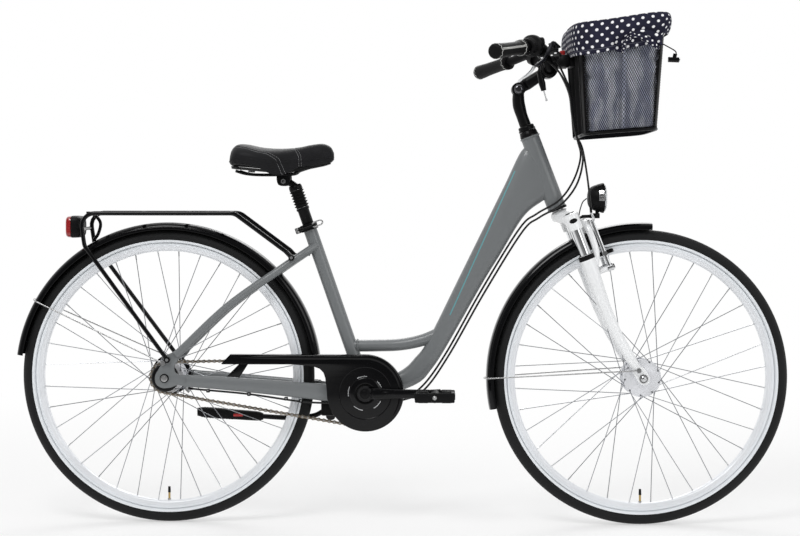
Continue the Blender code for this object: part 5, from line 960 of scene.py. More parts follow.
lug = rod("lug", KICK_PIVOT - kick_out * 0.022, KICK_PIVOT - kick_out * 0.0008, 0.011, SATIN_BLACK, 40,
    at=BIKE)
settle(join([mount, lug], "kickstand_bracket"), "frame")
print("frame with", len(tubes), "tubes and plates")

# %% [markdown]
# ## Fork
# The suspension fork is gloss white. Its cast lowers taper towards the axle, an arch joins
# them over the wheel, and chrome stanchions run into rubber seals. The legs and the crown
# are drawn through their own stations.

# %% Fork lowers, crown and stanchions
LEG = mm((320, 18, 18, 56, 18), (308, 18, 18.1, 56, 18.1), (305, 18, 18.7, 56, 18.6), (270, 17.5, 18, 56, 18),
    (196, 16, 15.2, 56.5, 15.2), (130, 19, 13.6, 57, 13.6), (92, 24, 12.6, 57.5, 12.6),
    (50, 31, 11.6, 58, 11.6), (20, 38, 8.5, 56, 8.5))
TIP = mm((30, 33), (48, 28), (56, 6), (54, -10), (43, -16), (32, -11), (26, 4), (24, 24))
ARCH = mm((30, -54, 285), (44, -50, 315), (48, -44, 350), (48, -30, 381), (48, 0, 392), (48, 30, 381),
    (48, 44, 350), (44, 50, 315), (30, 54, 285))
CROWN = mm((-60, 18, 406, 15, 16), (-42, 14, 416, 18, 15), (-22, 6, 423.5, 21, 13.5), (0, 2, 426, 23, 13),
    (22, 6, 423.5, 21, 13.5), (42, 14, 416, 18, 15), (60, 18, 406, 15, 16))


BOSS_Y, BOSS_UP = 0.042, 0.271


def leg_section(side):
    def section(t, a):
        s, d, r, y, w = between_rows(LEG, t)
        ahead, behind = between_rows(LEG, t - 0.02), between_rows(LEG, t + 0.02)
        along = Vector((ahead[1] - behind[1], 0, ahead[0] - behind[0])).normalized()
        across = Y_AXIS.cross(along)
        return STEER @ (Vector((d, side * y, s)) + across * r * cos(a) + Y_AXIS * w * sin(a))
    return section


def crown_section(t, a):
    y, d, s, hd, hs = between_rows(CROWN, t)
    e = 2.0 / 3.0
    return STEER @ Vector((d + hd * power(cos(a), e), y, s + hs * power(sin(a), e)))


lower_pieces = [wire("arch", curve_points([STEER @ Vector(p) for p in ARCH], 4), 0.008, FORK_PAINT, 6)]
foot = Vector((0.042, 0, 0)) + (Vector((0.006, 0, 0.392))).normalized() * 0.3657
in_steer = [rod("bracket", (0.048, 0, 0.39), foot, 0.0042, FORK_PAINT, 24)]
seals, crown_rods = [], []
for side in (-1, 1):
    lower_pieces.append(lofted("leg", leg_section(side), 40, 70, [FORK_PAINT]))
    at = STEER @ shift((0, side * 0.0525, 0))
    lower_pieces.append(plate("tip", smooth_outline(TIP), 0.005, at, FORK_PAINT, 0.0008))
    for name, near, far, r, mat, sides in (("boss", 0.025, 0.056, 0.0065, FORK_PAINT, 32),
            ("stud", 0.052, 0.074, 0.004, ZINC_STEEL, 16),
            ("stud_head", 0.0712, 0.0742, 0.0064, CHROME_PLATE, 6)):
        start, end = (near, side * BOSS_Y, BOSS_UP), (far, side * BOSS_Y, BOSS_UP)
        in_steer.append(rod(name, start, end, r, mat, sides))
    at = STEER @ shift((0.018, side * 0.056, 0))
    seals.append(revolved("seal", mm((14.3, 319.5), (16.5, 320.5), (18.3, 319), (18.7, 317), (18.4, 314),
        (18.8, 312), (18.9, 308.5), (18.1, 306.5), (14.3, 306.5)), at, [SOFT_RUBBER], 48))
    crown_rods.append(revolved("socket", mm((14.2, 383), (17.8, 383), (18.5, 383.8), (18.6, 418), (17.8, 422),
        (14, 423.2), (0, 423.4), (0, 390), (14.2, 390)), at, [FORK_PAINT], 48))
    crown_rods.append(revolved("stanchion", mm((0, 255), (13.8, 255), (14, 255.2), (14, 400), (0, 400)), at,
        [CHROME_PLATE], 48))
    cap = revolved("cap", mm((0, 425.6), (9, 425.2), (10.8, 424.4), (11.2, 422.8), (0, 422.8)), at,
        [MOULDED_BLACK], 32)
    crown_rods.append(cap)
for piece in in_steer:
    piece.data.transform(STEER)
settle(join(lower_pieces + in_steer, "fork_lowers_cast"), "fork_lowers")
settle(join(seals, "fork_seals"), "fork_lowers")
badge = [(0.0095 * cos(2 * pi * k / 40), 0.0055 * sin(2 * pi * k / 40)) for k in range(40)]
patch = plate("patch", badge, 0.0012, STEER @ shift((0.018, -0.0743, 0.405)), MOULDED_BLACK, 0.0004)
crown_body = lofted("crown", crown_section, 40, 60, [FORK_PAINT])
steerer = rod("steerer", (0, 0, 0.425), (0, 0, 0.6397), 0.0143, ZINC_STEEL, 32, at=STEER)
settle(join([crown_body, steerer] + crown_rods + [patch], "fork_crown_cast"), "fork_crown")
print("fork with", len(LEG), "stations a leg")

# %% [markdown]
# ## Chain
# The chain is the finest work on the bike: outer and inner links in turn, each a pair of
# waisted plates on rollers and pins. One pitch is half an inch. Two short links are
# modelled and laid end to end along the pitch line round the chainring and sprocket.

# %% Chain links
PITCH, RING_TEETH, COG_TEETH, CHAINLINE = 0.0127, 40, 18, -0.045
WAIST = 0.52
RING_R, COG_R = PITCH / (2 * sin(pi / RING_TEETH)), PITCH / (2 * sin(pi / COG_TEETH))
between = REAR_AXLE - BRACKET
lean = atan2(between.z, between.x)
tangent = asin((RING_R - COG_R) / between.length)
run = between.length * cos(tangent)
upper_angle, lower_angle = lean - pi / 2 + tangent, lean + pi / 2 - tangent
cog_wrap, ring_wrap = pi - 2 * tangent, pi + 2 * tangent
CHAIN_LENGTH = 2 * run + COG_R * cog_wrap + RING_R * ring_wrap
LINKS = 2 * round(CHAIN_LENGTH / PITCH / 2)


def outward(angle):
    return Vector((cos(angle), 0, sin(angle)))


def chain_point(t):
    """Point on the chain's pitch line, t metres along from the chainring's top."""
    t = t % CHAIN_LENGTH
    upper, lower = outward(upper_angle), outward(lower_angle)
    if t < run:
        return (BRACKET + upper * RING_R).lerp(REAR_AXLE + upper * COG_R, t / run)
    t -= run
    if t < COG_R * cog_wrap:
        return REAR_AXLE + outward(upper_angle + t / COG_R) * COG_R
    t -= COG_R * cog_wrap
    if t < run:
        return (REAR_AXLE + lower * COG_R).lerp(BRACKET + lower * RING_R, t / run)
    return BRACKET + outward(lower_angle + (t - run) / RING_R) * RING_R


def link_plate(y, half_height, mat):
    """Figure-of-eight side plate over one pitch, centred on its middle."""
    outline = []
    for k in range(22):
        a = 2 * pi * k / 22
        x = cos(a) * (PITCH / 2 + half_height * 0.95)
        reach = 1.0 - WAIST * (1.0 - min(1.0, (x / (PITCH / 2)) ** 2))
        outline.append((x, half_height * power(sin(a), 0.62) * reach))
    return plate("plate", outline, 0.001, shift((0, y, 0)), mat, 0.00015)


def make_link(outer):
    y = 0.0032 if outer else 0.002
    # Inner plates and rollers take the darker bronze: painted shade in the gaps between the outer links.
    mat = BRONZE_CHAIN if outer else SHADED_CHAIN
    pieces = [link_plate(side * y, 0.0049 if outer else 0.0045, mat) for side in (-1, 1)]
    for x in (-PITCH / 2, PITCH / 2):
        if outer:
            pieces.append(rod("pin", (x, -0.0044, 0), (x, 0.0044, 0), 0.0024, ZINC_STEEL, 12))
        else:
            pieces.append(rod("roller", (x, -0.0015, 0), (x, 0.0015, 0), 0.0037, SHADED_CHAIN, 12))
    return join(pieces, "link")


def link_places(first):
    out = []
    for k in range(first, LINKS, 2):
        a, b = chain_point(k * CHAIN_LENGTH / LINKS), chain_point((k + 1) * CHAIN_LENGTH / LINKS)
        x_dir = (b - a).normalized()
        out.append(BIKE @ axes_matrix((a + b) / 2 + Y_AXIS * CHAINLINE, x_dir, Y_AXIS, x_dir.cross(Y_AXIS)))
    return out


links = [copies(make_link(outer), link_places(first), "links") for outer, first in ((True, 0), (False, 1))]
settle(join(links, "chain_links"), "chain")
print("chain of", LINKS, "links,", round(CHAIN_LENGTH, 3), "m long")

# %% [markdown]
# ## Chainguard
# The guard is one gloss black moulding: a flat face with a rolled wall, a ridge that
# catches the light along its upper edge, and a stepped round boss with five slots. The
# ridge and boss give it the long highlights seen in the photograph.

# %% Chainguard
GUARD_R, GUARD_Y, GUARD_WALL = 0.0905, -0.0545, 0.002


def arc(radius, start, end, steps):
    """Points of an arc about the origin, angles in degrees."""
    return [(radius * cos(radians(start + (end - start) * k / steps)),
        radius * sin(radians(start + (end - start) * k / steps))) for k in range(steps + 1)]


outline = [(x, GUARD_R) for x in (-0.319, -0.25, -0.15, -0.06)] + arc(GUARD_R, 90, -180, 90)
outline += mm((-92.5, 20), (-94.5, 36), (-98.5, 48), (-107, 57), (-120, 62), (-140, 65), (-177, 67.5),
    (-338, 67.2), (-340, 69))
face = plate("face", outline, GUARD_WALL, CRANKS @ shift((0, GUARD_Y, 0)), GLOSS_BLACK, 0.0008)
strut = plate("strut", mm((-296, 70), (-327, 38.5), (-297, 35.8), (-275, 70)), 0.002,
    CRANKS @ shift((0, GUARD_Y + 0.0002, 0)), GLOSS_BLACK, 0.0006)
wall_line = [(x, GUARD_R) for x in (-0.319, -0.2, -0.06)] + arc(GUARD_R, 90, -108, 72)
ridge_line = mm((-316, 83.5), (-260, 84), (-180, 84.2), (-90, 84.2)) + arc(0.0842, 92, -60, 30)
RIDGE_FULL = 0.72


def on_guard(line, t):
    """Place at fraction t of a line on the guard, and the direction out from its middle."""
    spot = t * (len(line) - 1)
    i = min(int(spot), len(line) - 2)
    f = spot - i
    x, z = (line[i][k] * (1 - f) + line[i + 1][k] * f for k in (0, 1))
    return x, z, Z_AXIS if i < 3 else Vector((x, 0, z)).normalized()


def wall_section(t, a):
    """Thin upright wall that stands on the guard's edge."""
    x, z, out = on_guard(wall_line, t)
    across, thick = 0.0091 * power(cos(a), 0.5), 0.001 * power(sin(a), 0.6)
    return CRANKS @ (Vector((x, GUARD_Y + 0.0084 + across, z)) + out * (thick - 0.0006))


def ridge_section(t, a):
    """Flat oval that stands 2 mm proud of the guard's face and dies out round the front."""
    x, z, out = on_guard(ridge_line, t)
    size = min(1.0, 0.3 + 12 * t) * (1.0 if t < RIDGE_FULL else max(0.08, (1 - t) / (1 - RIDGE_FULL)))
    return CRANKS @ (Vector((x, GUARD_Y - 0.0024 * size * cos(a), z)) + out * 0.0056 * size * sin(a))


wall = lofted("wall", wall_section, 20, len(wall_line) - 1, [GLOSS_BLACK])
ridge = lofted("ridge", ridge_section, 20, 70, [GLOSS_BLACK], angle=70)
boss_rings = revolved("boss_rings", mm((21.6, -53.8), (21.6, -58), (22.2, -58.8), (24.5, -59.2), (27.5, -59),
    (30, -58.4), (33, -57.7), (35.5, -57), (37.2, -56), (37.8, -55.1), (38, -53.8)), CRANKS @ ON_Y,
    [GLOSS_BLACK], 96)
outer_ring = revolved("outer_ring", mm((60, -55), (60.6, -55.7), (61.8, -56.1), (63.2, -55.9), (64, -55),
    (64, -54), (60, -54)), CRANKS @ ON_Y, [GLOSS_BLACK], 96)
slots = []
for k in range(5):
    start = 72 * k + 12
    points = arc(0.0412, start, start + 34, 14) + arc(0.039, start + 34, start, 14)
    slots.append(plate("slot", points, 0.0012, CRANKS @ shift((0, GUARD_Y - 0.0008, 0)), POLISHED_ALLOY,
        0.0003))
settle(join([face, strut, wall, ridge, boss_rings, outer_ring] + slots, "chainguard_moulding"), "chainguard")
print("chainguard with", len(slots), "slots")

# %% [markdown]
# ## Cranks, sprocket and pedals
# The forged crank has a waisted arm with a raised tapering rib, and a cap over its bolt.
# City pedals carry rubber blocks, so each pedal's cage takes ribbed treads above and below.

# %% Cranks and pedals
CRANK_LENGTH, PEDAL_Y = 0.165, 0.117
for node, sign in (("crank_right", -1), ("crank_left", 1)):
    dress(node, GLOSS_BLACK, 50, ((lambda c: abs(c.y - CENTRING.y - CHAINLINE) < 0.0016, ZINC_STEEL),
        (lambda c: abs(c.y - CENTRING.y) > 0.079, ZINC_STEEL),
        (lambda c: (c - CRANKS.translation).length < 0.04 and abs(c.y - CENTRING.y) < 0.04, ZINC_STEEL)))
    out = -sign
    rib = [(out * x, out * z) for x, z in mm((15, 9.5), (30, 8), (64, 0), (30, -8), (15, -9.5))]
    pieces = [plate("rib", rib, 0.003, CRANKS @ shift((0, sign * 0.072, 0)), GLOSS_BLACK, 0.0013),
        revolved("cap", mm((0, 75.2), (2, 75.2), (2.4, 74.6), (8, 74.6), (8.8, 74), (11.8, 73.8), (12.4, 73),
        (12.4, 71.5), (0, 71.5)), CRANKS @ Matrix.Scale(sign, 4, Y_AXIS) @ ON_Y, [SATIN_BLACK], 40)]
    settle(join(pieces, node + "_relief"), node)
dress("rear_sprocket", BRONZE_CHAIN, 30)
dress("bottom_bracket", SATIN_BLACK, 40)
for node, side in (("pedal_right", -1), ("pedal_left", 1)):
    x, y = -side * CRANK_LENGTH, side * PEDAL_Y
    at = CRANKS @ shift((x, y, 0))
    cage = [block((0.092, 0.006, 0.023), (0, dy, 0), MOULDED_BLACK, 0.003, at) for dy in (-0.0355, 0.0355)]
    cage += [block((0.011, 0.072, 0.018), (dx, 0, 0), MOULDED_BLACK, 0.003, at) for dx in (-0.04, 0.04)]
    cage.append(rod("barrel", (0, -0.037, 0), (0, 0.037, 0), 0.0118, MOULDED_BLACK, 32, at=at))
    for dx in (-0.027, 0.027):
        cage.append(block((0.024, 0.064, 0.0215), (dx, 0, 0), SOFT_RUBBER, 0.0035, at))
        for dy in range(-3, 4):
            cage.append(block((0.0225, 0.0045, 0.0262), (dx, dy * 0.0086, 0), SOFT_RUBBER, 0.0012, at, 2))
    for dx in (-0.0462, 0.0462):
        cage.append(block((0.0016, 0.042, 0.012), (dx, 0, 0), MOULDED_BLACK, 0.0005, at))
    settle(join(cage, node + "_blocks"), node)
print("cranks and pedals")

# %% [markdown]
# ## Rear hub's brake, its arm and the kickstand
# A roller brake sits left of the rear hub and a black shift drum on the right, held by
# bright nuts. The folded kickstand is a bent steel leg with a ribbed plastic shoe, which
# carries a small red insert on each side.

# %% Rear end
NUT_END = mm((0, 78), (4.6, 77.8), (5, 77.2), (5.2, 74.5), (8, 74), (8.6, 73.2), (8.6, 70.2), (10.5, 70),
    (10.6, 68.8), (4.8, 68.8))
DRUM = mm((4.8, 56.6), (29, 56.6), (31, 56.2), (45, 54.8), (46.4, 53.6), (47.2, 50), (47.6, 47), (47, 44),
    (47.8, 41.5), (47, 40.2), (18, 40.2), (18, 51.2), (4.8, 51.2), (4.8, -52.2), (29, -52.2), (32.2, -53),
    (33, -54.5), (32.2, -56), (31, -59), (29.5, -60), (4.8, -60))
drum = revolved("drum", NUT_END + DRUM + flipped(NUT_END), WHEELS["rear"] @ ON_Y, [SATIN_BLACK, ZINC_STEEL],
    72, lambda c: 1 if abs(c.y - CENTRING.y) > 0.0736 or 0.0612 < abs(c.y - CENTRING.y) < 0.0688 else 0)
fins = []
for k in range(24):
    fins.append(block((0.012, 0.0018, 0.0022), (0.038, 0.056, 0), SATIN_BLACK, 0.0006,
        WHEELS["rear"] @ Matrix.Rotation(2 * pi * k / 24, 4, "Y"), 1))
settle(join([drum] + fins, "rear_axle_drums"), "roller_brake")
dress("roller_brake_arm", ZINC_STEEL, 35)

shoe_start, shoe_end = Vector((-0.3362, 0.06, 0.245)), Vector((-0.4954, 0.062, 0.2555))
SHOE = [(0.0, 0.0075, 0.008), (0.1, 0.01, 0.0112), (0.45, 0.0105, 0.012), (0.85, 0.011, 0.0125),
    (1.0, 0.008, 0.0095)]


def shoe_section(t, a):
    f, w, h = between_rows(SHOE, t)
    ribs = 0.0006 * (sin(150 * f) > 0.2) * (0.45 < f < 0.95)
    e = 2.0 / 3.5
    return BIKE @ (shoe_start.lerp(shoe_end, f) + Y_AXIS * (w + ribs) * power(cos(a), e)
        + Z_AXIS * (h + ribs) * power(sin(a), e))


leg_points = [KICK_PIVOT + kick_out * 0.006, (-0.19, 0.052, 0.259), (-0.215, 0.0515, 0.248),
    (-0.27, 0.052, 0.243), (-0.35, 0.06, 0.246)]
parts = [wire("leg", curve_points(leg_points, 6), 0.006, SATIN_BLACK, 5, at=BIKE)]
for name, near, far, r, mat, sides in (("eye", 0.0008, 0.011, 0.012, SATIN_BLACK, 48),
        ("bolt", 0.0108, 0.0128, 0.0065, ZINC_STEEL, 6)):
    parts.append(rod(name, KICK_PIVOT + kick_out * near, KICK_PIVOT + kick_out * far, r, mat, sides, at=BIKE))
parts.append(lofted("shoe", shoe_section, 40, 80, [SOFT_RUBBER]))
for y in (0.0515, 0.0698):
    parts.append(block((0.023, 0.004, 0.007), (-0.396, y, 0.249), RED_PLASTIC, 0.0012, BIKE))
settle(join(parts, "kickstand_leg"), "kickstand")
print("rear end with", len(fins), "cooling fins")

# %% [markdown]
# ## Rack and tail light
# The carrier is bent from round steel tube: two side loops that run down to the dropouts
# as legs, level cross bars and two slats. Its tail light is a rounded case with a faceted
# red lens.

# %% Rack
def rounded_path(corners, radius, steps=6):
    """Polyline whose inner corners are rounded to one bend radius."""
    pts = [Vector(p) for p in corners]
    out = [pts[0]]
    for before, corner, after in zip(pts, pts[1:], pts[2:]):
        a, b = (before - corner).normalized(), (after - corner).normalized()
        half = a.angle(b) / 2
        reach = min(radius / (sin(half) / cos(half)),
            0.45 * min((before - corner).length, (after - corner).length))
        bend = reach * sin(half) / cos(half)
        middle = corner + (a + b).normalized() * (bend / sin(half))
        start, end = corner + a * reach - middle, corner + b * reach - middle
        turn = start.rotation_difference(end)
        for k in range(steps + 1):
            out.append(middle + Matrix.Rotation(turn.angle * k / steps, 3, turn.axis) @ start)
    return out + [pts[-1]]


RACK_Z = 0.737
rack = []
for side in (-1, 1):
    path = rounded_path([(-0.2543, side * 0.056, 0.631), (-0.27, side * 0.058, 0.648),
        (-0.39, side * 0.06, RACK_Z), (-0.755, side * 0.06, RACK_Z), (-0.744, side * 0.062, 0.66),
        (-0.5465, side * 0.0742, 0.3912)], 0.03)
    rack.append(wire("side", path, 0.0051, GLOSS_BLACK, 6, smooth=False, at=BIKE))
    for x, y, z in ((-0.548, 0.0742, 0.3932), (-0.256, 0.0562, 0.633)):
        p = BIKE @ Vector((x, side * y, z))
        rack.append(y_rod("eye", p, -0.0045, 0.0045, 0.0072, GLOSS_BLACK, 28))
        rack.append(y_rod("bolt", p, side * 0.004, side * 0.0072, 0.004, CHROME_PLATE, 6))
    slat = [(x, side * 0.022, RACK_Z - 0.0009) for x in (-0.736, -0.409)]
    rack.append(wire("slat", slat, 0.0036, GLOSS_BLACK, 4, smooth=False, at=BIKE))
for x in (-0.735, -0.62, -0.51, -0.41):
    rack.append(block((0.0098, 0.1187, 0.0052), (x, 0, RACK_Z + 0.0016), GLOSS_BLACK, 0.001, BIKE))
light_bar = [(-0.752, -0.06, 0.7), (-0.752, 0.06, 0.7)]
rack.append(wire("light_bar", light_bar, 0.0041, GLOSS_BLACK, 4, smooth=False, at=BIKE))
hanger = curve_points([(-0.735, 0, RACK_Z), (-0.718, 0, 0.715), (-0.722, 0, 0.69), (-0.733, 0, 0.6722)], 6)
rack.append(wire("hanger", hanger, 0.0039, GLOSS_BLACK, 4, at=BIKE))
settle(join(rack, "rack_tubes"), "rack")

# %% [markdown]
# The light's case and lens are rounded boxes drawn section by section. The lens is dark
# red, and its small facets are relief on its surface.

# %% Tail light
LENS_RED = finish("lens_red", (0.32, 0.008, 0.01), 0.12, coat=0.8, shade=0.2)
tree = LENS_RED.node_tree
_, y, z = place_parts(tree)
facets = times(tree, wave(tree, y, 260), wave(tree, z, 260))
second_bump(LENS_RED, facets, 0.5, 0.0006)
CASE = mm((-756.2, 25.5, 14.5), (-759, 35, 21.5), (-763, 40, 25), (-770, 42.2, 25.9), (-781, 43, 26.2))
LENS = mm((-781.3, 42.5, 25.8), (-786, 42.4, 25.7), (-790, 41.5, 25), (-792.5, 39.5, 23.2),
    (-793.4, 37, 20.5))
LIGHT_Z = 0.7045


def box_section(rows):
    def section(t, a):
        x, w, h = between_rows(rows, t)
        return BIKE @ Vector((x, w * power(cos(a), 0.42), LIGHT_Z + h * power(sin(a), 0.42)))
    return section


settle(lofted("tail_light_case", box_section(CASE), 64, 24, [MOULDED_BLACK]), "tail_light")
settle(lofted("tail_light_red", box_section(LENS), 64, 16, [LENS_RED]), "tail_light_lens")
print("rack of", len(rack), "pieces and its light")

# %% [markdown]
# ## Seat post and bellows
# The post is satin black with a quick-release collar at the frame. Its spring is hidden in
# a rubber bellows whose folds are rounded ribs.

# %% Seat post
settle(revolved("post", mm((11.8, 310), (13.4, 310), (13.6, 310.4), (13.6, 455), (14.2, 456.2), (15.4, 456.6),
    (15.6, 457.2), (15.6, 461), (15.2, 461.6), (11.8, 461.6)), SEAT, [SATIN_BLACK], 56), "seatpost")
ribs = [(0.012, 0.4622), (0.015, 0.462)]
BELLOWS_FOLDS, BELLOWS_HEIGHT = 6, 0.0422
for k in range(BELLOWS_FOLDS):
    low = 0.4624 + BELLOWS_HEIGHT * k / BELLOWS_FOLDS
    for f, r in ((0.05, 0.0138), (0.2, 0.0136), (0.4, 0.015), (0.58, 0.0168), (0.7, 0.0175), (0.82, 0.017),
            (0.95, 0.015)):
        ribs.append((r, low + f * BELLOWS_HEIGHT / BELLOWS_FOLDS))
ribs += [(0.015, 0.5049), (0.012, 0.505)]
bellows = settle(revolved("bellows_folds", ribs, SEAT, [SOFT_RUBBER], 56, angle=70), "seatpost_bellows")
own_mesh(bellows)
collar_ring = revolved("ring", mm((16.3, 405.2), (19.8, 405), (20.4, 405.6), (20.6, 409), (20.2, 413.2),
    (20.6, 417.6), (20.4, 421), (19.8, 421.5), (16.3, 421.3)), SEAT, [SATIN_BLACK], 56)
COLLAR_S = 0.4132
ears = [block((0.015, 0.0105, 0.014), (-0.0262, y, COLLAR_S), SATIN_BLACK, 0.0018,
    SEAT) for y in (-0.0067, 0.0067)]
pin = rod("pin", (-0.027, -0.02, COLLAR_S), (-0.027, 0.018, COLLAR_S), 0.0029, ZINC_STEEL, 20, at=SEAT)
nut = rod("nut", (-0.027, 0.0122, COLLAR_S), (-0.027, 0.0188, COLLAR_S), 0.0058, CHROME_PLATE, 28, at=SEAT)
settle(join([collar_ring, pin, nut] + ears, "collar_band"), "seat_collar")
cam = rod("cam", (-0.027, -0.024, 0.4072), (-0.027, -0.024, 0.4192), 0.0036, ZINC_STEEL, 24, at=SEAT)
handle = wire("handle", curve_points(mm((-27, -24.5, 413.2), (-13, -26.2, 413.2), (2, -26.2, 413.4),
    (14, -24.6, 413.8)), 6), 0.003, SATIN_BLACK, 4, at=SEAT)
loop = wire("loop", mm((13, -24.6, 409.5), (23, -21.5, 409.5), (32, -14, 410.5), (35, -11.5, 415),
    (32, -14, 419.5), (23, -21.5, 420), (13, -24.6, 418), (11, -24.8, 413.8)), 0.0019, ZINC_STEEL, 4,
    cyclic=True, at=SEAT)
settle(join([cam, handle, loop], "collar_handle"), "seat_collar_lever")
slider = rod("slider", (0, 0, 0.3702), (0, 0, 0.51), 0.0109, CHROME_PLATE, 48, at=SEAT)
top_cap = revolved("top_cap", mm((0, 505.3), (15.5, 505.3), (16, 506), (15.8, 513), (14.8, 517.2),
    (13.6, 518.2), (0, 518.4)), SEAT, [SATIN_BLACK], 48)
NECK = [(-0.2486, 0.7975, 0.0125, 0.0125, 1.0, 0.0), (-0.256, 0.8035, 0.0124, 0.0124, 0.99, 0.14),
    (-0.266, 0.8095, 0.0122, 0.0118, 0.96, 0.29), (-0.276, 0.8135, 0.012, 0.007, 0.5, 0.87)]


def neck_section(t, a):
    x, z, w, d, nx, nz = between_rows(NECK, t)
    return BIKE @ (Vector((x, 0, z)) + Y_AXIS * w * power(cos(a), 0.8)
        + Vector((nx, 0, nz)).normalized() * d * power(sin(a), 0.8))


neck = lofted("neck", neck_section, 40, 20, [SATIN_BLACK])
barrel_at = BIKE @ Vector((-0.278, 0, 0.812))
barrel = y_rod("barrel", barrel_at, -0.015, 0.015, 0.0105, SATIN_BLACK, 40)
settle(join([slider, top_cap, neck, barrel], "post_head"), "seatpost_head")
print("seat post with", BELLOWS_FOLDS, "folds")

# %% [markdown]
# ## Saddle
# The saddle is the object's main soft piece: a foam pad under smooth black cover, wide at
# the back, pinched at the waist and narrow at the nose. Grey twin stitching follows a
# curve forward from the back and another round the nose, each stitch a short thread that
# sinks into the seam. The pad's own grain is relief, the seams are pressed into the form.

# %% Saddle cover
COVER = finish("saddle_cover", (0.0135, 0.0135, 0.015), 0.5, specular=0.12, scale=160, shade=0.2, relief=0.22,
    depth=0.0003)
THREAD = finish("grey_thread", (0.22, 0.22, 0.225), 0.7, specular=0.2, scale=500, shade=0.3, relief=0.3)
SADDLE = mm((-403.6, 864, 854, 42), (-398, 886, 849, 70), (-385, 900, 847, 86), (-360, 901, 845, 94),
    (-330, 895, 842, 93), (-300, 891.5, 840, 80), (-270, 891, 839.5, 60), (-240, 893.5, 842.5, 43),
    (-210, 899, 846.5, 32), (-185, 901, 850.5, 27), (-168, 894, 856, 20), (-159.7, 880, 863, 11))
SEAM_TABLE = [(0.02, 58.0), (0.1, 54.0), (0.19, 46.6), (0.32, 36.0), (0.425, 29.0), (0.487, 8.3),
    (0.535, -25.0), (0.565, -62.0)]
FLAP = [(drop,) for drop in (0.0, 0.0, 0.0, 0.001, 0.005, 0.018, 0.015, 0.002, 0.0, 0.0, 0.0, 0.0)]


def seam_angle(t):
    """Angle of the side seam at fraction t of the saddle's length."""
    for (ta, a), (tb, b) in zip(SEAM_TABLE, SEAM_TABLE[1:]):
        if t <= tb:
            return radians(a + (b - a) * max(0.0, t - ta) / (tb - ta))
    return radians(SEAM_TABLE[-1][1])


def nose_line(a):
    """Fraction of the length at which the nose seam crosses the section's angle a."""
    return 0.645 - 0.052 * max(0.0, sin(a)) ** 2


def saddle_point(t, a, lift=0.0):
    """Point of the saddle's cover; t runs from the back to the nose, a round the section."""
    x, top, bottom, half = between_rows(SADDLE, t)
    middle = bottom + (top - bottom) * 0.4
    c, s = cos(a), sin(a)
    if s >= 0:
        y = half * power(c, 0.8)
        z = middle + (top - middle) * s ** 0.9
        for seam in (seam_angle(t), pi - seam_angle(t)):
            z -= 0.0014 * max(0.0, 1.0 - abs(a - seam) / 0.09) ** 2 * (0.04 < t < 0.48)
        z -= 0.003 * max(0.0, 1.0 - abs(a - pi / 2) / 0.5) * max(0.0, 1.0 - abs(t - 0.35) / 0.35)
        z -= 0.0012 * max(0.0, 1.0 - abs(t - nose_line(a)) / 0.012)
    else:
        y = half * (0.94 - 0.1 * abs(s)) * power(c, 0.45)
        z = middle - (middle - bottom) * abs(s) ** 0.4
        z -= between_rows(FLAP, t)[0] * exp(-((abs(s) - 0.42) / 0.2) ** 2)
    out = Vector((0, c, s)).normalized() * lift
    return BIKE @ (Vector((x, y, z)) + out)


pad = lofted("saddle_cover_pad", saddle_point, 128, 150, [COVER], angle=60)
modify(pad, "SUBSURF", levels=1, render_levels=1)
settle(pad, "saddle_pad")

seed = rod("stitch", (-0.0019, 0, 0), (0.0019, 0, 0), 0.00055, THREAD, 6)


def stitch_places(run, pitch=0.0052):
    """Frames for single stitches spread evenly along a run of points."""
    out, left = [], 0.0
    for a, b in zip(run, run[1:]):
        length = (b - a).length
        while left < length:
            p = a.lerp(b, left / length)
            x_dir = (b - a).normalized()
            side_dir = x_dir.orthogonal().normalized()
            out.append(axes_matrix(p, x_dir, side_dir, x_dir.cross(side_dir)))
            left += pitch
        left -= length
    return out


places = []
for shift_t, shift_a in ((-0.008, -0.055), (0.008, 0.055)):
    for seam_side in (0, 1):
        run_points = []
        for k in range(161):
            t = 0.03 + 0.525 * k / 160
            b = seam_angle(t) + shift_a
            run_points.append(saddle_point(t + shift_t, (pi - b if seam_side else b) % (2 * pi), 0.0002))
        places += stitch_places(run_points)
    nose = [(nose_line(a) + shift_t, a) for a in [-0.5 + (pi + 1.0) * k / 80 for k in range(81)]]
    places += stitch_places([saddle_point(t, a % (2 * pi), 0.0002) for t, a in nose])
thread = copies(seed, places, "saddle_stitches")
settle(thread, "saddle_pad")

piping = []
for sign in (-1, 1):
    edge = (0.0 if sign > 0 else pi) - sign * 0.02
    run_points = [saddle_point(0.01 + 0.98 * k / 80, edge) for k in range(81)]
    piping.append(wire("piping", run_points, 0.0013, COVER, 3))
settle(join(piping, "saddle_piping"), "saddle_pad")
dress("saddle_base", MOULDED_BLACK, 40)

RAIL = mm((-218, 0, 844), (-223, 8, 843), (-242, 17, 837), (-260, 23, 829), (-330, 23, 827.5),
    (-365, 33, 830), (-388, 44, 836.5))
right = [(x, -y, z) for x, y, z in RAIL[:0:-1]]
rails = [wire("rails", curve_points(right + RAIL, 4), 0.0035, SATIN_BLACK, 4, at=BIKE)]
for y in (-0.033, 0.033):
    rails.append(rod("rear_bolt", (-0.356, y, 0.84), (-0.356, y, 0.8335), 0.0052, CHROME_PLATE, 24, at=BIKE))
for side in (-1, 1):
    rails.append(plate("ear", smooth_outline(mm((-290, 804), (-266, 804), (-264, 829), (-292, 829)), 4),
        0.006, BIKE @ shift((0, side * 0.02, 0)), SATIN_BLACK, 0.0008))
    rails.append(y_rod("nut", barrel_at, side * 0.0225, side * 0.027, 0.0062, CHROME_PLATE, 6))
rails.append(y_rod("bolt", barrel_at, -0.027, 0.027, 0.0037, ZINC_STEEL, 20))
settle(join(rails, "saddle_rail_wires"), "saddle_rails")
print("saddle with", len(places), "stitches")

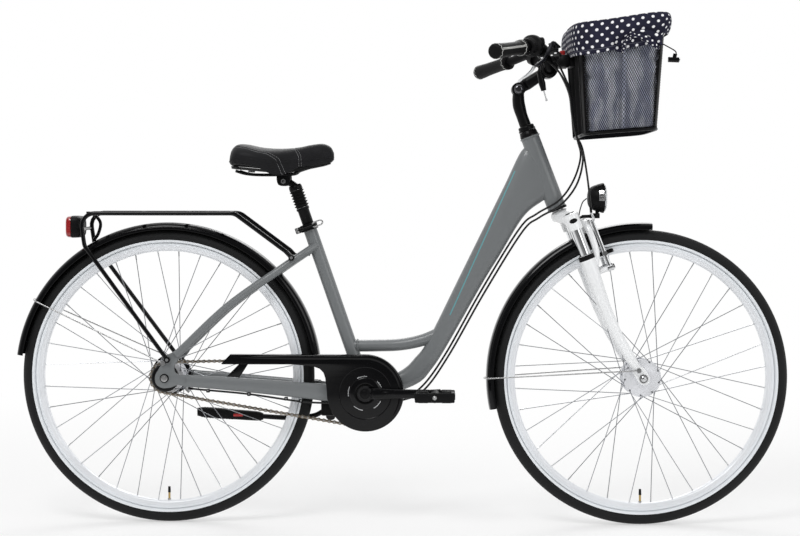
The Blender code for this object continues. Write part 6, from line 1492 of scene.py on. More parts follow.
# %% [markdown]
# ## Handlebar and grips
# The bar is swept back in one black tube. Each grip is a shaped rubber sleeve with a flat
# flange: pale cross stitches stand on the seam along it and round both its ends.

# %% Handlebar and grips
BAR = mm((346.8, 0, 1074.8), (346.8, 42, 1074.8), (330.4, 90, 1105), (305.4, 125, 1121), (280.4, 170, 1113),
    (199.5, 296.3, 1091.3))


def bar_points(side):
    return [Vector((x, side * y, z)) for x, y, z in BAR]


def on_bar(i, t, side):
    """Frame on the bar's leg i, t metres from its inner corner; Z points outward."""
    points = bar_points(side)
    z_dir = (points[i + 1] - points[i]).normalized()
    x_dir = (Vector((1, 0, 0)) - z_dir * z_dir.x).normalized()
    return TURN @ axes_matrix(points[i] + z_dir * t, x_dir, z_dir.cross(x_dir), z_dir)


def by_height(profile, h):
    """Radius of a (radius, height) profile at a height."""
    for (ra, ha), (rb, hb) in zip(profile, profile[1:]):
        if ha <= h <= hb and hb > ha:
            return ra + (rb - ra) * (h - ha) / (hb - ha)
    return profile[-1][0]


right_side, left_side = bar_points(-1), bar_points(1)
path = rounded_path(right_side[:0:-1] + left_side[1:], 0.04)
bar_tube = wire("bar", path, 0.011, BAR_BLACK, 6, smooth=False, at=TURN)
clamp_zone = y_rod("clamp_zone", BAR[0], -0.03, 0.03, 0.0126, BAR_BLACK, 48, at=TURN)
settle(join([bar_tube, clamp_zone], "handlebar_tube"), "handlebar")

GRIP = mm((0, 0), (18, 0), (18.5, 0.6), (18.5, 4.4), (18, 5.4), (16.5, 11.8), (15.6, 23), (15.2, 40),
    (15.5, 66), (16, 90), (16.8, 103), (17.2, 111), (17.1, 120), (16.5, 126.2), (14.8, 128.8), (12, 129.9),
    (0, 130.2))
STITCH_WHITE = finish("stitch_white", (0.62, 0.62, 0.6), 0.7, specular=0.2, scale=500, shade=0.2, relief=0.3)
end_leg = (Vector(BAR[5]) - Vector(BAR[4])).length
crosses = 0
for node, side in (("grip_right", -1), ("grip_left", 1)):
    at = on_bar(4, end_leg - 0.128, side)
    sleeve = revolved("sleeve", GRIP, at, [SOFT_RUBBER], 56, angle=70)
    thread_piece = rod("thread", (-0.0022, 0, -0.0022), (0.0022, 0, 0.0022), 0.0006, STITCH_WHITE, 6)
    spots = [(-side * radians(20), 0.008 + 0.0046 * k, (1, -1)) for k in range(25)]
    for h in (0.008, 0.1215):
        spots += [(2 * pi * k / 22, h, (1 if k % 2 else -1,)) for k in range(22)]
    places = []
    for a, h, leans in spots:
        out, across_dir = Vector((cos(a), sin(a), 0)), Vector((-sin(a), cos(a), 0))
        for lean in leans:
            places.append(at @ axes_matrix(out * (by_height(GRIP, h) + 0.0003) + Vector((0, 0, h)),
                across_dir * lean, -out * lean, Z_AXIS))
    crosses += len(places)
    settle(join([sleeve, copies(thread_piece, places, "threads")], node + "_sleeve"), node)
print("bar, grips and", crosses, "cross stitches")

# %% [markdown]
# ## Twist shifter and brake levers
# The shifter is a fat ribbed ring with a window that shows the gear by a red line. The
# levers are alloy blades, flattened where the fingers rest, in black perches
# whose adjusters take the cables.

# %% Shifter, perches and levers
at = on_bar(3, 0.006, -1)
ring = revolved("ring", mm((12.5, 0), (22.2, 0), (24, 1.6), (25.4, 6), (25.5, 12), (25.4, 17.8), (23.2, 20.6),
    (20.7, 22.6), (20, 25), (19.4, 26), (19.4, 39.5), (18.2, 42.5), (17, 43), (12.5, 43)), at,
    [MOULDED_BLACK], 64)
shifter = [ring]
for k in range(28):
    shifter.append(block((0.0014, 0.002, 0.0128), (0.0196, 0, 0.0326), SOFT_RUBBER, 0.0005,
        at @ Matrix.Rotation(2 * pi * k / 28, 4, "Z"), 1))
window_at = at @ shift((0.019, 0.001, 0.003)) @ Matrix.Rotation(radians(12), 4, "Z")
WINDOW = finish("gear_window", (0.05, 0.052, 0.055), 0.1, coat=1.0, shade=0.1)
shifter.append(block((0.02, 0.02, 0.019), (-0.002, 0.009, 0), MOULDED_BLACK, 0.006, window_at))
shifter.append(block((0.008, 0.015, 0.0016), (0.0, 0.0085, 0.0094), WINDOW, 0.0007, window_at))
shifter.append(block((0.0016, 0.015, 0.0016), (-0.0082, 0.0085, 0.009), RED_PLASTIC, 0.0005, window_at))
settle(join(shifter, "shifter_ring"), "twist_shifter")

for node, side in (("right", -1), ("left", 1)):
    at = on_bar(2, 0.016, side)
    band = revolved("band", mm((11.2, -7.5), (16, -7.5), (16.6, -6.9), (16.6, 6.9), (16, 7.5), (11.2, 7.5)),
        at, [SATIN_BLACK], 48)
    perch = [band, block((0.024, 0.018, 0.015), (0.021, side * 0.006, 0), SATIN_BLACK, 0.004, at)]
    for off in (-0.0092, 0.0092):
        perch.append(block((0.019, 0.0044, 0.029), (0.036, side * 0.0085 + off, 0.004), SATIN_BLACK, 0.002,
            at))
    start, end = Vector((0.03, side * 0.0085, -0.005)), Vector((0.033, side * 0.0085, -0.03))
    for f0, f1, r in ((0.0, 0.42, 0.0044), (0.42, 0.62, 0.0052), (0.62, 1.0, 0.0036)):
        perch.append(rod("adjuster", start.lerp(end, f0), start.lerp(end, f1), r, SATIN_BLACK, 20, at=at))
    pin_at = Vector((0.038, side * 0.0085, 0.006))
    perch.append(y_rod("pin", pin_at, -0.0122, 0.0122, 0.0032, CHROME_PLATE, 20, at=at))
    perch.append(rod("clamp_bolt", (0.0, side * 0.016, 0.0), (0.0, side * 0.019, 0.0), 0.0036, CHROME_PLATE,
        20, at=at))
    settle(join(perch, "perch_" + node), "brake_perch_" + node)
    mid = TURN @ Vector((0.3218, side * 0.17, 1.086))
    tip = TURN @ Vector((0.2948, side * 0.245, 1.064))
    spine = curve_points([at @ pin_at, at @ (pin_at + Vector((0.006, 0, 0.024))), mid, tip], 8)
    x_dir = TURN.to_3x3() @ Z_AXIS

    def blade_section(t, a):
        i = min(int(t * (len(spine) - 1)), len(spine) - 2)
        along_dir = (spine[i + 1] - spine[i]).normalized()
        flat_dir = along_dir.cross(x_dir).normalized()
        wide_dir = flat_dir.cross(along_dir)
        wide, thin = 0.0042 + 0.001 * sin(pi * t) + 0.0004 * t, 0.0034 - 0.001 * sin(pi * t)
        if t > 0.97:
            wide, thin = (size * max(0.35, (1 - t) / 0.03) for size in (0.0044, 0.004))
        return (spine[i].lerp(spine[i + 1], t * (len(spine) - 1) - i) + wide_dir * wide * power(cos(a), 0.8)
            + flat_dir * thin * power(sin(a), 0.8))

    # The near lever's blade and eye take the dark copy of the alloy: painted shade on the same alloy as the
    # far lever.
    skin = POLISHED_ALLOY if side > 0 else SHADED_ALLOY
    blade = lofted("blade", blade_section, 20, 60, [skin])
    eye = y_rod("eye", pin_at, -0.0045, 0.0045, 0.0079, skin, 36, at=at)
    settle(join([blade, eye], "lever_" + node), "brake_lever_" + node)
print("levers and shifter of", len(shifter), "pieces")

# %% [markdown]
# ## Stem
# The quill's column leans forward into two ears. A short extension turns between them on
# one bolt, whose bright head shows on both sides, and clamps the bar at its far end.

# %% Stem
PIVOT_AT = Vector((0.0144, 0, 0.7384))
CLAMP_AT = Vector((0.097, 0, 0.7563))
COLUMN = mm((653.3, 0, 13.8), (670, 0.2, 13.4), (680, 0.5, 13.5), (693, 1.5, 14.6), (705, 3, 15),
    (714, 5.4, 15), (722, 8, 15), (730, 11.2, 14.6), (738.4, 14.4, 14))


def column_section(t, a):
    s, d, r = between_rows(COLUMN, t)
    return STEER @ Vector((d + r * cos(a), r * sin(a), s))


column = lofted("column", column_section, 40, 32, [SATIN_BLACK])
stem_ears = []
for side in (-1, 1):
    for near, far, r in ((0.0084, 0.0146, 0.016), (0.0146, 0.0155, 0.0152)):
        stem_ears.append(y_rod("ear", PIVOT_AT, side * near, side * far, r, SATIN_BLACK, 56, at=STEER))
settle(join([column] + stem_ears, "stem_column"), "stem_quill")
ahead = (CLAMP_AT - PIVOT_AT).normalized()
above = Vector((-ahead.z, 0, ahead.x))
REACH = mm((6, 12.5, 8), (18, 13.5, 8.2), (23, 14.5, 14), (35, 14.3, 15.8), (50, 13.8, 16.5), (68, 13, 17),
    (84.5, 12.5, 17.5))


def reach_section(t, a):
    along, h, w = between_rows(REACH, t)
    middle = PIVOT_AT + ahead * along
    return STEER @ (middle + above * h * power(sin(a), 0.7) + Y_AXIS * w * power(cos(a), 0.7))


arm = [lofted("reach", reach_section, 40, 30, [SATIN_BLACK])]
arm.append(y_rod("tongue", PIVOT_AT, -0.0082, 0.0082, 0.0158, SATIN_BLACK, 56, at=STEER))
for side in (-1, 1):
    arm.append(revolved("pivot_bolt", mm((0, 15.5), (11, 15.5), (11.2, 16.2), (10.6, 16.8), (9.8, 16.6),
        (9.2, 17.6), (7.6, 18.8), (5, 19.4), (4, 19.4), (3.8, 17.2), (0, 17.2)),
        STEER @ shift(PIVOT_AT) @ Matrix.Scale(side, 4, Y_AXIS) @ ON_Y, [DARK_CHROME], 36))
arm.append(revolved("clamp", mm((12.9, -21), (19.8, -21), (20.5, -20.3), (20.5, 20.3), (19.8, 21),
    (12.9, 21)), STEER @ shift(CLAMP_AT) @ ON_Y, [SATIN_BLACK], 64))
for dy in (-0.013, 0.013):
    p = CLAMP_AT + ahead * 0.0165 - above * 0.008 + Y_AXIS * dy
    arm.append(rod("face_bolt", p, p + ahead * 0.0035, 0.0032, CHROME_PLATE, 24, at=STEER))
settle(join(arm, "stem_arm"), "stem_extension")
settle(revolved("locknut", mm((14, 640.4), (20, 640.3), (20.5, 640.8), (20.4, 644), (19, 644.6), (19, 650),
    (18.2, 651.5), (16.5, 652.8), (14, 653)), STEER, [SATIN_BLACK], 56), "headset_locknut")
print("stem with", len(arm), "pieces")

# %% [markdown]
# ## Headlight
# A black round case with bright side panes holds the lens. Reflector and lens are one
# bright coated finish whose facets are relief, so nothing is traced through glass.

# %% Headlight
LAMP = Vector((0.4682, 0.0, 0.773))
on_x = TURN @ shift(LAMP) @ Matrix.Rotation(pi / 2, 4, "Y")
CASE_TURN = mm((0, -28), (6, -28), (12, -27.6), (17.5, -26.2), (22.2, -23.6), (26.2, -19.6), (29, -14),
    (31.2, -7.8), (33, -2), (34.3, 3), (35.2, 6), (35.4, 8), (35.2, 10), (34.4, 10.4), (33.1, 10), (31.8, 5),
    (0, 5))
lamp = [revolved("case", CASE_TURN, on_x, [MOULDED_BLACK], 72)]
lamp.append(block((0.008, 0.007, 0.018), (0.463, 0, 0.737), MOULDED_BLACK, 0.0012, TURN))
lamp.append(rod("lug", (0.463, -0.0035, 0.731), (0.463, 0.0035, 0.731), 0.0055, MOULDED_BLACK, 32, at=TURN))
for side in (-1, 1):
    for k in range(-3, 2):
        turned = on_x @ Matrix.Rotation(side * (pi / 2 - k * 0.15), 4, "Z")
        lamp.append(block((0.0024, 0.0049, 0.0125), (0, 0, 0), CHROME_PLATE, 0.0005,
            turned @ shift((0.034, 0, 0.0022)) @ Matrix.Rotation(0.23, 4, "Y"), 1))
settle(join(lamp, "lamp_case"), "headlight")
LAMP_FACE = finish("lamp_face", (0.62, 0.64, 0.66), 0.08, metal=0.75, coat=1.0, shade=0.1, relief=0.0)
tree = LAMP_FACE.node_tree
_, y, z = place_parts(tree)
facets = plus(tree, wave(tree, y, 150), wave(tree, z, 110))
second_bump(LAMP_FACE, facets, 0.55, 0.001)
settle(revolved("lens", mm((0, 5.6), (30.8, 5.6), (32.6, 9), (32.6, 11), (31.6, 13.4), (30, 14.6), (25, 16),
    (18, 17.4), (9, 18.2), (0, 18.5)), on_x, [LAMP_FACE], 72, angle=60), "headlight_lens")
dress("lamp_bracket", SATIN_BLACK, 40)

# %% [markdown]
# ## Rim brake
# Linear-pull arms of polished alloy turn on bosses in front of the fork legs. Each carries a
# rubber shoe on a threaded stud with washers, a return spring beside it, and the bent
# guide tube brings the cable across to the far arm.

# %% Rim brake
ARM = mm((267, 42, 5.5, 6), (281, 41.8, 5.4, 5.2), (295, 41.5, 5.2, 4.5), (312, 40.4, 5.1, 4.2),
    (330, 39.5, 5, 4), (350, 38.4, 4.9, 3.9), (370, 37.5, 4.8, 3.8), (391, 37.5, 4, 3.6))
ARM_D, PAD_S = 0.0628, 0.3062
for node, side in (("brake_arm_right", -1), ("brake_arm_left", 1)):
    def arm_section(t, a):
        s, y, hd, hy = between_rows(ARM, t)
        return STEER @ Vector((ARM_D + hd * power(cos(a), 0.66), side * y + hy * power(sin(a), 0.66), s))

    y = side * 0.042
    pieces = [lofted("arm", arm_section, 28, 40, [POLISHED_ALLOY])]
    for near, far, r, mat in ((0.0567, 0.059, 0.0088, POLISHED_ALLOY), (0.059, 0.0672, 0.008, POLISHED_ALLOY),
            (0.0672, 0.07, 0.0088, POLISHED_ALLOY)):
        pieces.append(rod("hub", (near, y, 0.271), (far, y, 0.271), r, mat, 40, at=STEER))
    for near, far, r, mat, sides in ((0.018, 0.048, 0.003, ZINC_STEEL, 20),
            (0.0262, 0.0285, 0.0062, ZINC_STEEL, 32), (0.03, 0.033, 0.007, SATIN_BLACK, 32),
            (0.0438, 0.0458, 0.006, ZINC_STEEL, 32), (0.0455, 0.0482, 0.0052, CHROME_PLATE, 6)):
        pieces.append(rod("stud", (ARM_D, side * near, PAD_S), (ARM_D, side * far, PAD_S), r, mat, sides,
            at=STEER))
    pieces.append(block((0.052, 0.008, 0.009), (0.061, side * 0.0178, PAD_S), SOFT_RUBBER, 0.0018, STEER))
    for k in range(5):
        pieces.append(block((0.0018, 0.003, 0.0092), (0.041 + 0.01 * k, side * 0.0216, PAD_S), SATIN_BLACK,
            0.0004, STEER, 1))
    spring = curve_points([(0.0585, side * 0.048, 0.276), (0.0585, side * 0.0462, 0.3),
        (0.059, side * 0.044, 0.335), (0.0595, side * 0.0425, 0.35)], 5)
    pieces.append(wire("spring", spring, 0.0009, CHROME_PLATE, 3, at=STEER))
    if side < 0:
        guide = curve_points(mm((62.8, -37, 388), (64, -48, 388), (65.5, -60, 394), (65, -62, 408)), 8)
        pieces.append(wire("guide", guide, 0.0027, CHROME_PLATE, 4, at=STEER))
    settle(join(pieces, node + "_forging"), node)
print("rim brake")

# %% [markdown]
# ## Basket
# The basket is a tub of black expanded-metal mesh. The mesh is made as real openings: a
# grid's cells are poked into diamonds and turned into bars. Solid black strips close its
# corners, and a tray and a rim wire stiffen it.

# %% Basket mesh
FLOOR, EDGE, RIM_RISE = (0.915, 0.928), (1.112, 1.147), 0.035


def basket_point(a, t, inset, lift, shrink=1.0):
    """Point of the basket at angle a and height fraction t; the rim slopes up to the front."""
    back = 0.4185 - 0.0165 * t + inset - 0.0002
    front = 0.591 + 0.0165 * t - inset - 0.0002
    half_y = (0.138 + 0.027 * t - inset) * shrink
    middle, half_x = (back + front) / 2, (front - back) / 2 * shrink
    x = middle + half_x * power(cos(a), 1 / 3)
    y = half_y * power(sin(a), 1 / 3)
    f = (x - back) / (front - back)
    low = FLOOR[0] + (FLOOR[1] - FLOOR[0]) * f
    high = EDGE[0] + (EDGE[1] - EDGE[0]) * f + RIM_RISE
    return Vector((x, y, low + (high - low) * t + lift))


def even_angles(count, start=-pi, end=pi):
    """Angles that stand evenly along the basket's outline."""
    steps = 4000
    fine = [start + (end - start) * k / steps for k in range(steps + 1)]
    points = [basket_point(a, 0.5, 0.0, 0.0) for a in fine]
    far = [0.0]
    for p, q in zip(points, points[1:]):
        far.append(far[-1] + (q - p).length)
    out, i = [], 0
    for k in range(count + 1):
        goal = far[-1] * k / count
        while i < steps - 1 and far[i + 1] < goal:
            i += 1
        out.append(fine[i] + (fine[i + 1] - fine[i]) * (goal - far[i]) / max(far[i + 1] - far[i], 1e-9))
    return out


def mesh_wall(name, start, end, across, up):
    """Wall of diamond openings between two angles of the outline."""
    turns = even_angles(across, start, end)

    def place(u, v):
        return TURN @ basket_point(turns[round(u * across)], 0.03 + 0.96 * v, 0.001, 0.0)

    piece = shaped_grid(name, across, up, place, [SATIN_BLACK])
    corners = len(piece.data.vertices)
    select_only(piece)
    bpy.ops.object.mode_set(mode="EDIT")
    bpy.ops.mesh.select_all(action="SELECT")
    bpy.ops.mesh.poke()
    bpy.ops.mesh.select_all(action="DESELECT")
    bpy.ops.object.mode_set(mode="OBJECT")
    faces_of = [0] * len(piece.data.edges)
    for loop in piece.data.loops:
        faces_of[loop.edge_index] += 1
    for edge in piece.data.edges:
        edge.select = faces_of[edge.index] == 2 and max(edge.vertices) < corners
    bpy.ops.object.mode_set(mode="EDIT")
    bpy.context.tool_settings.mesh_select_mode = (False, True, False)
    bpy.ops.mesh.dissolve_edges(use_verts=False)
    bpy.ops.mesh.select_all(action="SELECT")
    bpy.ops.mesh.wireframe(thickness=0.0017, use_replace=True, use_even_offset=False)
    bpy.context.tool_settings.mesh_select_mode = (True, False, False)
    bpy.ops.object.mode_set(mode="OBJECT")
    smooth_shade(30)
    return piece


SEAM = radians(-43)
walls = []
for name, start in (("basket_mesh_front", SEAM), ("basket_mesh_back", SEAM + pi)):
    walls.append(mesh_wall(name, start, start + pi, 84, 24))
    walls[-1].data.name = name
for mesh in walls:
    settle(mesh, "basket")
print("basket mesh of", sum(len(m.data.polygons) for m in walls), "faces")

# %% Basket frame
stiff = []
for low_a, high_a in ((28, 50), (-50, -28), (141, 160), (-160, -141)):
    def strip_place(u, v):
        return TURN @ basket_point(radians(low_a + (high_a - low_a) * u), 0.01 + 0.98 * v, -0.0002, 0.0)

    strip = shaped_grid("strip", 24, 40, strip_place, [MOULDED_BLACK])
    modify(strip, "SOLIDIFY", thickness=0.0022, offset=-1.0)
    stiff.append(strip)
for a in (-150, 150):
    for beside in (-8, 8):
        line = [basket_point(radians(a + beside), 0.02 + 0.96 * k / 20, -0.0012, 0.0) for k in range(21)]
        stiff.append(wire("post", line, 0.003, SATIN_BLACK, 3, at=TURN))
for a in (-43, 43):
    for k in range(38):
        p = [basket_point(radians(a + d), 0.04 + 0.92 * k / 38, -0.0006, 0.0) for d in (-9, -5, 0, 5, 9)]
        stiff.append(wire("rib", p, 0.0009, MOULDED_BLACK, 1, at=TURN))
TRAY = [(0.0, 0.0, 0.0, 0.02), (0.0, 0.004, 0.0, 1.0), (0.01, 0.0, 0.0, 1.0), (0.032, -0.0006, 0.0, 1.0),
    (0.034, 0.0008, 0.0, 1.0), (0.032, 0.002, 0.0, 1.0), (0.012, 0.0022, 0.0, 1.0), (0.0, 0.006, 0.002, 1.0),
    (0.0, 0.0, 0.002, 0.02)]
COLUMNS = 120
turns_all = even_angles(COLUMNS)


def tray_place(u, v):
    return TURN @ basket_point(turns_all[round(u * COLUMNS)], *TRAY[round(v * len(TRAY)) % len(TRAY)])


stiff.append(shaped_grid("tray", COLUMNS, len(TRAY), tray_place, [MATTE_BLACK]))
for t, lift, r in ((1.0, -0.002, 0.0034), (0.012, 0.0, 0.0036)):
    edge = [basket_point(a, t, 0.001, lift) for a in turns_all[:-1]]
    stiff.append(wire("rim", edge, r, SATIN_BLACK, 3, cyclic=True, at=TURN))
stiff.append(block((0.0122, 0.06, 0.026), (0.4009, 0, 1.0935), MOULDED_BLACK, 0.0022, TURN))
settle(join(stiff, "basket_frame"), "basket")
print("basket frame of", len(stiff), "parts")

# %% [markdown]
# ## Liner, band and bow
# A cloth bag lines the basket and a printed band is sewn to its rim and turned down
# outside. Three cut sheets make them: the bag with creases where it is squeezed into the
# tub, the band with soft folds, and the ribbon of the bow. Dots are staggered rows drawn
# in the cloth's own map, so they follow each fold.

# %% Cloth finishes
BAG_CLOTH = finish("bag_cloth", (0.84, 0.87, 0.98), 0.85, specular=0.15, scale=300, shade=0.18, relief=0.3)
DOTS_ALONG, DOTS_UP, THREAD_PITCH = 0.0215, 0.0125, 0.0009


def dotted(name, width, length, hem=False):
    """Navy cloth printed with white dots, sized for a sheet of width x length metres."""
    mat = finish(name, (0.02, 0.02, 0.04), 0.85, specular=0.15, scale=300, shade=0.25, relief=0.3)
    tree = mat.node_tree
    u, v, _ = place_parts(tree, "UV")
    row = times(tree, v, length / DOTS_UP)
    odd = math_node(tree, "MODULO", math_node(tree, "FLOOR", row), 2.0)
    column = plus(tree, times(tree, u, round(width / DOTS_ALONG)), times(tree, odd, 0.5))
    squares = []
    for count, pitch in ((column, DOTS_ALONG), (row, DOTS_UP)):
        off_dot = times(tree, minus(tree, math_node(tree, "FRACT", count), 0.5), pitch)
        squares.append(times(tree, off_dot, off_dot))
    away = math_node(tree, "SQRT", plus(tree, *squares))
    repaint(mat, ramp(tree, away, 0.0031, 0.0036, 1.0, 0.0), (0.82, 0.82, 0.84))
    if hem:
        line = ramp(tree, math_node(tree, "ABSOLUTE", minus(tree, v, 0.922)), 0.004, 0.008, 1.0, 0.0)
        repaint(mat, line, (0.1, 0.1, 0.13))
        second_bump(mat, line, 0.5, -0.0006)
    else:
        threads = [wave(tree, way, round(size / THREAD_PITCH)) for way, size in ((u, width), (v, length))]
        second_bump(mat, times(tree, *threads), 0.15, 0.0002)
    return mat


tree = BAG_CLOTH.node_tree
stretch = add_node(tree, "Mapping")
feed(stretch, Vector=add_node(tree, "TexCoord").outputs["UV"], Rotation=(0.0, 0.0, 0.5),
    Scale=(34.0, 3.2, 1.0))
folded = noise(tree, stretch.outputs[0], 1.0, 2.0)
# The cloth is darker where the fold pattern runs: painted shade in the creases. The same pattern also gives
# them relief.
repaint(BAG_CLOTH, ramp(tree, folded, 0.4, 0.62, 0.6, 0.0), (0.15, 0.17, 0.3))
second_bump(BAG_CLOTH, ramp(tree, folded, 0.4, 0.62, 0.4, 1.0), 0.6, 0.004)
DOT_BAND = dotted("dotted_band", 1.02, 0.1223, hem=True)
DOT_RIBBON = dotted("dotted_ribbon", 0.11, 0.024)

# %% Bag and band
def ridge(p):
    return max(0.0, 1.0 - 2.2 * abs(folds.noise(p)))


def bag_place(u, v):
    a = turns_all[round(u * COLUMNS)]
    t = max(0.0, (v - 0.25) / 0.75)
    if v <= 0.25:
        flat = basket_point(a, 0.0, 0.0095, 0.0048, max(v / 0.25, 0.004))
        return TURN @ (flat + Vector((0, 0, 0.0025 * folds.noise(flat * 34))))
    far = u * 9.0
    fine = ridge(Vector((far * 1.9 - 4.0 * t, 1.4 * t, 7.0)))
    crease = ridge(Vector((far + 3.2 * t, 1.1 * t, 2.0))) ** 3 + 0.6 * fine ** 3
    soft = 0.5 + 0.5 * folds.noise(Vector((far * 1.4, t * 3, 1.0)))
    slack = sin(pi * min(t * 1.1, 1.0)) ** 0.6
    return TURN @ basket_point(a, 0.02 + 0.955 * t, 0.004 + slack * (0.003 * soft + 0.011 * crease), 0.0)


bag = shaped_grid("liner_bag", COLUMNS, 72, bag_place, [BAG_CLOTH], angle=80)
BAND_ROWS = [(0.955, 0.0085, 0.0), (0.985, 0.0075, 0.01), (1.0, 0.0062, 0.02), (1.0, 0.003, 0.024),
    (1.0, -0.002, 0.0252), (1.0, -0.0072, 0.0232), (1.0, -0.0104, 0.017), (1.0, -0.012, 0.007),
    (1.0, -0.0124, -0.005), (0.97, -0.0118, -0.011), (0.94, -0.0106, -0.017), (0.905, -0.0086, -0.018),
    (0.87, -0.0068, -0.018)]
BAND_STEPS, BAND_CELLS = 200, 48
BAND_FINE = [between_rows(BAND_ROWS, k / BAND_STEPS) for k in range(BAND_STEPS + 1)]
BAND_FAR = [0.0]
for p, q in zip(BAND_FINE, BAND_FINE[1:]):
    BAND_FAR.append(BAND_FAR[-1] + (basket_point(-pi / 2, *q) - basket_point(-pi / 2, *p)).length)
BAND_LENGTH = BAND_FAR[-1]
print("band is", round(BAND_LENGTH, 4), "m from rim to hem")


def band_row(v):
    """The band's profile at an even fraction of its length."""
    return BAND_FINE[min(sum(1 for far in BAND_FAR if far < v * BAND_LENGTH), BAND_STEPS)]


def band_place(u, v):
    a = turns_all[round(u * COLUMNS)]
    t, inset, lift = band_row(round(v * BAND_CELLS) / BAND_CELLS)
    far = u * 16.0
    loose = max(0.0, (v - 0.35) / 0.65)
    ripple = 0.0024 * folds.noise(Vector((far, v * 1.6, 3.0)))
    ripple += 0.0018 * folds.noise(Vector((far * 2.3, v * 2.5, 9.0)))
    drop = 0.0035 * folds.noise(Vector((u * 7.0, 0.5, 5.0))) * loose
    crown = 0.003 * folds.noise(Vector((u * 6.0, 2.5, 1.0)))
    near_bow = max(0.0, 1.0 - abs(a + 1.35) / 0.35)
    forward = (cos(a) + 1.0) / 2.0
    lower = 0.0095 * forward * min(1.0, v / 0.2)
    gather = 0.026 * max(0.0, min(1.0, (a + 1.25) / 0.35)) * (a < 1.2) * loose ** 1.2
    inset -= 0.6 * abs(ripple) * (0.3 + loose) + 0.0006
    return TURN @ basket_point(a, t, inset, lift + drop + crown - lower + gather + 0.006 * near_bow * loose)


band = shaped_grid("liner_band", COLUMNS, BAND_CELLS, band_place, [DOT_BAND], angle=80)
for cloth in (bag, band):
    modify(cloth, "SUBSURF", levels=1, render_levels=1)
    modify(cloth, "SOLIDIFY", thickness=0.001, offset=1.0 if cloth is bag else 0.0)
    print(cloth.name, "one side's area", round(sum(p.area for p in cloth.data.polygons) / 2, 4), "m2")
    settle(cloth, "basket_liner")

# %% Bow
KNOT, RIBBON_LEAN = Vector((0.52, -0.179, 1.14)), Vector((0, -0.25, 1.0))
RIBBONS = (("loop_left", mm((0, 1, 0), (-14, -7, -6), (-32, -8, -20), (-26, -2, -30), (-10, 1, -14),
    (0, 2, -1)), (0.008, 0.015, 0.021, 0.02, 0.013, 0.008)), ("loop_right", mm((0, 1, 0), (22, -7, 4),
    (52, -9, -6), (66, -3, -14), (44, 1, -12), (14, 2, -3)), (0.008, 0.016, 0.022, 0.02, 0.014, 0.008)),
    ("tail_left", mm((0, -3, -2), (-16, -9, -12), (-22, -10, -30), (-24, -8, -44)),
    (0.008, 0.012, 0.014, 0.003)), ("tail_right", mm((0, -3, -2), (24, -10, -6), (46, -11, -20),
    (60, -8, -34)), (0.008, 0.012, 0.014, 0.003)))
KNOT_ROWS = mm((-7, 4, 3), (-5, 6.6, 4.8), (0, 7.4, 5.6), (5, 6.8, 4.8), (7, 4.2, 3))


def ribbon(name, path, widths):
    """Flat leaning ribbon along a path from the knot, with a width at each point."""
    line = curve_points([KNOT + Vector(p) for p in path], 8)
    last = len(line) - 1

    def place(u, v):
        i = round(u * last)
        ahead_dir = (line[min(i + 1, last)] - line[max(i - 1, 0)]).normalized()
        up_dir = (RIBBON_LEAN - ahead_dir * RIBBON_LEAN.dot(ahead_dir)).normalized()
        w = between_rows([(x,) for x in widths], i / last)[0]
        curl = ahead_dir.cross(up_dir) * 0.0015 * cos(2 * pi * (v - 0.5))
        return TURN @ (line[i] + up_dir * w * (v - 0.5) + curl)

    piece = shaped_grid(name, last, 10, place, [DOT_RIBBON], angle=80, merge=0.0)
    modify(piece, "SOLIDIFY", thickness=0.0008, offset=0.0)
    return piece


def knot_section(t, a):
    x, high, deep = between_rows(KNOT_ROWS, t)
    return TURN @ (KNOT + Vector((x, -0.002 + deep * sin(a), high * cos(a))))


bow_piece = join([ribbon(*row) for row in RIBBONS], "liner_bow")
knot = lofted("liner_bow_knot", knot_section, 24, 12, [DOT_RIBBON])
knot.data.name = knot.name
settle(bow_piece, "basket_liner")
settle(knot, "basket_liner")
print("bow's area", round(sum(p.area for p in bow_piece.data.polygons) / 2, 4), "m2")

# %% [markdown]
# A drawn elastic hangs at the front of the band and ends in a spring toggle. The basket's
# adapter, its red button and a loose cable end are drawn with it.

# %% Elastic and toggle
CORD = mm((560, -180, 1129), (583, -172, 1124), (608, -145, 1116), (626, -131, 1108), (629, -128, 1101))
elastic = [wire("elastic", curve_points(CORD, 6), 0.0014, SATIN_BLACK, 3, at=TURN)]
toggle_at = TURN @ Vector((0.623, -0.127, 1.09))
for name, start, end, r, mat, sides in (("toggle", (-0.0125, 0, -0.001), (0.0125, 0, -0.002), 0.0062,
        GLOSS_BLACK, 28), ("toggle_pin", (0.0125, 0, -0.002), (0.0145, 0, -0.0022), 0.004, CHROME_PLATE, 24),
        ("toggle_button", (0.002, 0, 0.004), (0.004, 0, 0.012), 0.0046, GLOSS_BLACK, 24)):
    elastic.append(rod(name, toggle_at + Vector(start), toggle_at + Vector(end), r, mat, sides))
settle(join(elastic, "liner_elastic"), "basket_liner")
HANGING = mm((316.4, -100, 1061.4), (323, -100, 1036), (327, -100, 1019), (332.7, -100, 999),
    (333.9, -100, 995))
sleeve = []
for start, end, (name, r, mat, sides, r_end) in zip(HANGING, HANGING[1:],
        (("sleeve", 0.0056, SATIN_BLACK, 24, 0.008), ("sleeve", 0.008, SATIN_BLACK, 24, 0.006),
        ("end", 0.0016, CHROME_PLATE, 16, None), ("cap", 0.0026, CHROME_PLATE, 16, None))):
    sleeve.append(rod(name, start, end, r, mat, sides, r_end, at=TURN))
STUB = mm((326, -96, 1090), (319, -99, 1080), (315.5, -100, 1066), (316.4, -100, 1061.4))
sleeve.append(wire("stub", curve_points(STUB, 5), 0.0023, SATIN_BLACK, 3, at=TURN))
settle(join(sleeve, "hanging_cable_end"), "brake_perch_right")
dress("basket_adapter", MOULDED_BLACK, 40)
settle(block((0.044, 0.05, 0.02), (0.372, 0, 1.097), MOULDED_BLACK, 0.004, TURN), "basket_adapter")
dress("basket_button", RED_PLASTIC, 40)
settle(block((0.0124, 0.0324, 0.01), (0.379, 0, 1.1145), RED_PLASTIC, 0.0024, TURN), "basket_button")
print("elastic and adapter")
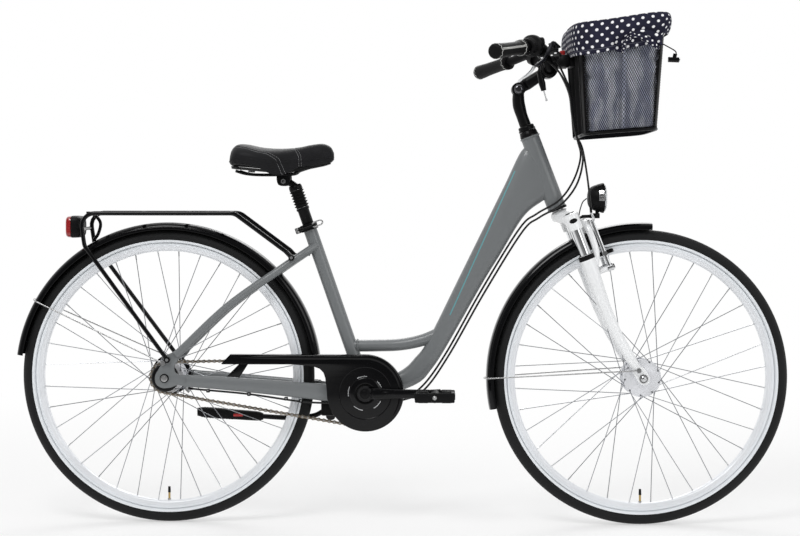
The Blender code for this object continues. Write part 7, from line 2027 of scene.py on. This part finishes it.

# %% [markdown]
# ## Cables
# Four cables are held all the way: two from the levers, one from the shifter and the
# lamp's wire. The first three end in black ferrules. The two that reach the frame are made
# in two pieces, split below the bar.

# %% Cables
FRONT_BRAKE = mm((356, 56, 1100), (380, 50, 1070), (397, 10, 1020), (400, -25, 970), (407, -33, 925),
    (423, -38, 890), (433, -48, 830), (439, -60, 770), (441.5, -62.2, 738.9))
REAR_BRAKE = mm((358, -62, 1100), (376, -60, 1068), (396, -48, 1020), (403, -44, 960), (413, -42, 910),
    (421, -40, 870), (405, -37, 815), (372, -34, 768), (320, -20, 736), (279, -8, 700), (189, -6, 553),
    (105, -4, 403), (48, 0, 324), (0, 6, 298), (-60, 15, 285.5), (-110, 30, 283), (-170, 42, 285),
    (-250, 40, 298.5), (-360, 50, 311.2), (-460, 59, 320.8), (-485, 61, 323.5))
SHIFT = mm((342, -90, 1090), (372, -74, 1060), (394, -58, 1015), (402, -53, 960), (414, -50, 905),
    (426, -48, 865), (412, -45, 805), (375, -40, 757), (325, -26, 727), (285, -16, 692), (196, -14, 548),
    (112, -12, 399), (54, -12, 318), (0, -14, 293), (-60, -18, 285.5), (-120, -27, 288.7), (-220, -36, 290.4),
    (-360, -49, 310.6), (-470, -58, 321.6), (-500, -59, 324.8))
LAMP_WIRE = mm((438.6, 4, 772), (429, 14, 760), (423, 30, 725), (434, 64, 690), (442, 77.5, 645),
    (446.9, 75.6, 592.3), (472, 73.3, 522.7), (498.4, 72.2, 462.1), (516.7, 71.7, 428.4),
    (538.3, 71.3, 391.7))
CABLE_SKIN = finish("cable_skin", (0.009, 0.009, 0.009), 0.34, specular=0.4, shade=0.2, relief=0.05)
TO_BAR = ("steering", "bar", TURN @ Vector((0.42, -0.04, 0.806)), TURN @ Vector((0.42, -0.04, 0.905)))
TO_STEERING = ("frame", "steering", BIKE @ Vector((0.32, -0.02, 0.73)), BIKE @ Vector((0.41, -0.04, 0.8)))
TO_LAMP = ("fork_lowers", "headlight", TURN @ Vector((0.423, 0.03, 0.725)),
    TURN @ Vector((0.437, 0.006, 0.769)))
SPLIT_Z = 0.803


def cable_run(name, node, line, radius, ends, bend):
    """Tube along a line with a ferrule at each free end; the bend argument is not used."""
    pieces = [wire("cable", line, radius, CABLE_SKIN, 4)]
    for a, b in ends:
        ahead_dir = (b - a).normalized()
        pieces.append(rod("ferrule", a - ahead_dir * 0.001, a + ahead_dir * 0.011, 0.003, SATIN_BLACK, 24))
    run = join(pieces, name)
    stand_for(run, node)
    first, second, start, end = bend
    tuple(start)
    tuple(end)
    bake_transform(run)


for node, points, radius, place in (("front_brake_cable", FRONT_BRAKE, 0.0024, TURN),
        ("rear_brake_cable", REAR_BRAKE, 0.0024, BIKE), ("shift_cable", SHIFT, 0.0024, BIKE),
        ("lamp_wire", LAMP_WIRE, 0.0014, TURN)):
    line = [place @ p for p in curve_points(points, 6)]
    top, low = (line[0], line[1]), (line[-1], line[-2])
    if node == "lamp_wire":
        cable_run(node + "_run", node, line, radius, (), TO_LAMP)
    elif place is TURN:
        cable_run(node + "_run", node, line, radius, (top, low), TO_BAR)
    else:
        split = next(i for i, p in enumerate(line) if (BIKE.inverted() @ p).z < SPLIT_Z)
        cable_run(node + "_upper", node, line[:split + 1], radius, (top,), TO_BAR)
        cable_run(node + "_run", node, line[split:], radius, (low,), TO_STEERING)
    length = sum((q - p).length for p, q in zip(line, line[1:]))
    print(node, "is", round(length, 3), "m long")
CLIPS = mm((-454, -56.5, 319), (-358, -49, 310.4), (-271, -40.5, 299), (-236, -37.5, 293.5), (-170, 42, 285),
    (-250, 40, 298.5), (-360, 50, 311.2))
clips = []
for x, y, z in CLIPS:
    clips.append(block((0.0085, 0.0075, 0.0085), (x, y, z), SATIN_BLACK, 0.0015, BIKE))
    if y < 0:
        clips.append(y_rod("clip_bolt", (x, y, z + 0.001), -0.0034, -0.005, 0.0022, CHROME_PLATE, 16, BIKE))
settle(join(clips, "cable_clips"), "frame")
fallen = [name for name in SLOT_OF if name not in dressed]
print("nodes still as packed:", fallen)
